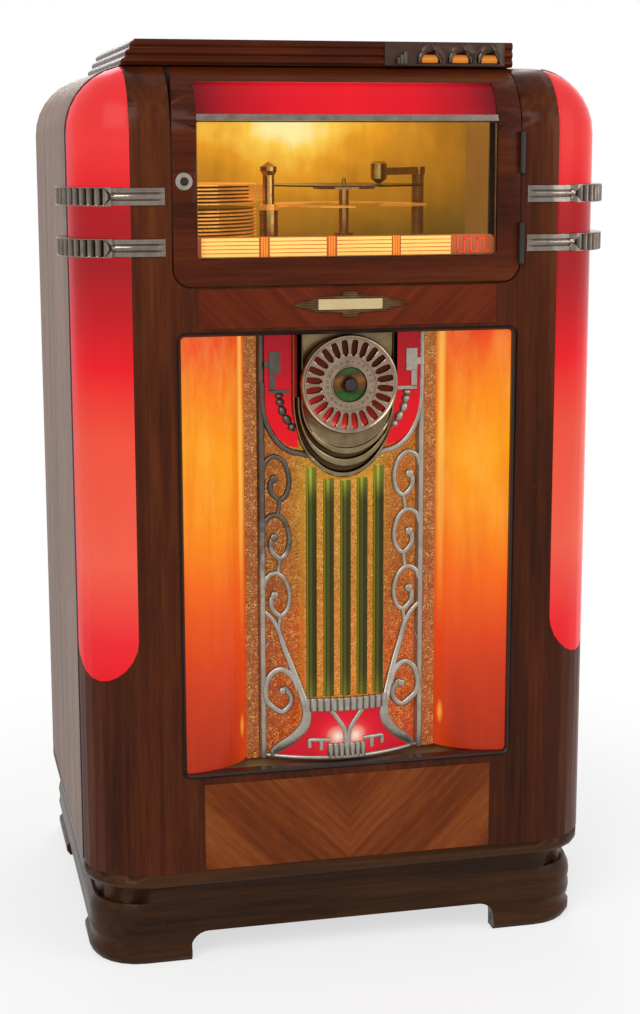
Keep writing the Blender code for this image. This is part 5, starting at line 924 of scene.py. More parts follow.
def smoothed(
    node: bpy.types.Object, name: str, finish: Finish, body: str, angle: float = 28.0
) -> bpy.types.Object:
    """Put a merged, evenly shaded copy of one of the frame's nodes in its place.

    Args:
        node: the node that is copied.
        name: the new piece's name.
        finish: the finish it wears.
        body: the body that carries it.
        angle: the largest turn in degrees between two faces that is still shaded as one curve.

    Returns:
        The new object.
    """
    mesh = node.data.copy()
    mesh.name = name
    mesh.materials.clear()
    work = bmesh.new()
    work.from_mesh(mesh)
    bmesh.ops.remove_doubles(work, verts=work.verts, dist=MERGE_DISTANCE)
    work.to_mesh(mesh)
    work.free()
    mesh.shade_smooth()
    mesh.set_sharp_from_angle(angle=math.radians(angle))
    piece = bpy.data.objects.new(name, mesh)
    bpy.context.scene.collection.objects.link(piece)
    evened = piece.modifiers.new("even_shading", "WEIGHTED_NORMAL")
    evened.keep_sharp = True
    evened.weight = 100
    finish.dress(piece)
    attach(piece, body)
    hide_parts(node.name)
    LOG.info("made %s from %s", name, node.name)
    return piece


def joined(shapes: Sequence[Shape]) -> Shape:
    """Put several surfaces into one.

    Args:
        shapes: the surfaces.

    Returns:
        One surface that holds them all.
    """
    total = shapes[0]
    for shape in shapes[1:]:
        total = total + shape
    return total


def smooth_curve(points: Sequence[Sequence[float]], steps: int = 6) -> np.ndarray:
    """Pass a Catmull-Rom curve through the points.

    Each span is half of (2b + (c - a)t + (2a - 5b + 4c - d)t^2 + (3b - a - 3c + d)t^3)
    for four neighbouring points a, b, c, d and t from 0 to 1.

    Args:
        points: the places that the curve passes.
        steps: how many points each span gets.

    Returns:
        The curve's points, row by row.
    """
    knots = np.asarray(points, float)
    padded = np.vstack([2 * knots[0] - knots[1], knots, 2 * knots[-1] - knots[-2]])
    t = np.linspace(0.0, 1.0, steps, endpoint=False)[None, :, None]
    a, b, c, d = (padded[k : len(padded) - 3 + k, None, :] for k in range(4))
    spans = 0.5 * (2 * b + (c - a) * t + (2 * a - 5 * b + 4 * c - d) * t**2 + (3 * b - a - 3 * c + d) * t**3)
    return np.vstack([spans.reshape(-1, knots.shape[1]), knots[-1]])


def strip(path: np.ndarray, half_width: Any, front: Any, thickness: float, crown: float = 0.25) -> Shape:
    """Carry a flat bar with a crowned front along a path in the upright X-Z plane.

    A point is the path plus its sideways normal times a share of the half width, at the front's depth
    plus a share of the thickness: the crown share is how far the front's edges fall back.

    Args:
        path: points as X and Z.
        half_width: one width or one per point.
        front: depth of the crest behind the cabinet's front, one or one per point.
        thickness: from crest to back.
        crown: how far the edges fall back, as a share of the thickness.

    Returns:
        A closed bar.
    """
    tangent = np.gradient(path, axis=0)
    tangent /= np.linalg.norm(tangent, axis=1, keepdims=True) + TINY
    normal = np.stack([tangent[:, 1], -tangent[:, 0]], axis=1)
    side = np.array([-1.0, -1.0, -0.86, -0.55, 0.0, 0.55, 0.86, 1.0, 1.0])
    slope = [1.0, crown + 0.06, crown * 0.62, crown * 0.22]
    back = np.array([*slope, 0.0, *slope[::-1]])
    half = np.broadcast_to(np.asarray(half_width, float), len(path))[:, None]
    near = np.broadcast_to(np.asarray(front, float), len(path))[:, None]
    x = path[:, :1] + normal[:, :1] * half * side
    z = path[:, 1:] + normal[:, 1:] * half * side
    y = FRONT_Y + near + back[None, :] * thickness
    return Shape.grid(x, y, z, wrap_columns=True, capped=True)


def lathe(
    profile: Sequence[Sequence[float]], centre: Sequence[float], axis: str = "Y", segments: int = 64
) -> Shape:
    """Turn a profile round an axis.

    A point is the centre plus the radius times the cosine and sine of the turn, moved along the axis.

    Args:
        profile: radius and distance along the axis, point by point.
        centre: a point on the axis.
        axis: Y or Z.
        segments: how many steps go round.

    Returns:
        The turned surface.
    """
    radius, along = np.asarray(profile, float).T
    turn = np.linspace(0.0, math.tau, segments, endpoint=False)[:, None]
    across = radius * np.cos(turn)
    up = radius * np.sin(turn)
    if axis == "Y":
        return Shape.grid(centre[0] + across, centre[1] + along, centre[2] + up, wrap_rows=True)
    return Shape.grid(centre[0] + across, centre[1] + up, centre[2] + along, wrap_rows=True)


def plate(outline: Sequence[Sequence[float]], front: float, back: float) -> Shape:
    """Give an X-Z outline a thickness.

    Args:
        outline: points as X and Z, in order round the plate.
        front: depth of the near face behind the cabinet's front.
        back: depth of the far face.

    Returns:
        A closed plate.
    """
    ring = np.asarray(outline, float)
    depths = np.array([front, back])[:, None]
    return Shape.grid(ring[None, :, 0], FRONT_Y + depths, ring[None, :, 1], wrap_columns=True, capped=True)


def box(low: Sequence[float], high: Sequence[float]) -> Shape:
    """Make a closed block between two corners given as X, depth and Z."""
    outline = ((low[0], low[2]), (high[0], low[2]), (high[0], high[2]), (low[0], high[2]))
    return plate(outline, low[1], high[1])


def tube(path: np.ndarray, radius: Any, sides: int = 16) -> Shape:
    """Carry a circle of changing radius along a path in space, square to it and closed at both ends.

    Args:
        path: points in space.
        radius: one radius or one per point.
        sides: how many steps go round.

    Returns:
        A closed tube.
    """
    tangent = np.gradient(path, axis=0)
    tangent /= np.linalg.norm(tangent, axis=1, keepdims=True) + TINY
    side = np.cross(tangent, (0.0, 1.0, 0.02))
    side /= np.linalg.norm(side, axis=1, keepdims=True)
    over = np.cross(side, tangent)
    turn = np.linspace(0.0, math.tau, sides, endpoint=False)
    size = np.broadcast_to(np.asarray(radius, float), len(path))[:, None, None]
    ring = side[:, None, :] * np.cos(turn)[None, :, None] + over[:, None, :] * np.sin(turn)[None, :, None]
    points = path[:, None, :] + ring * size
    return Shape.grid(points[..., 0], points[..., 1], points[..., 2], wrap_columns=True, capped=True)


# The chrome colours below are kept dark and warm as a painted reflection of a dark room, with tarnish patches
# over them; the cast chrome also gets painted shade on its upper left side.
CHROME = Metal("aged_chrome_painted_reflection", "A49A90", "766C62", 0.16)
BAND_CHROME = Metal("band_chrome", "857A70", "5A5048", 0.18)
CAST_CHROME = Metal("cast_chrome", "A39A8E", "7E7468", 0.38, 0.8, shade_colour="1C120C", painted_left_shade=0.75)
DARK_CHROME = Metal("dial_plate_metal", "8C7A5C", "625236", 0.24, shade_colour="3C2A18")
BRASS_TRIM = Metal("dull_brass_trim", "7A6A50", "4A3C2A", 0.26)


@dataclass
class Studio:
    """Pale room, soft lamps and the camera at the photograph's place."""

    camera_place: tuple[float, float, float] = (-0.6362, -2.8797, 1.2307)
    pitch: float = 0.1751
    roll: float = 0.0017
    yaw: float = 0.2274
    lens: float = 42.828
    sensor: float = 24.0
    shift: tuple[float, float] = (-0.0008, -0.0393)
    floor_size: float = 60.0
    shadow_reach: tuple[float, float] = (0.55, 1.30)
    room_light: float = 0.42
    lamp_aim: tuple[float, float, float] = (0.0, 0.0, 0.7)
    lamps: tuple[tuple[str, tuple[float, float, float], float, float], ...] = (
        ("key_lamp", (-2.6, -3.4, 3.4), 3.0, 150.0),
        ("fill_lamp", (2.8, -2.6, 2.2), 2.6, 55.0),
        ("rear_lamp", (0.4, 3.2, 3.0), 2.6, 70.0),
    )

    def build(self) -> None:
        """Set up the view, the room and the lamps."""
        scene = bpy.context.scene
        scene.view_settings.view_transform = "Standard"
        self._camera(scene)
        self._world(scene)
        self._floor()
        for lamp in self.lamps:
            self._lamp(*lamp)
        LOG.info("studio ready")

    def _camera(self, scene: bpy.types.Scene) -> None:
        """Place the camera with the photograph's turn, lens and framing.

        Args:
            scene: the scene that is rendered.
        """
        data = bpy.data.cameras.new("photo_camera")
        data.sensor_fit = "VERTICAL"
        data.sensor_height = self.sensor
        data.lens = self.lens
        data.shift_x, data.shift_y = self.shift
        camera = bpy.data.objects.new("photo_camera", data)
        camera.location = self.camera_place
        camera.rotation_euler = (math.pi / 2 - self.pitch, self.roll, -self.yaw)
        scene.collection.objects.link(camera)
        scene.camera = camera

    def _world(self, scene: bpy.types.Scene) -> None:
        """Show white to the camera, to gloss and through glass, and a plain grey light to the rest.

        Args:
            scene: the scene that is rendered.
        """
        world = bpy.data.worlds.new("studio_world")
        world.use_nodes = True
        tree = world.node_tree
        tree.nodes.clear()
        path = tree.nodes.new("ShaderNodeLightPath")
        seen = tree.nodes.new("ShaderNodeMath")
        seen.operation = "MAXIMUM"
        tree.links.new(path.outputs["Is Camera Ray"], seen.inputs[0])
        tree.links.new(path.outputs["Is Glossy Ray"], seen.inputs[1])
        shown = tree.nodes.new("ShaderNodeMath")
        shown.operation = "MAXIMUM"
        tree.links.new(seen.outputs[0], shown.inputs[0])
        tree.links.new(path.outputs["Is Transmission Ray"], shown.inputs[1])
        strength = tree.nodes.new("ShaderNodeMapRange")
        tree.links.new(shown.outputs[0], strength.inputs[0])
        strength.inputs[3].default_value = self.room_light
        strength.inputs[4].default_value = 1.0
        background = tree.nodes.new("ShaderNodeBackground")
        background.inputs[0].default_value = (1.0, 1.0, 1.0, 1.0)
        tree.links.new(strength.outputs[0], background.inputs[1])
        output = tree.nodes.new("ShaderNodeOutputWorld")
        tree.links.new(background.outputs[0], output.inputs[0])
        scene.world = world

    def _floor(self) -> None:
        """Lay a pale floor that keeps the object's shadow."""
        mesh = bpy.data.meshes.new("studio_floor")
        half = self.floor_size / 2
        corners = [(-half, -half, 0), (half, -half, 0), (half, half, 0), (-half, half, 0)]
        mesh.from_pydata(corners, [], [(0, 1, 2, 3)])
        floor = bpy.data.objects.new("studio_floor", mesh)
        bpy.context.scene.collection.objects.link(floor)
        graph = Graph("studio_floor")
        path = graph.node("ShaderNodeLightPath")
        outputs = path.socket.node.outputs
        by_camera = Signal(graph, outputs["Is Camera Ray"])
        seen = graph.math("MAXIMUM", by_camera, Signal(graph, outputs["Is Glossy Ray"]))
        cloth = graph.node("ShaderNodeBsdfDiffuse", sockets={0: (0.9, 0.9, 0.9, 1.0)})
        glow = graph.node("ShaderNodeEmission", sockets={0: (1.0, 1.0, 1.0, 1.0), 1: 1.0})
        x, y, _ = graph.axes()
        away = length(x, y).step(*self.shadow_reach)
        shown = seen * (away * 0.34 + 0.66)
        mixed = graph.node("ShaderNodeMixShader", sockets={0: shown, 1: cloth, 2: glow})
        graph.node("ShaderNodeOutputMaterial", sockets={0: mixed})
        mesh.materials.append(graph.material)

    def _lamp(self, name: str, place: tuple[float, float, float], size: float, power: float) -> None:
        """Hang one large soft lamp that faces the cabinet's middle.

        Args:
            name: the lamp's name.
            place: where it hangs.
            size: the side of its square.
            power: its strength in watts.
        """
        data = bpy.data.lights.new(name, "AREA")
        data.size = size
        data.energy = power
        lamp = bpy.data.objects.new(name, data)
        lamp.location = place
        aim = Vector(self.lamp_aim) - lamp.location
        lamp.rotation_euler = aim.to_track_quat("-Z", "Y").to_euler()
        bpy.context.scene.collection.objects.link(lamp)


@dataclass
class CornerTrim:
    """Chrome bands round the two front corners, and dark beads down the side seams whose black is painted shade
    for the shadowed gap there.
    """

    centre_x: float = 0.303
    radius: float = 0.097
    tip_x: float = 0.2695
    lozenge_x: float = 0.340
    side_depth: float = 0.135
    levels: tuple[float, float] = (1.0905, 1.1625)
    half_height: float = 0.0138
    seam_depth: float = 0.0895
    seam_low: float = 0.1560
    seam_round: tuple[float, float, float] = (0.303, 1.250, 0.0962)
    bead_half: tuple[float, float] = (0.0016, 0.0034)
    bar_proud: tuple[float, float] = (0.0012, 0.0024)
    tip_run: float = 0.012
    point_runs: tuple[float, float] = (0.013, 0.016)
    flute_pitch: float = 0.0112
    swell: tuple[float, float] = (0.0040, 0.0112)
    flute_levels: tuple[float, float] = (-0.0036, 0.0044)
    rim_proud: float = 0.0008
    blend_run: float = 0.004
    sunk: float = 0.0004

    def build(self) -> None:
        """Make the four bands and the seam beads."""
        for level, label in zip(self.levels, ("lower", "upper")):
            band = self._band(level)
            for side, shape in (("left", band.mirrored()), ("right", band)):
                node = f"{side}_{label}_band"
                shape.make(f"{node}_fluted", BAND_CHROME, "cabinet", "chrome", (node,))
        # Near-black finish: painted shade where the seam's gap lies in shadow.
        seam_shadow = Metal("seam_shadow_bead", "1E1410", "0E0806", 0.3, 0.2)
        self._beads().make("seam_beads", seam_shadow, "cabinet", "black_lacquer")

    def _plan(self, run: np.ndarray) -> tuple[np.ndarray, np.ndarray, np.ndarray, np.ndarray]:
        """Turn a distance along the corner's plan into a place and an outward normal.

        The plan is a straight front, a quarter circle and a straight side: the turn angle is the distance
        past the front divided by the radius, held between 0 and a quarter turn.

        Args:
            run: distances along the plan from the band's inner tip.

        Returns:
            X, depth, and the outward normal's X and Y.
        """
        front_run = self.centre_x - self.tip_x
        arc = self.radius * math.pi / 2
        turn = np.clip((run - front_run) / self.radius, 0.0, math.pi / 2)
        past = np.maximum(run - front_run - arc, 0.0)
        x = self.tip_x + np.minimum(run, front_run) + self.radius * np.sin(turn)
        depth = self.radius * (1.0 - np.cos(turn)) + past
        return x, depth, np.sin(turn), -np.cos(turn)

    def _band(self, level: float) -> Shape:
        """Shape one band as a height field over its run and its height.

        On the bar part a middle rib stands out between two flat lines. On the lozenge part upright
        flutes, a cosine along the run, lie inside a raised rim, and both ends come to a point.

        Args:
            level: height of the band's middle.

        Returns:
            The right-hand band, closed.
        """
        bar_run = self.lozenge_x - self.tip_x
        total = self.centre_x - self.tip_x + self.radius * math.pi / 2 + self.side_depth - self.radius
        run = np.linspace(0.0, total, 300)[:, None]
        lift = np.linspace(-1.0, 1.0, 41)[None, :]
        x, depth, out_x, out_y = self._plan(run)
        height = np.abs(lift)
        rib = np.clip(1.0 - (height / 0.30) ** 2, 0.0, 1.0) ** 0.5
        lines = np.where(height > 0.42, 0.45, 0.12)
        near_tip = np.clip(run / self.tip_run, 0.0, 1.0)
        bar = (self.bar_proud[0] + self.bar_proud[1] * np.maximum(rib, lines)) * (0.45 + 0.55 * near_tip)
        into = np.clip((run - bar_run) / (total - bar_run), 0.0, 1.0)
        point = np.minimum((run - bar_run) / self.point_runs[0], (total - run) / self.point_runs[1])
        inside = np.clip((point - height) / 0.10, 0.0, 1.0) * (height < 0.84)
        flutes = (0.5 + 0.5 * np.cos(math.tau * (run - bar_run) / self.flute_pitch)) ** 0.8
        rise = np.sin(math.pi * np.clip(into * 1.02 + 0.02, 0.0, 1.0)) ** 0.3
        groove, crest = self.flute_levels
        relief = np.where(inside > 0, groove + crest * flutes * inside, self.rim_proud)
        lozenge = self.swell[0] + self.swell[1] * rise + relief
        share = np.clip((run - bar_run) / self.blend_run, 0.0, 1.0)
        proud = np.maximum(bar * (1.0 - share) + lozenge * share, self.rim_proud)
        half = self.half_height * (0.93 + 0.07 * share)
        edge = np.where(height > 0.97, 0.25, 1.0)
        reach = proud * edge
        # Painted shade in the grooves beside the rib and between the flutes.
        between = np.where((height > 0.32) & (height < 0.42), 0.8, 0.0) * (1.0 - share)
        dark = np.maximum(inside * (1.0 - flutes) * share, between * near_tip)
        z = level + half * lift
        back = np.full((len(run), 1), self.sunk)
        reach = np.hstack([back, reach, back])
        z = np.hstack([level - half, z, level + half])
        hollow_shade = np.hstack([0.0 * back, np.broadcast_to(dark, (len(run), lift.shape[1])), 0.0 * back])
        y = FRONT_Y + depth + out_y * reach
        return Shape.grid(x + out_x * reach, y, z, wrap_columns=True, capped=True, hollow_shade=hollow_shade)

    def _beads(self) -> Shape:
        """Run a slim half-round bead up each side seam and over the rounded shoulder to the crown; its black
        finish is painted shade for the seam's gap.

        Returns:
            The beads of both sides.
        """
        middle, spring, radius = self.seam_round
        turn = np.linspace(0.0, math.radians(80.0), 24)
        x = np.concatenate([np.full(30, middle + radius), middle + radius * np.cos(turn)])
        z = np.concatenate([np.linspace(self.seam_low, spring - 0.006, 30), spring + radius * np.sin(turn)])
        out_x = np.concatenate([np.ones(30), np.cos(turn)])[:, None]
        out_z = np.concatenate([np.zeros(30), np.sin(turn)])[:, None]
        circle = np.linspace(0.0, math.tau, 14, endpoint=False)
        round_x = self.bead_half[0] * np.cos(circle)
        round_y = self.bead_half[1] * np.sin(circle)
        grid_x = x[:, None] + out_x * round_x
        grid_z = z[:, None] + out_z * round_x
        grid_y = FRONT_Y + self.seam_depth + round_y
        return Shape.grid(grid_x, grid_y, grid_z, wrap_columns=True, capped=True).both_sides()


@dataclass
class ScrollCasting:
    """The open chrome casting over the grille: rails, scrolls, swooshes, volutes, aprons and emblem."""

    rail_x: float = 0.1235
    rail_half: float = 0.0046
    rail_low: float = 0.3085
    rail_high: float = 0.9618
    scroll_front: float = 0.0470
    scroll_thickness: float = 0.0080
    scroll_pitch: float = 0.0893
    near: float = 0.0135
    far: float = 0.0490
    bulge_x: float = 0.1200
    rim_low: float = 0.3068
    rim_half: tuple[float, float] = (0.1240, 0.0036)
    rail_thickness: float = 0.0190
    stem_thickness: float = 0.0060
    eye: float = 0.0060
    volute_eye: tuple[float, float, float] = (0.0938, 0.4125, 0.0056)
    apron_round: tuple[float, float, float, float] = (0.0660, 0.8680, 0.0565, 0.0880)
    apron_half: float = 0.0043
    apron_thickness: float = 0.0110
    key_front: float = 0.0385
    key_back: float = 0.0460
    emblem_thickness: float = 0.0064
    header: tuple[float, float, float, int, float] = (0.0665, 0.3840, 0.4045, 13, -0.0010)
    foot: tuple[float, float, float, int, float] = (0.0300, 0.3085, 0.3330, 7, -0.0012)
    flute_height: float = 0.0026
    flute_edge: float = 0.0016

    loop: Points = (
        (0.1225, 0.752), (0.1165, 0.769), (0.1025, 0.7755), (0.0885, 0.764),
        (0.0815, 0.740), (0.0855, 0.718), (0.0965, 0.709), (0.1085, 0.7205),
        (0.1100, 0.734), (0.1045, 0.7415),
    )
    swoosh: Points = (
        (0.1260, 0.543), (0.1100, 0.527), (0.0990, 0.507), (0.0915, 0.482),
        (0.0815, 0.454), (0.0720, 0.425), (0.0640, 0.398), (0.0606, 0.3790),
        (0.0650, 0.3600), (0.0790, 0.3420), (0.0960, 0.3280), (0.1075, 0.3180),
        (0.1085, 0.3100),
    )
    volute: Points = (
        (0.0725, 0.418), (0.0795, 0.4355), (0.0960, 0.4475), (0.1130, 0.438),
        (0.1205, 0.417), (0.1185, 0.399), (0.1095, 0.388), (0.0950, 0.3785),
        (0.0825, 0.388), (0.0795, 0.401), (0.0870, 0.4125), (0.0935, 0.414),
    )

    def _bulge(self, x: np.ndarray) -> np.ndarray:
        """Depth of the emblem's curved face: forward at the middle, falling back as the square of X."""
        return self.near + (self.far - self.near) * (x / self.bulge_x) ** 2

    def _lead(self, x: np.ndarray, z: np.ndarray) -> np.ndarray:
        """Depth of a swoosh: flat scrolls above, easing into the curved face below."""
        share = np.clip((0.50 - z) / 0.10, 0.0, 1.0)
        return self.scroll_front * (1.0 - share) + np.minimum(self._bulge(x), self.scroll_front) * share

    def build(self) -> None:
        """Make the casting as one piece."""
        lower = [self._lower_curls(), self._apron(), self._key(), self._emblem_side()]
        half = joined([self._rail(), self._scrolls(), *lower])
        whole = half.both_sides() + self._fluted(*self.header) + self._fluted(*self.foot) + self._rim()
        whole.make("scroll_casting", CAST_CHROME, "cabinet", "chrome", ("grille_casting",))

    def _rail(self) -> Shape:
        """One long upright rail with a crowned front."""
        path = np.stack([np.full(60, self.rail_x), np.linspace(self.rail_low, self.rail_high, 60)], axis=1)
        return strip(path, self.rail_half, self.scroll_front - 0.001, self.rail_thickness, 0.14)

    def _ball(self, x: float, z: float, radius: float, front: float) -> Shape:
        """Turn a domed eye for the end of a scroll.

        Args:
            x, z: its centre.
            radius: its radius.
            front: depth of the scroll's crest there.

        Returns:
            The eye.
        """
        turn = np.linspace(0.0, math.pi / 2, 7)
        profile = [(0.0, 0.010), (radius, 0.010)]
        profile += list(zip(radius * np.cos(turn), 0.002 - 0.002 * np.sin(turn)))
        return lathe(profile, (x, FRONT_Y + front - 0.0015, z), segments=20)

    def _scrolls(self) -> Shape:
        """Three scrolls that wind from the rail to an eye, joined by short stems.

        Returns:
            The scrolls and stems of one half.
        """
        path = smooth_curve(self.loop, 7)
        widths = (0.0034, 0.0036, 0.0037, 0.0042)
        width = np.interp(np.linspace(0, 1, len(path)), (0.0, 0.15, 0.6, 1.0), widths)
        parts = []
        for level in range(3):
            drop = np.array([0.0, self.scroll_pitch * level])
            parts.append(strip(path - drop, width, self.scroll_front, self.scroll_thickness))
            eye = self.loop[-1]
            parts.append(self._ball(eye[0] + 0.0008, eye[1] - drop[1], self.eye, self.scroll_front))
            low = self.loop[6][1] - drop[1]
            stem = smooth_curve([(0.0965, low), (0.0972, low - 0.007), (0.0995, low - 0.0225)], 4)
            parts.append(strip(stem, 0.0030, self.scroll_front + 0.0006, self.stem_thickness))
        return joined(parts)

    def _lower_curls(self) -> Shape:
        """The swoosh down to the emblem, the large volute, and the leaf spur on the rail.

        Returns:
            The curls of one half.
        """
        swoosh = smooth_curve(self.swoosh, 7)
        along = np.linspace(0, 1, len(swoosh))
        widths = (0.0032, 0.0046, 0.0060, 0.0078, 0.0076, 0.0044)
        width = np.interp(along, (0.0, 0.3, 0.50, 0.66, 0.85, 1.0), widths)
        parts = [strip(swoosh, width, self._lead(swoosh[:, 0], swoosh[:, 1]), self.scroll_thickness)]
        volute = smooth_curve(self.volute, 7)
        along = np.linspace(0, 1, len(volute))
        width = np.interp(along, (0.0, 0.3, 0.8, 1.0), (0.0050, 0.0044, 0.0044, 0.0056))
        front = np.interp(along, (0.0, 0.25, 1.0), (0.0300, 0.0440, 0.0460))
        parts.append(strip(volute, width, front, self.scroll_thickness))
        parts.append(self._ball(*self.volute_eye, 0.0455))
        spur = smooth_curve(((0.1245, 0.468), (0.1205, 0.480), (0.1150, 0.4925)), 5)
        width = np.linspace(0.0026, 0.0008, len(spur))
        parts.append(strip(spur, width, self.scroll_front + 0.0005, self.stem_thickness))
        tie = smooth_curve([(0.1165, 0.417), (self.rail_x, 0.417)], 4)
        parts.append(strip(tie, 0.0050, self.scroll_front + 0.0015, self.stem_thickness))
        return joined(parts)

    def _apron(self) -> Shape:
        """The band that rounds the foot of a cheek window.

        Returns:
            The band of one half.
        """
        turn = np.linspace(math.radians(2.0), math.radians(87.0), 40)
        x, z, half, drop = self.apron_round
        path = np.stack([x + half * np.cos(turn), z - drop * np.sin(turn)], axis=1)
        path = np.vstack([[(0.1225, 0.8880)], path, [(0.0610, 0.7783), (0.0530, 0.7752)]])
        return strip(path, self.apron_half, self.scroll_front - 0.004, self.apron_thickness)

    def _key(self) -> Shape:
        """The stepped ornament and the string of beads over a cheek window.

        Returns:
            The ornament and beads of one half.
        """
        front, back = self.key_front, self.key_back
        parts = [
            box((0.0965, front, 0.9010), (0.1135, back, 0.9340)),
            box((0.1045, front, 0.8765), (0.1130, back, 0.9015)),
            box((0.0830, front, 0.8725), (0.1130, back, 0.8775)),
            box((0.1130, front + 0.002, 0.9095), (0.1200, back, 0.9195)),
        ]
        string = ((0.0985, 0.8725), (0.0970, 0.8600), (0.0920, 0.8420), (0.0810, 0.8240), (0.0745, 0.8130))
        places = smooth_curve([(x, front, z) for x, z in string], 22)
        along = np.linspace(0.0, 1.0, len(places))
        beads = 0.0026 + 0.0042 * np.abs(np.sin(along * math.pi * 5.5)) ** 0.7
        beads *= np.clip((1.0 - along) / 0.10, 0.05, 1.0)
        path = np.stack([places[:, 0], FRONT_Y + places[:, 1] + 0.0040, places[:, 2]], axis=1)
        parts.append(tube(path, beads, 14))
        return joined(parts)

    def _emblem_side(self) -> Shape:
        """Half of the emblem's open work: the V leg, the hook and the block at its tip.

        Returns:
            The open work of one half.
        """
        thick = self.emblem_thickness
        leg = ((0.0245, 0.3855), (0.0150, 0.3720), (0.0066, 0.3590), (0.0026, 0.3470), (0.0016, 0.3280))
        leg = smooth_curve(leg, 6)
        parts = [strip(leg, 0.0036, self._bulge(leg[:, 0]) + 0.0002, thick)]
        hook = ((0.0260, 0.3385), (0.0400, 0.3387), (0.0545, 0.3385), (0.0570, 0.3362), (0.0570, 0.3270))
        hook = smooth_curve(hook, 4)
        parts.append(strip(hook, 0.0033, self._bulge(hook[:, 0]) + 0.0001, thick))
        stalk = smooth_curve([(0.0395, 0.3385), (0.0395, 0.3300), (0.0395, 0.3235)], 4)
        parts.append(strip(stalk, 0.0036, self._bulge(stalk[:, 0]) + 0.0001, thick))
        return joined(parts)

    def _fluted(self, half: float, low: float, high: float, count: int, front_shift: float) -> Shape:
        """Shape a block on the curved face whose front carries rounded flutes.

        Depth is the curved face plus a flute height times the absolute sine of the place across.

        Args:
            half: half of its width.
            low, high: its levels.
            count: how many flutes it carries.
            front_shift: how far its crests stand behind the curved face.

        Returns:
            A closed block.
        """
        across = np.linspace(-half, half, count * 10 + 1)
        crest = np.abs(np.sin(math.pi * count * (across + half) / (2 * half)))
        near = self._bulge(across) + front_shift + self.flute_height * (1.0 - crest)
        x = across[:, None] * np.ones(6)
        edge, thick = self.flute_edge, self.scroll_thickness
        z = np.array([low, low, low + edge, high - edge, high, high]) * np.ones((len(across), 1))
        push = np.array([thick, edge, 0.0, 0.0, edge, thick])
        # Painted shade in the grooves between the flutes.
        dark = np.clip(1.0 - crest * 1.5, 0.0, 1.0)[:, None] * 0.75
        return Shape.grid(x, FRONT_Y + near[:, None] + push, z, wrap_columns=True, capped=True, hollow_shade=dark)

    def _rim(self) -> Shape:
        """The curved sill along the foot of the casting.

        Returns:
            The whole sill.
        """
        reach, half = self.rim_half
        x = np.linspace(-reach, reach, 90)
        path = np.stack([x, np.full(90, self.rim_low + half)], axis=1)
        return strip(path, half, self._bulge(x), 0.0090, 0.2)


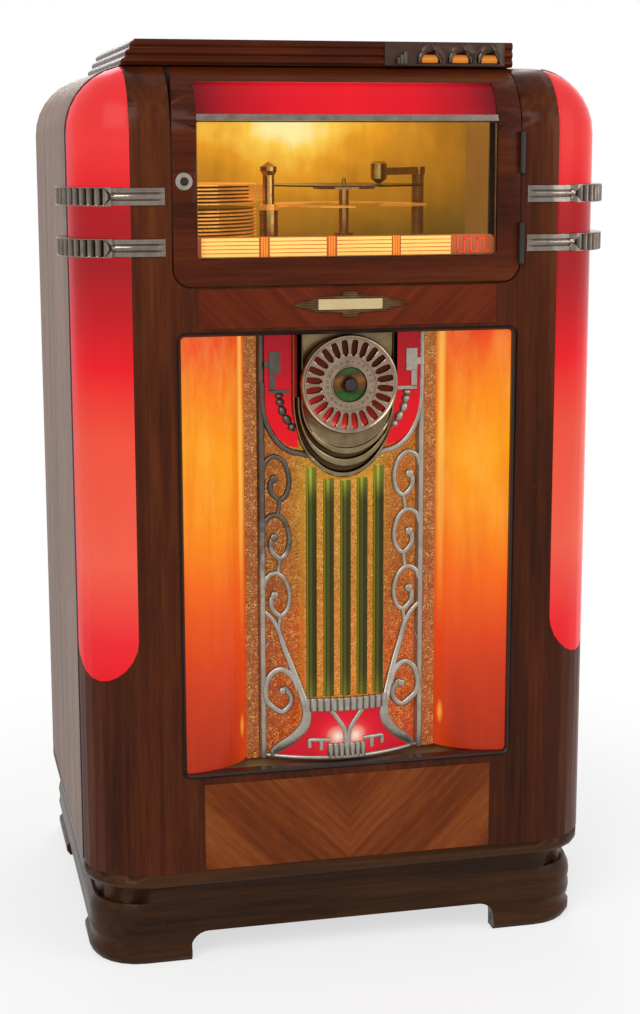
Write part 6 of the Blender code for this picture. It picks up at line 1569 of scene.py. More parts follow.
@dataclass
class GrilleLights:
    """The lit plastic behind and beside the casting: emblem, cheeks and tone bars."""

    near: float = 0.0185
    far: float = 0.0520
    bulge_x: float = 0.1200
    emblem_low: float = 0.3130
    emblem_high: float = 0.3835
    emblem_levels: tuple[float, ...] = (0.312, 0.318, 0.328, 0.342, 0.360, 0.384)
    emblem_halves: tuple[float, ...] = (0.1085, 0.1075, 0.0960, 0.0790, 0.0650, 0.0606)
    sheet: float = 0.0015
    foil_low: float = 0.3063
    foil_high: float = 0.9622
    cheek_top: float = 0.9615
    cheek_outer: tuple[float, float, float, float] = (0.0660, 0.8630, 0.0530, 0.0745)
    cheek_inner: tuple[float, float, float, float] = (0.0, 0.8600, 0.0795, 0.0990)
    cheek_depths: tuple[float, float] = (0.0430, 0.0560)

    def build(self, nodes: Nodes) -> None:
        """Make the lit windows and dress the lit nodes.

        Args:
            nodes: the frame's objects by node name.
        """
        spots = GlowSpots("emblem_red", 0.014, 0.343)
        self._emblem().make("emblem_window", spots, "cabinet", "red_plastic")
        cheek_stops = ((0.0, "EC1C26"), (0.35, "E81C26"), (0.62, "C41E28"), (1.0, "A41E28"))
        cheek = LitPlastic("cheek_red", Along.HEIGHT, 0.79, 0.962, cheek_stops, cloud=0.06, glow=0.8)
        for side, shape in (("left", self._cheek().mirrored()), ("right", self._cheek())):
            panel = (f"{side}_cheek_panel",)
            shape.make(f"{side}_cheek_window", cheek, "cabinet", "red_plastic", panel, 0.0010)
        olive = OliveBars("tone_bar_olive", 0.026, 0.406, 0.765)
        olive.dress(*(nodes[f"tone_bar_{place}"] for place in range(1, 6)))
        Sparkle("gold_sparkle_foil", self.foil_low, self.foil_high).dress(nodes["sparkle_backing"])
        amber_stops = (
            (0.0, "8E2C14"),
            (0.12, "B43618"),
            (0.27, "D8441A"),
            (0.43, "F06418"),
            (0.57, "F68A14"),
            (0.74, "F89C16"),
            (0.88, "F48018"),
            (1.0, "E84A22"),
        )
        amber = AmberPanel("amber_sheet", self.foil_low, self.foil_high, amber_stops)
        amber.dress(nodes["left_amber_panel"], nodes["right_amber_panel"])

    def _emblem(self) -> Shape:
        """The red sheet behind the emblem, bent on the emblem's curved face and as wide as its outline.

        Returns:
            The whole sheet.
        """
        z = np.linspace(self.emblem_low, self.emblem_high, 36)[:, None]
        half = np.interp(z, self.emblem_levels, self.emblem_halves)
        x = half * np.linspace(-1.0, 1.0, 61)[None, :]
        near = self.near + (self.far - self.near) * (x / self.bulge_x) ** 2
        x = np.hstack([x, x[:, ::-1]])
        y = FRONT_Y + np.hstack([near, near[:, ::-1] + self.sheet])
        return Shape.grid(x, y, z, wrap_columns=True, capped=True)

    def _cheek(self) -> Shape:
        """A cheek window whose foot sweeps in under the dial housing.

        Returns:
            The right-hand window.
        """
        x, z, half, drop = self.cheek_outer
        turn = np.linspace(0.0, math.radians(86.0), 30)
        outer = np.stack([x + half * np.cos(turn), z - drop * np.sin(turn)], axis=1)
        outer_top = x + half
        x, z, half, drop = self.cheek_inner
        turn = np.linspace(math.radians(66.0), 0.0, 24)
        inner = np.stack([x + half * np.cos(turn), z - drop * np.sin(turn) * 0.985], axis=1)
        inner[:, 0] = np.maximum(inner[:, 0], outer[-1, 0])
        inner[:, 1] = np.maximum(inner[:, 1], outer[-1, 1] + 0.0004)
        outline = np.vstack([[(outer_top, self.cheek_top)], outer, inner, [(half, self.cheek_top)]])
        return plate(outline, *self.cheek_depths)


@dataclass
class DialGroup:
    """The stepped dial housing, the pierced dial with plain numbers, and its glass window."""

    centre_z: float = 0.8870
    radius: float = 0.0735
    slots: int = 24
    slot_inner: float = 0.0425
    slot_outer: float = 0.0660
    slot_half: float = 0.0050
    face: float = 0.0006
    back: float = 0.0084
    ring_bore: float = 0.0257
    number_radius: float = 0.0335
    shoulder: float = 0.8600
    top: float = 0.9618
    slot_lip: float = 0.0022
    slot_land: float = 0.0014
    number_size: float = 0.0062
    number_rise: float = 0.00015
    flute_places: tuple[float, float, float] = (0.0700, 0.0730, 0.0760)

    def build(self, nodes: Nodes) -> None:
        """Make the housing, dial and numbers and dress the hub and lens.

        Args:
            nodes: the frame's objects by node name.
        """
        self._housing().make("stepped_dial_housing", DARK_CHROME, "cabinet", "chrome", ("dial_housing",))
        dial = self._sectors() + self._rings()
        dial_metal = Metal("dial_metal", "9A8470", "6E5C4A", 0.24, cloud=55.0)
        dial.make("pierced_dial", dial_metal, "dial", "chrome", ("selector_dial",))
        bore, edge = 0.0098, 0.0252
        inner = ((bore, 0.0052), (bore, 0.0040), (0.0140, 0.0026))
        profile = (*inner, (0.0200, 0.0030), (edge, 0.0044), (edge, 0.0052))
        glass = WindowRing("green_window_glass", self.centre_z)
        window = lathe(profile, (0.0, FRONT_Y, self.centre_z))
        window.make("dial_window_glass", glass, "dial", "green_plastic")
        self._numbers()
        Metal("polished_black_hub", "1A120C", "0E0806", 0.2, 0.0).dress(nodes["selector_button"])
        DialLens("dial_lens_red", self.centre_z).dress(nodes["dial_lens"])

    def _outline(self, drop: float, half: float, top: float) -> np.ndarray:
        """Draw the housing's outline: straight sides above a half ellipse.

        Args:
            drop: the ellipse's half height.
            half: half of the width.
            top: level of the upper edge.

        Returns:
            Points as X and Z.
        """
        turn = np.linspace(math.pi, math.tau, 65)
        x = half * np.cos(turn)
        z = self.shoulder + drop * np.sin(turn)
        return np.vstack([[(-half, top)], np.stack([x, z], axis=1), [(half, top)]])

    def _housing(self) -> Shape:
        """Nest three half-ellipse lips, each further forward than the one below it.

        A level holds the outline's half width and drop, its depth, and how much painted shade its channel gets.

        Returns:
            The housing with its flutes.
        """
        levels = (
            (0.0776, 0.1185, 0.0560, 1.0), (0.0776, 0.1185, 0.0372, 0.1),
            (0.0775, 0.1178, 0.0350, 0.0), (0.0765, 0.1150, 0.0342, 0.0),
            (0.0755, 0.1108, 0.0350, 0.0), (0.0748, 0.1086, 0.0376, 0.3),
            (0.0745, 0.1078, 0.0400, 0.9), (0.0740, 0.1000, 0.0400, 0.9),
            (0.0740, 0.0985, 0.0300, 0.4), (0.0738, 0.0978, 0.0236, 0.0),
            (0.0730, 0.0958, 0.0224, 0.0), (0.0720, 0.0912, 0.0222, 0.0),
            (0.0712, 0.0880, 0.0232, 0.0), (0.0708, 0.0868, 0.0258, 0.3),
            (0.0706, 0.0862, 0.0290, 0.9), (0.0704, 0.0806, 0.0290, 0.9),
            (0.0702, 0.0790, 0.0200, 0.4), (0.0700, 0.0784, 0.0146, 0.0),
            (0.0696, 0.0768, 0.0132, 0.0), (0.0688, 0.0728, 0.0128, 0.0),
            (0.0680, 0.0700, 0.0136, 0.0), (0.0676, 0.0688, 0.0158, 0.3),
            (0.0660, 0.0660, 0.0166, 0.3),
        )
        stack = np.stack([self._outline(drop, half, self.top) for half, drop, _, _ in levels])
        depths = np.array([depth for _, _, depth, _ in levels])[:, None]
        dark = np.array([shade for *_, shade in levels])[:, None]
        x, z = stack[..., 0], stack[..., 1]
        shell = Shape.grid(x, FRONT_Y + depths, z, wrap_columns=True, capped=True, hollow_shade=dark)
        flutes = []
        for place in self.flute_places:
            path = np.stack([np.full(12, place), np.linspace(0.868, self.top - 0.0004, 12)], axis=1)
            front = 0.0122 + (place - self.flute_places[0]) * 0.5
            flutes.append(strip(path, 0.0010, front, 0.0250, 0.3).both_sides())
        return shell + joined(flutes)

    def _slot(self, count: int) -> np.ndarray:
        """Draw one slot about the +X direction: a straight-sided loop, wider at its outer round end.

        Args:
            count: how many points it gets.

        Returns:
            Points as X and Z about the dial's centre.
        """
        turn = np.linspace(0.0, 1.0, count, endpoint=False) * math.tau
        inner_half = self.slot_half * 0.62
        middle = (self.slot_inner + self.slot_outer) / 2
        reach = (self.slot_outer - self.slot_inner) / 2
        half = inner_half + (self.slot_half - inner_half) * (0.5 + 0.5 * np.cos(turn))
        round_x = np.sign(np.cos(turn)) * np.abs(np.cos(turn)) ** 0.42
        round_z = np.sign(np.sin(turn)) * np.abs(np.sin(turn)) ** 0.75
        return np.stack([middle + reach * round_x, half * round_z], axis=1)

    def _sectors(self) -> Shape:
        """The pierced part of the dial: each slot's edge is joined to the edge of its own sector.

        A row runs from the slot's back edge over a rounded lip to the sector's edge, which is the same
        angle's place on the sector's outline, found in radius and turn.

        Returns:
            The face between all slots.
        """
        count = 48
        slot = self._slot(count)
        radius = np.hypot(slot[:, 0], slot[:, 1])
        angle = np.arctan2(slot[:, 1], slot[:, 0])
        half_angle = math.pi / self.slots
        inner, outer = self.slot_inner - self.slot_lip, self.slot_outer + self.slot_land
        middle = (inner + outer) / 2
        u = (radius - middle) / ((outer - inner) / 2)
        v = angle / half_angle
        size = np.maximum(np.abs(u), np.abs(v))
        edge_radius = middle + (u / size) * (outer - inner) / 2
        edge_angle = v / size * half_angle
        shares = np.array([0.0, 0.0, 0.10, 0.30, 0.55, 0.80, 1.0])[:, None]
        lip = [self.back, self.face + self.slot_lip, self.face + 0.0006]
        depth = np.array(lip + [self.face] * 4)[:, None]
        r = radius + (edge_radius - radius) * shares
        t = angle + (edge_angle - angle) * shares
        parts = []
        for sector in range(self.slots):
            turn = t + math.tau * (sector + 0.5) / self.slots
            z = self.centre_z + r * np.sin(turn)
            parts.append(Shape.grid(r * np.cos(turn), FRONT_Y + depth, z, wrap_columns=True))
        return joined(parts)

    def _rings(self) -> Shape:
        """The dial's outer rim and inner number ring, turned about its centre.

        Returns:
            Both rings.
        """
        centre = (0.0, FRONT_Y, self.centre_z)
        outer = self.slot_outer + self.slot_land
        rim = (
            (outer, self.back),
            (outer, self.face),
            (outer + 0.0006, self.face),
            (outer + 0.0014, self.face - 0.0010),
            (outer + 0.0030, self.face - 0.0018),
            (outer + 0.0046, self.face - 0.0014),
            (self.radius - 0.0004, self.face + 0.0004),
            (self.radius, self.face + 0.0020),
            (self.radius, self.back),
            (outer, self.back),
        )
        inner = self.slot_inner - self.slot_lip
        ring = (
            (inner, self.back),
            (inner, self.face),
            (inner - 0.0008, self.face - 0.0008),
            (inner - 0.0020, self.face - 0.0006),
            (inner - 0.0024, self.face + 0.0008),
            (self.ring_bore + 0.0024, self.face + 0.0012),
            (self.ring_bore + 0.0018, self.face - 0.0006),
            (self.ring_bore + 0.0006, self.face - 0.0008),
            (self.ring_bore, self.face + 0.0004),
            (self.ring_bore, self.back),
            (inner, self.back),
        )
        return lathe(rim, centre, segments=192) + lathe(ring, centre, segments=192)

    def _numbers(self) -> None:
        """Set plain counting numbers round the ring, each as thin raised strokes."""
        parts = []
        for number in range(1, self.slots + 1):
            curve = bpy.data.curves.new("number", "FONT")
            curve.body = str(number)
            curve.size = self.number_size
            curve.align_x = "CENTER"
            curve.align_y = "CENTER"
            curve.extrude = self.number_rise
            carrier = bpy.data.objects.new("number", curve)
            bpy.context.scene.collection.objects.link(carrier)
            graph = bpy.context.evaluated_depsgraph_get()
            mesh = bpy.data.meshes.new_from_object(carrier.evaluated_get(graph))
            turn = math.tau * (number - 0.5) / self.slots
            x, z = self.number_radius * math.sin(turn), self.number_radius * math.cos(turn)
            place = Matrix.Translation((x, FRONT_Y + self.face + 0.0008, self.centre_z + z))
            mesh.transform(place @ Matrix.Rotation(turn, 4, "Y") @ Matrix.Rotation(math.pi / 2, 4, "X"))
            bpy.data.objects.remove(carrier)
            parts.append(mesh)
        work = bmesh.new()
        for mesh in parts:
            work.from_mesh(mesh)
            bpy.data.meshes.remove(mesh)
        merged = bpy.data.meshes.new("dial_numbers")
        work.to_mesh(merged)
        work.free()
        piece = bpy.data.objects.new("dial_numbers", merged)
        bpy.context.scene.collection.objects.link(piece)
        Metal("number_enamel", "2A1C12", "160E08", 0.4, 0.0).dress(piece)
        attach(piece, "dial")
        LOG.info("made dial_numbers")


@dataclass
class DoorFittings:
    """What the front door carries besides its wood: the bead round its window, title cards and lock."""

    window_half: float = 0.2237
    window_low: float = 1.0728
    window_high: float = 1.2677
    block_edges: Points = ((-0.216, -0.132), (-0.116, -0.032), (-0.016, 0.066), (0.080, 0.156))
    row_height: float = 0.0056
    door_back: float = 0.0850
    gap_shadow_x: float = 0.2572
    gap_shadow_half: float = 0.0187

    def build(self, nodes: Nodes) -> None:
        """Make the bead, cards and fret, and dress the door's own nodes.

        Args:
            nodes: the frame's objects by node name.
        """
        # Near-black strips behind the door's gap: painted shade where the gap lies in shadow.
        dark = Metal("gap_shadow_black", "1A0C06", "0E0603", 0.4, 0.0)
        self._gap_shadow_strips().make("door_gap_shadow", dark, "cabinet", "dark_base_wood")
        self._bead().make("window_bead", BRASS_TRIM, "front_door", "brushed_metal", (), 0.0004)
        slips = Card("blank_title_card", "FAC468", "E89A40")
        self._cards().make("title_cards", slips, "front_door", "ivory_board")
        dividers = Card("orange_divider", "F08A28", "C8601C", 0.4)
        self._columns().make("title_columns", dividers, "front_door", "ivory_board")
        fret = Card("red_fret_paint", "E84A2A", "A82A1A", 0.35)
        self._fret().make("red_fret", fret, "front_door", "red_plastic")
        Card("title_backing_card", "B4581E", "7A3412", 0.3).dress(nodes["title_board"])
        Pane("window_pane").dress(nodes["door_glass"])
        stops = ((0.0, "F01C2A"), (0.45, "E41A28"), (0.80, "B41824"), (1.0, "74161E"))
        panel = LitPlastic("top_panel_red", Along.OFFSET, 0.0, 0.2227, stops, cloud=0.10, glow=0.84)
        panel.dress(nodes["door_top_panel"])
        Metal("bright_strip", "857A70", "544A44", 0.18).dress(nodes["door_trim_strip"])
        CHROME.dress(nodes["lock_housing"])
        Metal("dark_lock_core", "3A302A", "1C1612", 0.3, 0.8).dress(nodes["lock_plug"])

    def _gap_shadow_strips(self) -> Shape:
        """Two dark uprights and a foot strip just behind the closed door's back edges: their black is painted
        shade for the gap round the door.

        Returns:
            The strips.
        """
        depth = self.door_back + 0.0012
        path = np.stack([np.full(30, self.gap_shadow_x), np.linspace(1.0370, 1.3330, 30)], axis=1)
        foot = np.stack([np.linspace(-self.gap_shadow_x, self.gap_shadow_x, 30), np.full(30, 1.0335)], axis=1)
        sides = strip(path, self.gap_shadow_half, depth, 0.0050, 0.1).both_sides()
        return sides + strip(foot, 0.0070, depth, 0.0044, 0.1)

    def _bead(self) -> Shape:
        """A slim metal bead round the inside of the window opening.

        Returns:
            The four runs of the bead.
        """
        inset = 0.0011
        left, low = -self.window_half + inset, self.window_low + inset
        right, high = self.window_half - inset, self.window_high - inset
        runs = (
            ((left, low), (right, low)),
            ((left, low), (left, high)),
            ((right, low), (right, high)),
            ((left, high), (right, high)),
        )
        parts = []
        for start, end in runs:
            share = np.linspace(0.0, 1.0, 24)[:, None]
            path = np.asarray(start) * (1.0 - share) + np.asarray(end) * share
            parts.append(strip(path, 0.0010, 0.0062, 0.0034, 0.4))
        return joined(parts)

    def _cards(self) -> Shape:
        """Blank card strips in rows, each a thin raised slip.

        Returns:
            All the cards.
        """
        parts = []
        for left, right in self.block_edges:
            for row in range(5):
                low = self.window_low + 0.0024 + row * self.row_height
                parts.append(box((left, 0.0133, low), (right, 0.0143, low + self.row_height - 0.0012)))
        return joined(parts)

    def _columns(self) -> Shape:
        """Upright dividers between the blocks of cards.

        Returns:
            All the dividers.
        """
        z = np.linspace(self.window_low + 0.002, 1.1030, 8)
        parts = []
        for first, second in zip(self.block_edges, self.block_edges[1:]):
            middle = (first[1] + second[0]) / 2
            for shift in (-0.0036, 0.0, 0.0036):
                path = np.stack([np.full(8, middle + shift), z], axis=1)
                parts.append(strip(path, 0.0014, 0.0120, 0.0022, 0.5))
        return joined(parts)

    def _fret(self) -> Shape:
        """A small stepped fret at the right end of the board.

        Returns:
            The fret's steps.
        """
        parts = []
        for step in range(5):
            left = 0.166 + step * 0.0102
            parts.append(box((left, 0.0128, self.window_low + 0.003), (left + 0.0022, 0.0143, 1.1010)))
            low = self.window_low + 0.004 + (step % 2) * 0.0190
            parts.append(box((left, 0.0128, low), (left + 0.0102, 0.0143, low + 0.0024)))
        return joined(parts)


@dataclass
class RecordChamber:
    """The lit record chamber: lining, lamp, stored discs and the dressed mechanism."""

    stack_x: float = -0.2147
    play_x: float = 0.0607
    play_y: float = -0.0305
    disc_radius: float = 0.1270
    label: float = 0.0400
    pitch: float = 0.0056
    level: float = 1.1400
    below: int = 17
    above: int = 6
    half: float = 0.3760
    floor: float = 1.0036
    spring: float = 1.2440
    shoulder: float = 0.0800
    near_y: float = -0.1900
    back_y: float = 0.3030

    def build(self, nodes: Nodes) -> None:
        """Make the lining, lamp and discs, and dress the mechanism's nodes.

        Args:
            nodes: the frame's objects by node name.
        """
        paint = ChamberLining("chamber_lining_painted_lamplight", 0.03, 1.2780, 0.34, self.back_y)
        self._lining().make("chamber_lining", paint, "cabinet", "plain_plywood")
        self._lamp().make("chamber_lamp", LampGlass("chamber_lamp_glass", 0.2), "cabinet", "window_glass")
        shellac = Disc("stored_shellac", self.stack_x, self.play_y, self.label)
        self._stored().make("stored_records", shellac, "cabinet", "black_record")
        Disc("played_shellac", self.play_x, self.play_y, self.label).dress(nodes["record"])
        # The glow on the trays, the chrome and the hammer paint is the chamber lamp's light painted on as
        # emission.
        tray = Metal("tray_lacquer_painted_lamplight", "E89C40", "96581F", 0.28, 0.6, cloud=30.0, glow=0.48)
        tray.dress(nodes["lower_tray_stack"], nodes["upper_tray_stack"], nodes["swing_tray"])
        chrome = Metal("lamp_lit_chrome", "B48A4C", "6E4A22", 0.2, glow=0.10)
        chrome.dress(nodes["turntable"], nodes["tone_arm"], nodes["tray_post"])
        hammer = Metal("hammer_paint_painted_lamplight", "8E6A30", "5A3E1A", 0.4, 0.3, glow=0.15)
        hammer.dress(nodes["mech_bed"], nodes["lift_sleeve"])
        Metal("motor_wrinkle_paint", "2A2A2C", "18181A", 0.5, 0.2).dress(nodes["drive_motor"])

    def _lining(self) -> Shape:
        """A thin sheet up both sides and over the rounded shoulders, and a board that closes the back.

        The sheet's section is x = ±(half - shoulder + shoulder cos t), z = spring + shoulder sin t for t
        from 0 to a quarter turn, with straight sides below and a straight run between the shoulders.

        Returns:
            The lining and its back board.
        """
        turn = np.linspace(0.0, math.pi / 2, 12)
        x = np.concatenate([[self.half], self.half - self.shoulder + self.shoulder * np.cos(turn)])
        z = np.concatenate([[self.floor], self.spring + self.shoulder * np.sin(turn)])
        x, z = np.concatenate([x, -x[::-1]]), np.concatenate([z, z[::-1]])
        wall = 0.0020
        shrink = 1.0 - wall / self.half
        ring_x = np.stack([x, x * shrink, x * shrink, x], axis=1)
        sunk = np.where(z > self.spring, wall, 0.0)
        ring_z = np.stack([z, z, z, z], axis=1) - sunk[:, None] * [0.0, 1.0, 1.0, 0.0]
        ring_y = np.broadcast_to([self.near_y, self.near_y, self.back_y, self.back_y], ring_x.shape)
        sheet = Shape.grid(ring_x, ring_y, ring_z, wrap_columns=True, capped=True)
        outline = np.stack([x * shrink, z - sunk], axis=1)
        return sheet + plate(outline, self.back_y - wall - FRONT_Y, self.back_y - FRONT_Y)

    def _lamp(self) -> Shape:
        """A long lamp tube under the top, with domed ends.

        Returns:
            The tube.
        """
        share = np.linspace(0.0, 1.0, 40)
        path = np.stack([-0.2 + 0.4 * share, np.full(40, -0.1900), np.full(40, 1.3000)], axis=1)
        ends = np.clip(np.minimum(share, 1.0 - share) / 0.03, 0.05, 1.0) ** 0.5
        return tube(path, 0.0110 * ends, 20)

    def _stored(self) -> Shape:
        """Discs lying in the stored trays, each with a raised rim and label.

        Returns:
            All the stored discs.
        """
        rim, edge = self.disc_radius, self.disc_radius - 0.001
        profile = ((0.0, 0.0), (edge, 0.0), (rim, 0.0010), (edge, 0.0020), (0.045, 0.0016), (0.0, 0.0018))
        parts = []
        for step in range(-self.below, self.above):
            if step == 0:
                continue
            z = self.level + self.pitch * step + 0.0018
            parts.append(lathe(profile, (self.stack_x, self.play_y, z), "Z", 56))
        return joined(parts)


@dataclass
class CoinFitting:
    """The bronze coin plate on the crown: three lit slots under chrome brows."""

    centres: tuple[float, float, float] = (0.137, 0.184, 0.229)
    half: float = 0.0128
    low: float = 1.3530
    high: float = 1.3645
    front: float = 0.0618
    brow: tuple[float, float, float] = (0.0162, 0.0118, 1.3600)

    def build(self, nodes: Nodes) -> None:
        """Make the lit windows, their brows and the stepped end piece, and dress the plate.

        Args:
            nodes: the frame's objects by node name.
        """
        stops = ((0.0, "E07A28"), (0.5, "F0A040"), (1.0, "C85A1C"))
        glow = LitPlastic("coin_window_amber", Along.HEIGHT, self.low, self.high, stops, cloud=0.15, glow=0.7)
        spans = [(x - self.half, x + self.half) for x in self.centres]
        windows = joined([box((a, 0.0672, self.low), (b, 0.0688, self.high)) for a, b in spans])
        windows.make("coin_windows", glow, "cabinet", "amber_plastic", (), 0.0004)
        lips = Metal("brow_metal", "5E564C", "342C26", 0.24)
        brows = joined([self._brow(x) for x in self.centres])
        brows.make("coin_brows", lips, "cabinet", "chrome")
        self._steps().make("coin_end_steps", lips, "cabinet", "chrome", (), 0.0004)
        plate_metal = Metal("aged_bronze", "3E281C", "20130D", 0.36, 0.6, cloud=50.0)
        smoothed(nodes["coin_escutcheon"], "coin_plate", plate_metal, "cabinet")

    def _brow(self, x: float) -> Shape:
        """An arched lip over one slot, carried along half an ellipse.

        Args:
            x: middle of the slot.

        Returns:
            The lip.
        """
        turn = np.linspace(math.pi, 0.0, 32)
        half, rise, spring = self.brow
        path = np.stack([x + half * np.cos(turn), spring + rise * np.sin(turn)], axis=1)
        path = np.vstack([[(x - half, self.low)], path, [(x + half, self.low)]])
        return strip(path, 0.0026, self.front + 0.0002, 0.0086, 0.5)

    def _steps(self) -> Shape:
        """Three small stepped blocks beside the plate's low end."""
        places = ((0.0860, 0.0906, 1.3600), (0.0912, 0.0958, 1.3640), (0.0964, 0.1010, 1.3680))
        return joined([box((left, 0.0600, 1.3508), (right, 0.0640, top)) for left, right, top in places])


@dataclass
class Woodwork:
    """The cabinet's woods and the dark and plain materials of its back and inside."""

    crown_levels: tuple[float, float] = (1.3473, 1.3833)
    crown_plan: tuple[float, float, float, float] = (-0.322, 0.268, -0.2489, 0.2413)
    crown_lean: float = 0.0200

    def build(self, nodes: Nodes) -> None:
        """Dress every wooden and painted node.

        Args:
            nodes: the frame's objects by node name.
        """
        front = Wood("mahogany_front_lacquer", Grain.UPRIGHT, "230F05", "421B09", "5C2D11")
        door = Wood("mahogany_door_lacquer", Grain.ACROSS, "260E05", "461A08", "5C2C0F")
        # The side's pale grey-brown tones are walnut plus a painted sheen of the bright room it faces.
        side = Wood("walnut_side_lacquer_painted_sheen", Grain.UPRIGHT, "48301F", "71523D", "8F6E58", rough=0.42, coat=0.02)
        base = Wood("dark_base_lacquer", Grain.ACROSS, "1E1009", "36200F", "4A2C18", rough=0.30)
        leaf = Wood("figured_veneer_low", Grain.BOOK, "3E1908", "662E10", "884A1F", figure=10.0)
        upper_leaf = Wood("figured_veneer_high", Grain.BOOK, "361307", "541D0B", "6E2C10", figure=10.0)
        plain = Wood("plain_plywood_board", Grain.ACROSS, "8A6540", "A9825A", "C4A074", rough=0.6, coat=0.0)
        crown = Wood("crown_lacquer", Grain.ACROSS, "240D05", "431908", "5C280E")
        smoothed(nodes["front_frame"], "front_boards", front, "cabinet")
        smoothed(nodes["cabinet_shell"], "walnut_case", side, "cabinet")
        smoothed(nodes["base_plinth"], "plinth_boards", base, "cabinet")
        smoothed(nodes["bottom_board"], "floor_board", base, "cabinet")
        self._crown().make("crown_moulding", crown, "cabinet", "mahogany_front", ("crown",))
        smoothed(nodes["door_frame"], "door_rails", door, "front_door")
        leaf.dress(nodes["lower_veneer_panel"])
        upper_leaf.dress(nodes["upper_veneer_panel"])
        plain.dress(nodes["rear_door"], nodes["mech_shelf"], nodes["speaker_baffle"])
        Metal("surround_lacquer", "1C110C", "0E0806", 0.3, 0.1).dress(nodes["grille_surround"])
        japan = Metal("black_japan", "161412", "2C241C", 0.35, 0.4)
        japan.dress(nodes["upper_door_hinge"], nodes["lower_door_hinge"], nodes["rear_hinge"])
        Metal("brushed_latch", "A8A49C", "7A746A", 0.34, brushed=(1.0, 1.0, 0.05)).dress(nodes["rear_latch"])
        grey = Metal("amplifier_paint", "34363A", "202224", 0.55, 0.2)
        grey.dress(nodes["amplifier"], nodes["cash_box"], nodes["speaker_frame"])
        Card("speaker_cone_pulp", "2C2A28", "181614", 0.0).dress(nodes["speaker_cone"])
        red = (
            (0.0, "EC1C26"), (0.07, "EE2E34"), (0.20, "F3604A"), (0.40, "F1543F"),
            (0.52, "ED2028"), (0.60, "C62026"), (0.68, "A81E24"), (0.775, "B01E24"),
            (0.795, "E81E28"), (0.88, "F03C3A"), (1.0, "EC343A"),
        )
        span = (0.4523, 1.3446)
        edge = ("C8283A", 0.392, 0.402)
        corner = LitPlastic("corner_plastic_red", Along.HEIGHT, *span, red, *edge, cloud=0.07)
        smoothed(nodes["left_pilaster"], "left_corner_plastic", corner, "cabinet")
        smoothed(nodes["right_pilaster"], "right_corner_plastic", corner, "cabinet")

    def _crown(self) -> Shape:
        """Loft the crown: reeds run along its front and return up its sloping left end.

        Each ring is a rectangle with round corners. Its reed is r |cos(3 pi t)| for t from 0 at the foot
        to 1 at the top, and the left end leans in with t as well.

        Returns:
            The closed crown.
        """
        low, high = self.crown_levels
        left, right, front, back = self.crown_plan
        reach = np.linspace(0.0, 1.0, 49)
        reed = 0.0030 * np.abs(np.cos(3.0 * math.pi * reach)) ** 3
        lean = self.crown_lean * reach
        rings = []
        for share, dent, inward in zip(reach, reed, lean):
            corners = (
                (right - 0.004, front + dent + 0.004, 0.004, -90.0),
                (right - 0.034, back - 0.034, 0.034, 0.0),
                (left + inward + dent + 0.034, back - 0.034, 0.034, 90.0),
                (left + inward + dent + 0.006, front + dent + 0.006, 0.006, 180.0),
            )
            arcs = [self._corner(*corner) for corner in corners]
            ring = np.vstack(arcs)
            rings.append(np.column_stack([ring, np.full(len(ring), low + (high - low) * share)]))
        grid = np.stack(rings)
        shade = np.clip((reed / 0.0030) ** 2, 0.0, 1.0)[:, None] * 0.5
        x, y, z = (grid[..., axis] for axis in range(3))
        return Shape.grid(x, y, z, wrap_columns=True, capped=True, hollow_shade=shade)

    @staticmethod
    def _corner(x: float, y: float, radius: float, start: float) -> np.ndarray:
        """Return a quarter circle about a corner's centre, from the start angle in degrees."""
        turn = np.radians(np.linspace(start, start + 90.0, 9))
        return np.stack([x + radius * np.cos(turn), y + radius * np.sin(turn)], axis=1)


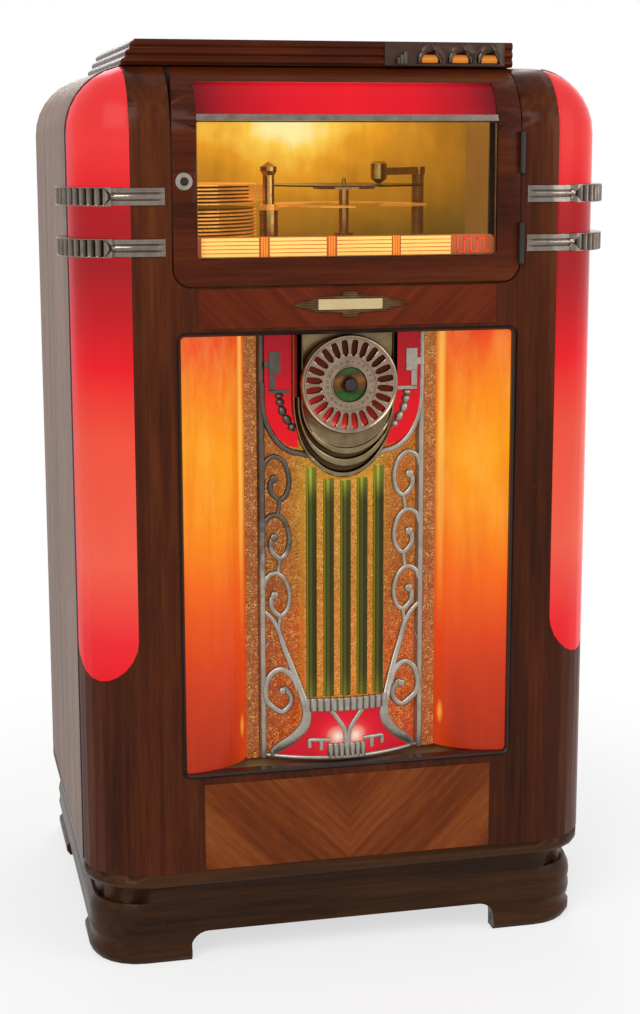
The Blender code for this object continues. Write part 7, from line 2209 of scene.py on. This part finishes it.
@dataclass
class WingPlaque:
    """The dark winged plaque below the door: feathered wings either side of a bare pale field."""

    half: float = 0.0850
    low: float = 0.9875
    high: float = 1.0235
    field: tuple[float, float] = (0.0480, 0.0076)
    places: tuple[float, ...] = (0.0, 0.0110, 0.0125, 0.0520, 0.0545, 0.0850)
    shares: tuple[float, ...] = (1.0, 0.94, 0.66, 0.56, 0.44, 0.08)

    def build(self) -> None:
        """Make the wings, with their fine lines, and the bare field."""
        bronze = Metal("plaque_bronze", "6E5430", "3A2A18", 0.3, 0.8, shade_colour="1A0E08")
        self._wings().make("plaque_wings", bronze, "cabinet", "bronze", ("centre_plate",))
        middle = (self.low + self.high) / 2
        wide, tall = self.field
        low, high = middle - tall, middle + tall
        outline = ((-wide, low), (wide, low), (wide, high), (-wide, high))
        field = Card("plaque_field", "C8B488", "9C8658", 0.0)
        slip = plate(outline, -0.0031, -0.0020)
        slip.make("plaque_bare_field", field, "cabinet", "ivory_board", (), 0.0003)

    def _wings(self) -> Shape:
        """Shape the plaque as a height field whose outline narrows from the middle to each wing tip.

        The half height is a share of h read from a short curve; the feathers are a cosine across it.

        Returns:
            The plaque's body.
        """
        x = np.linspace(-self.half, self.half, 120)[:, None]
        lift = np.linspace(-1.0, 1.0, 61)[None, :]
        middle = (self.low + self.high) / 2
        half = (self.high - self.low) / 2 * np.interp(np.abs(x), self.places, self.shares)
        z = middle + half * lift
        line = 0.5 + 0.5 * np.cos(math.tau * (z - middle) / 0.0034)
        rim = np.abs(lift) > 0.90
        depth = np.where(rim, -0.0030, -0.0016 - 0.0008 * line)
        # Painted shade in the grooves between the feather lines.
        dark = np.where(rim, 0.0, 0.6 * (1.0 - line))
        back = np.full((len(x), 1), -0.0004)
        y = FRONT_Y + np.hstack([back, np.broadcast_to(depth, z.shape), back])
        z = np.hstack([middle - half, z, middle + half])
        hollow_shade = np.hstack([0.0 * back, np.broadcast_to(dark, (len(x), lift.shape[1])), 0.0 * back])
        return Shape.grid(x, y, z, wrap_columns=True, capped=True, hollow_shade=hollow_shade)


@dataclass
class RearDetails:
    """Screws that hold the rear door's battens."""

    half: float = 0.3600
    low: float = 0.1800
    high: float = 1.3000
    face_y: float = 0.3193

    def build(self) -> None:
        """Make the rear screws."""
        places = [(side * self.half, z) for side in (-1.0, 1.0) for z in np.linspace(self.low, self.high, 6)]
        profile = ((0.0, 0.0012), (0.0022, 0.0009), (0.0038, 0.0002), (0.0041, -0.0006), (0.0, -0.0006))
        screws = joined([lathe(profile, (x, self.face_y, z), "Y", 20) for x, z in places])
        steel = Metal("screw_steel", "8A867E", "5A544A", 0.35)
        screws.make("rear_screws", steel, "back_door", "brushed_metal")


def main() -> None:
    """Build every sub-assembly over the frame and report it."""
    logging.basicConfig(level=logging.INFO, format="%(name)s: %(message)s")
    bpy.ops.object.select_all(action="SELECT")
    bpy.ops.object.delete()
    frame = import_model()
    nodes = frame["nodes"]
    Studio().build()
    Woodwork().build(nodes)
    WingPlaque().build()
    CornerTrim().build()
    ScrollCasting().build()
    GrilleLights().build(nodes)
    DialGroup().build(nodes)
    DoorFittings().build(nodes)
    RecordChamber().build(nodes)
    CoinFitting().build(nodes)
    RearDetails().build()
    bpy.context.view_layer.update()
    LOG.info("all pieces made")


if __name__ == "__main__":
    main()
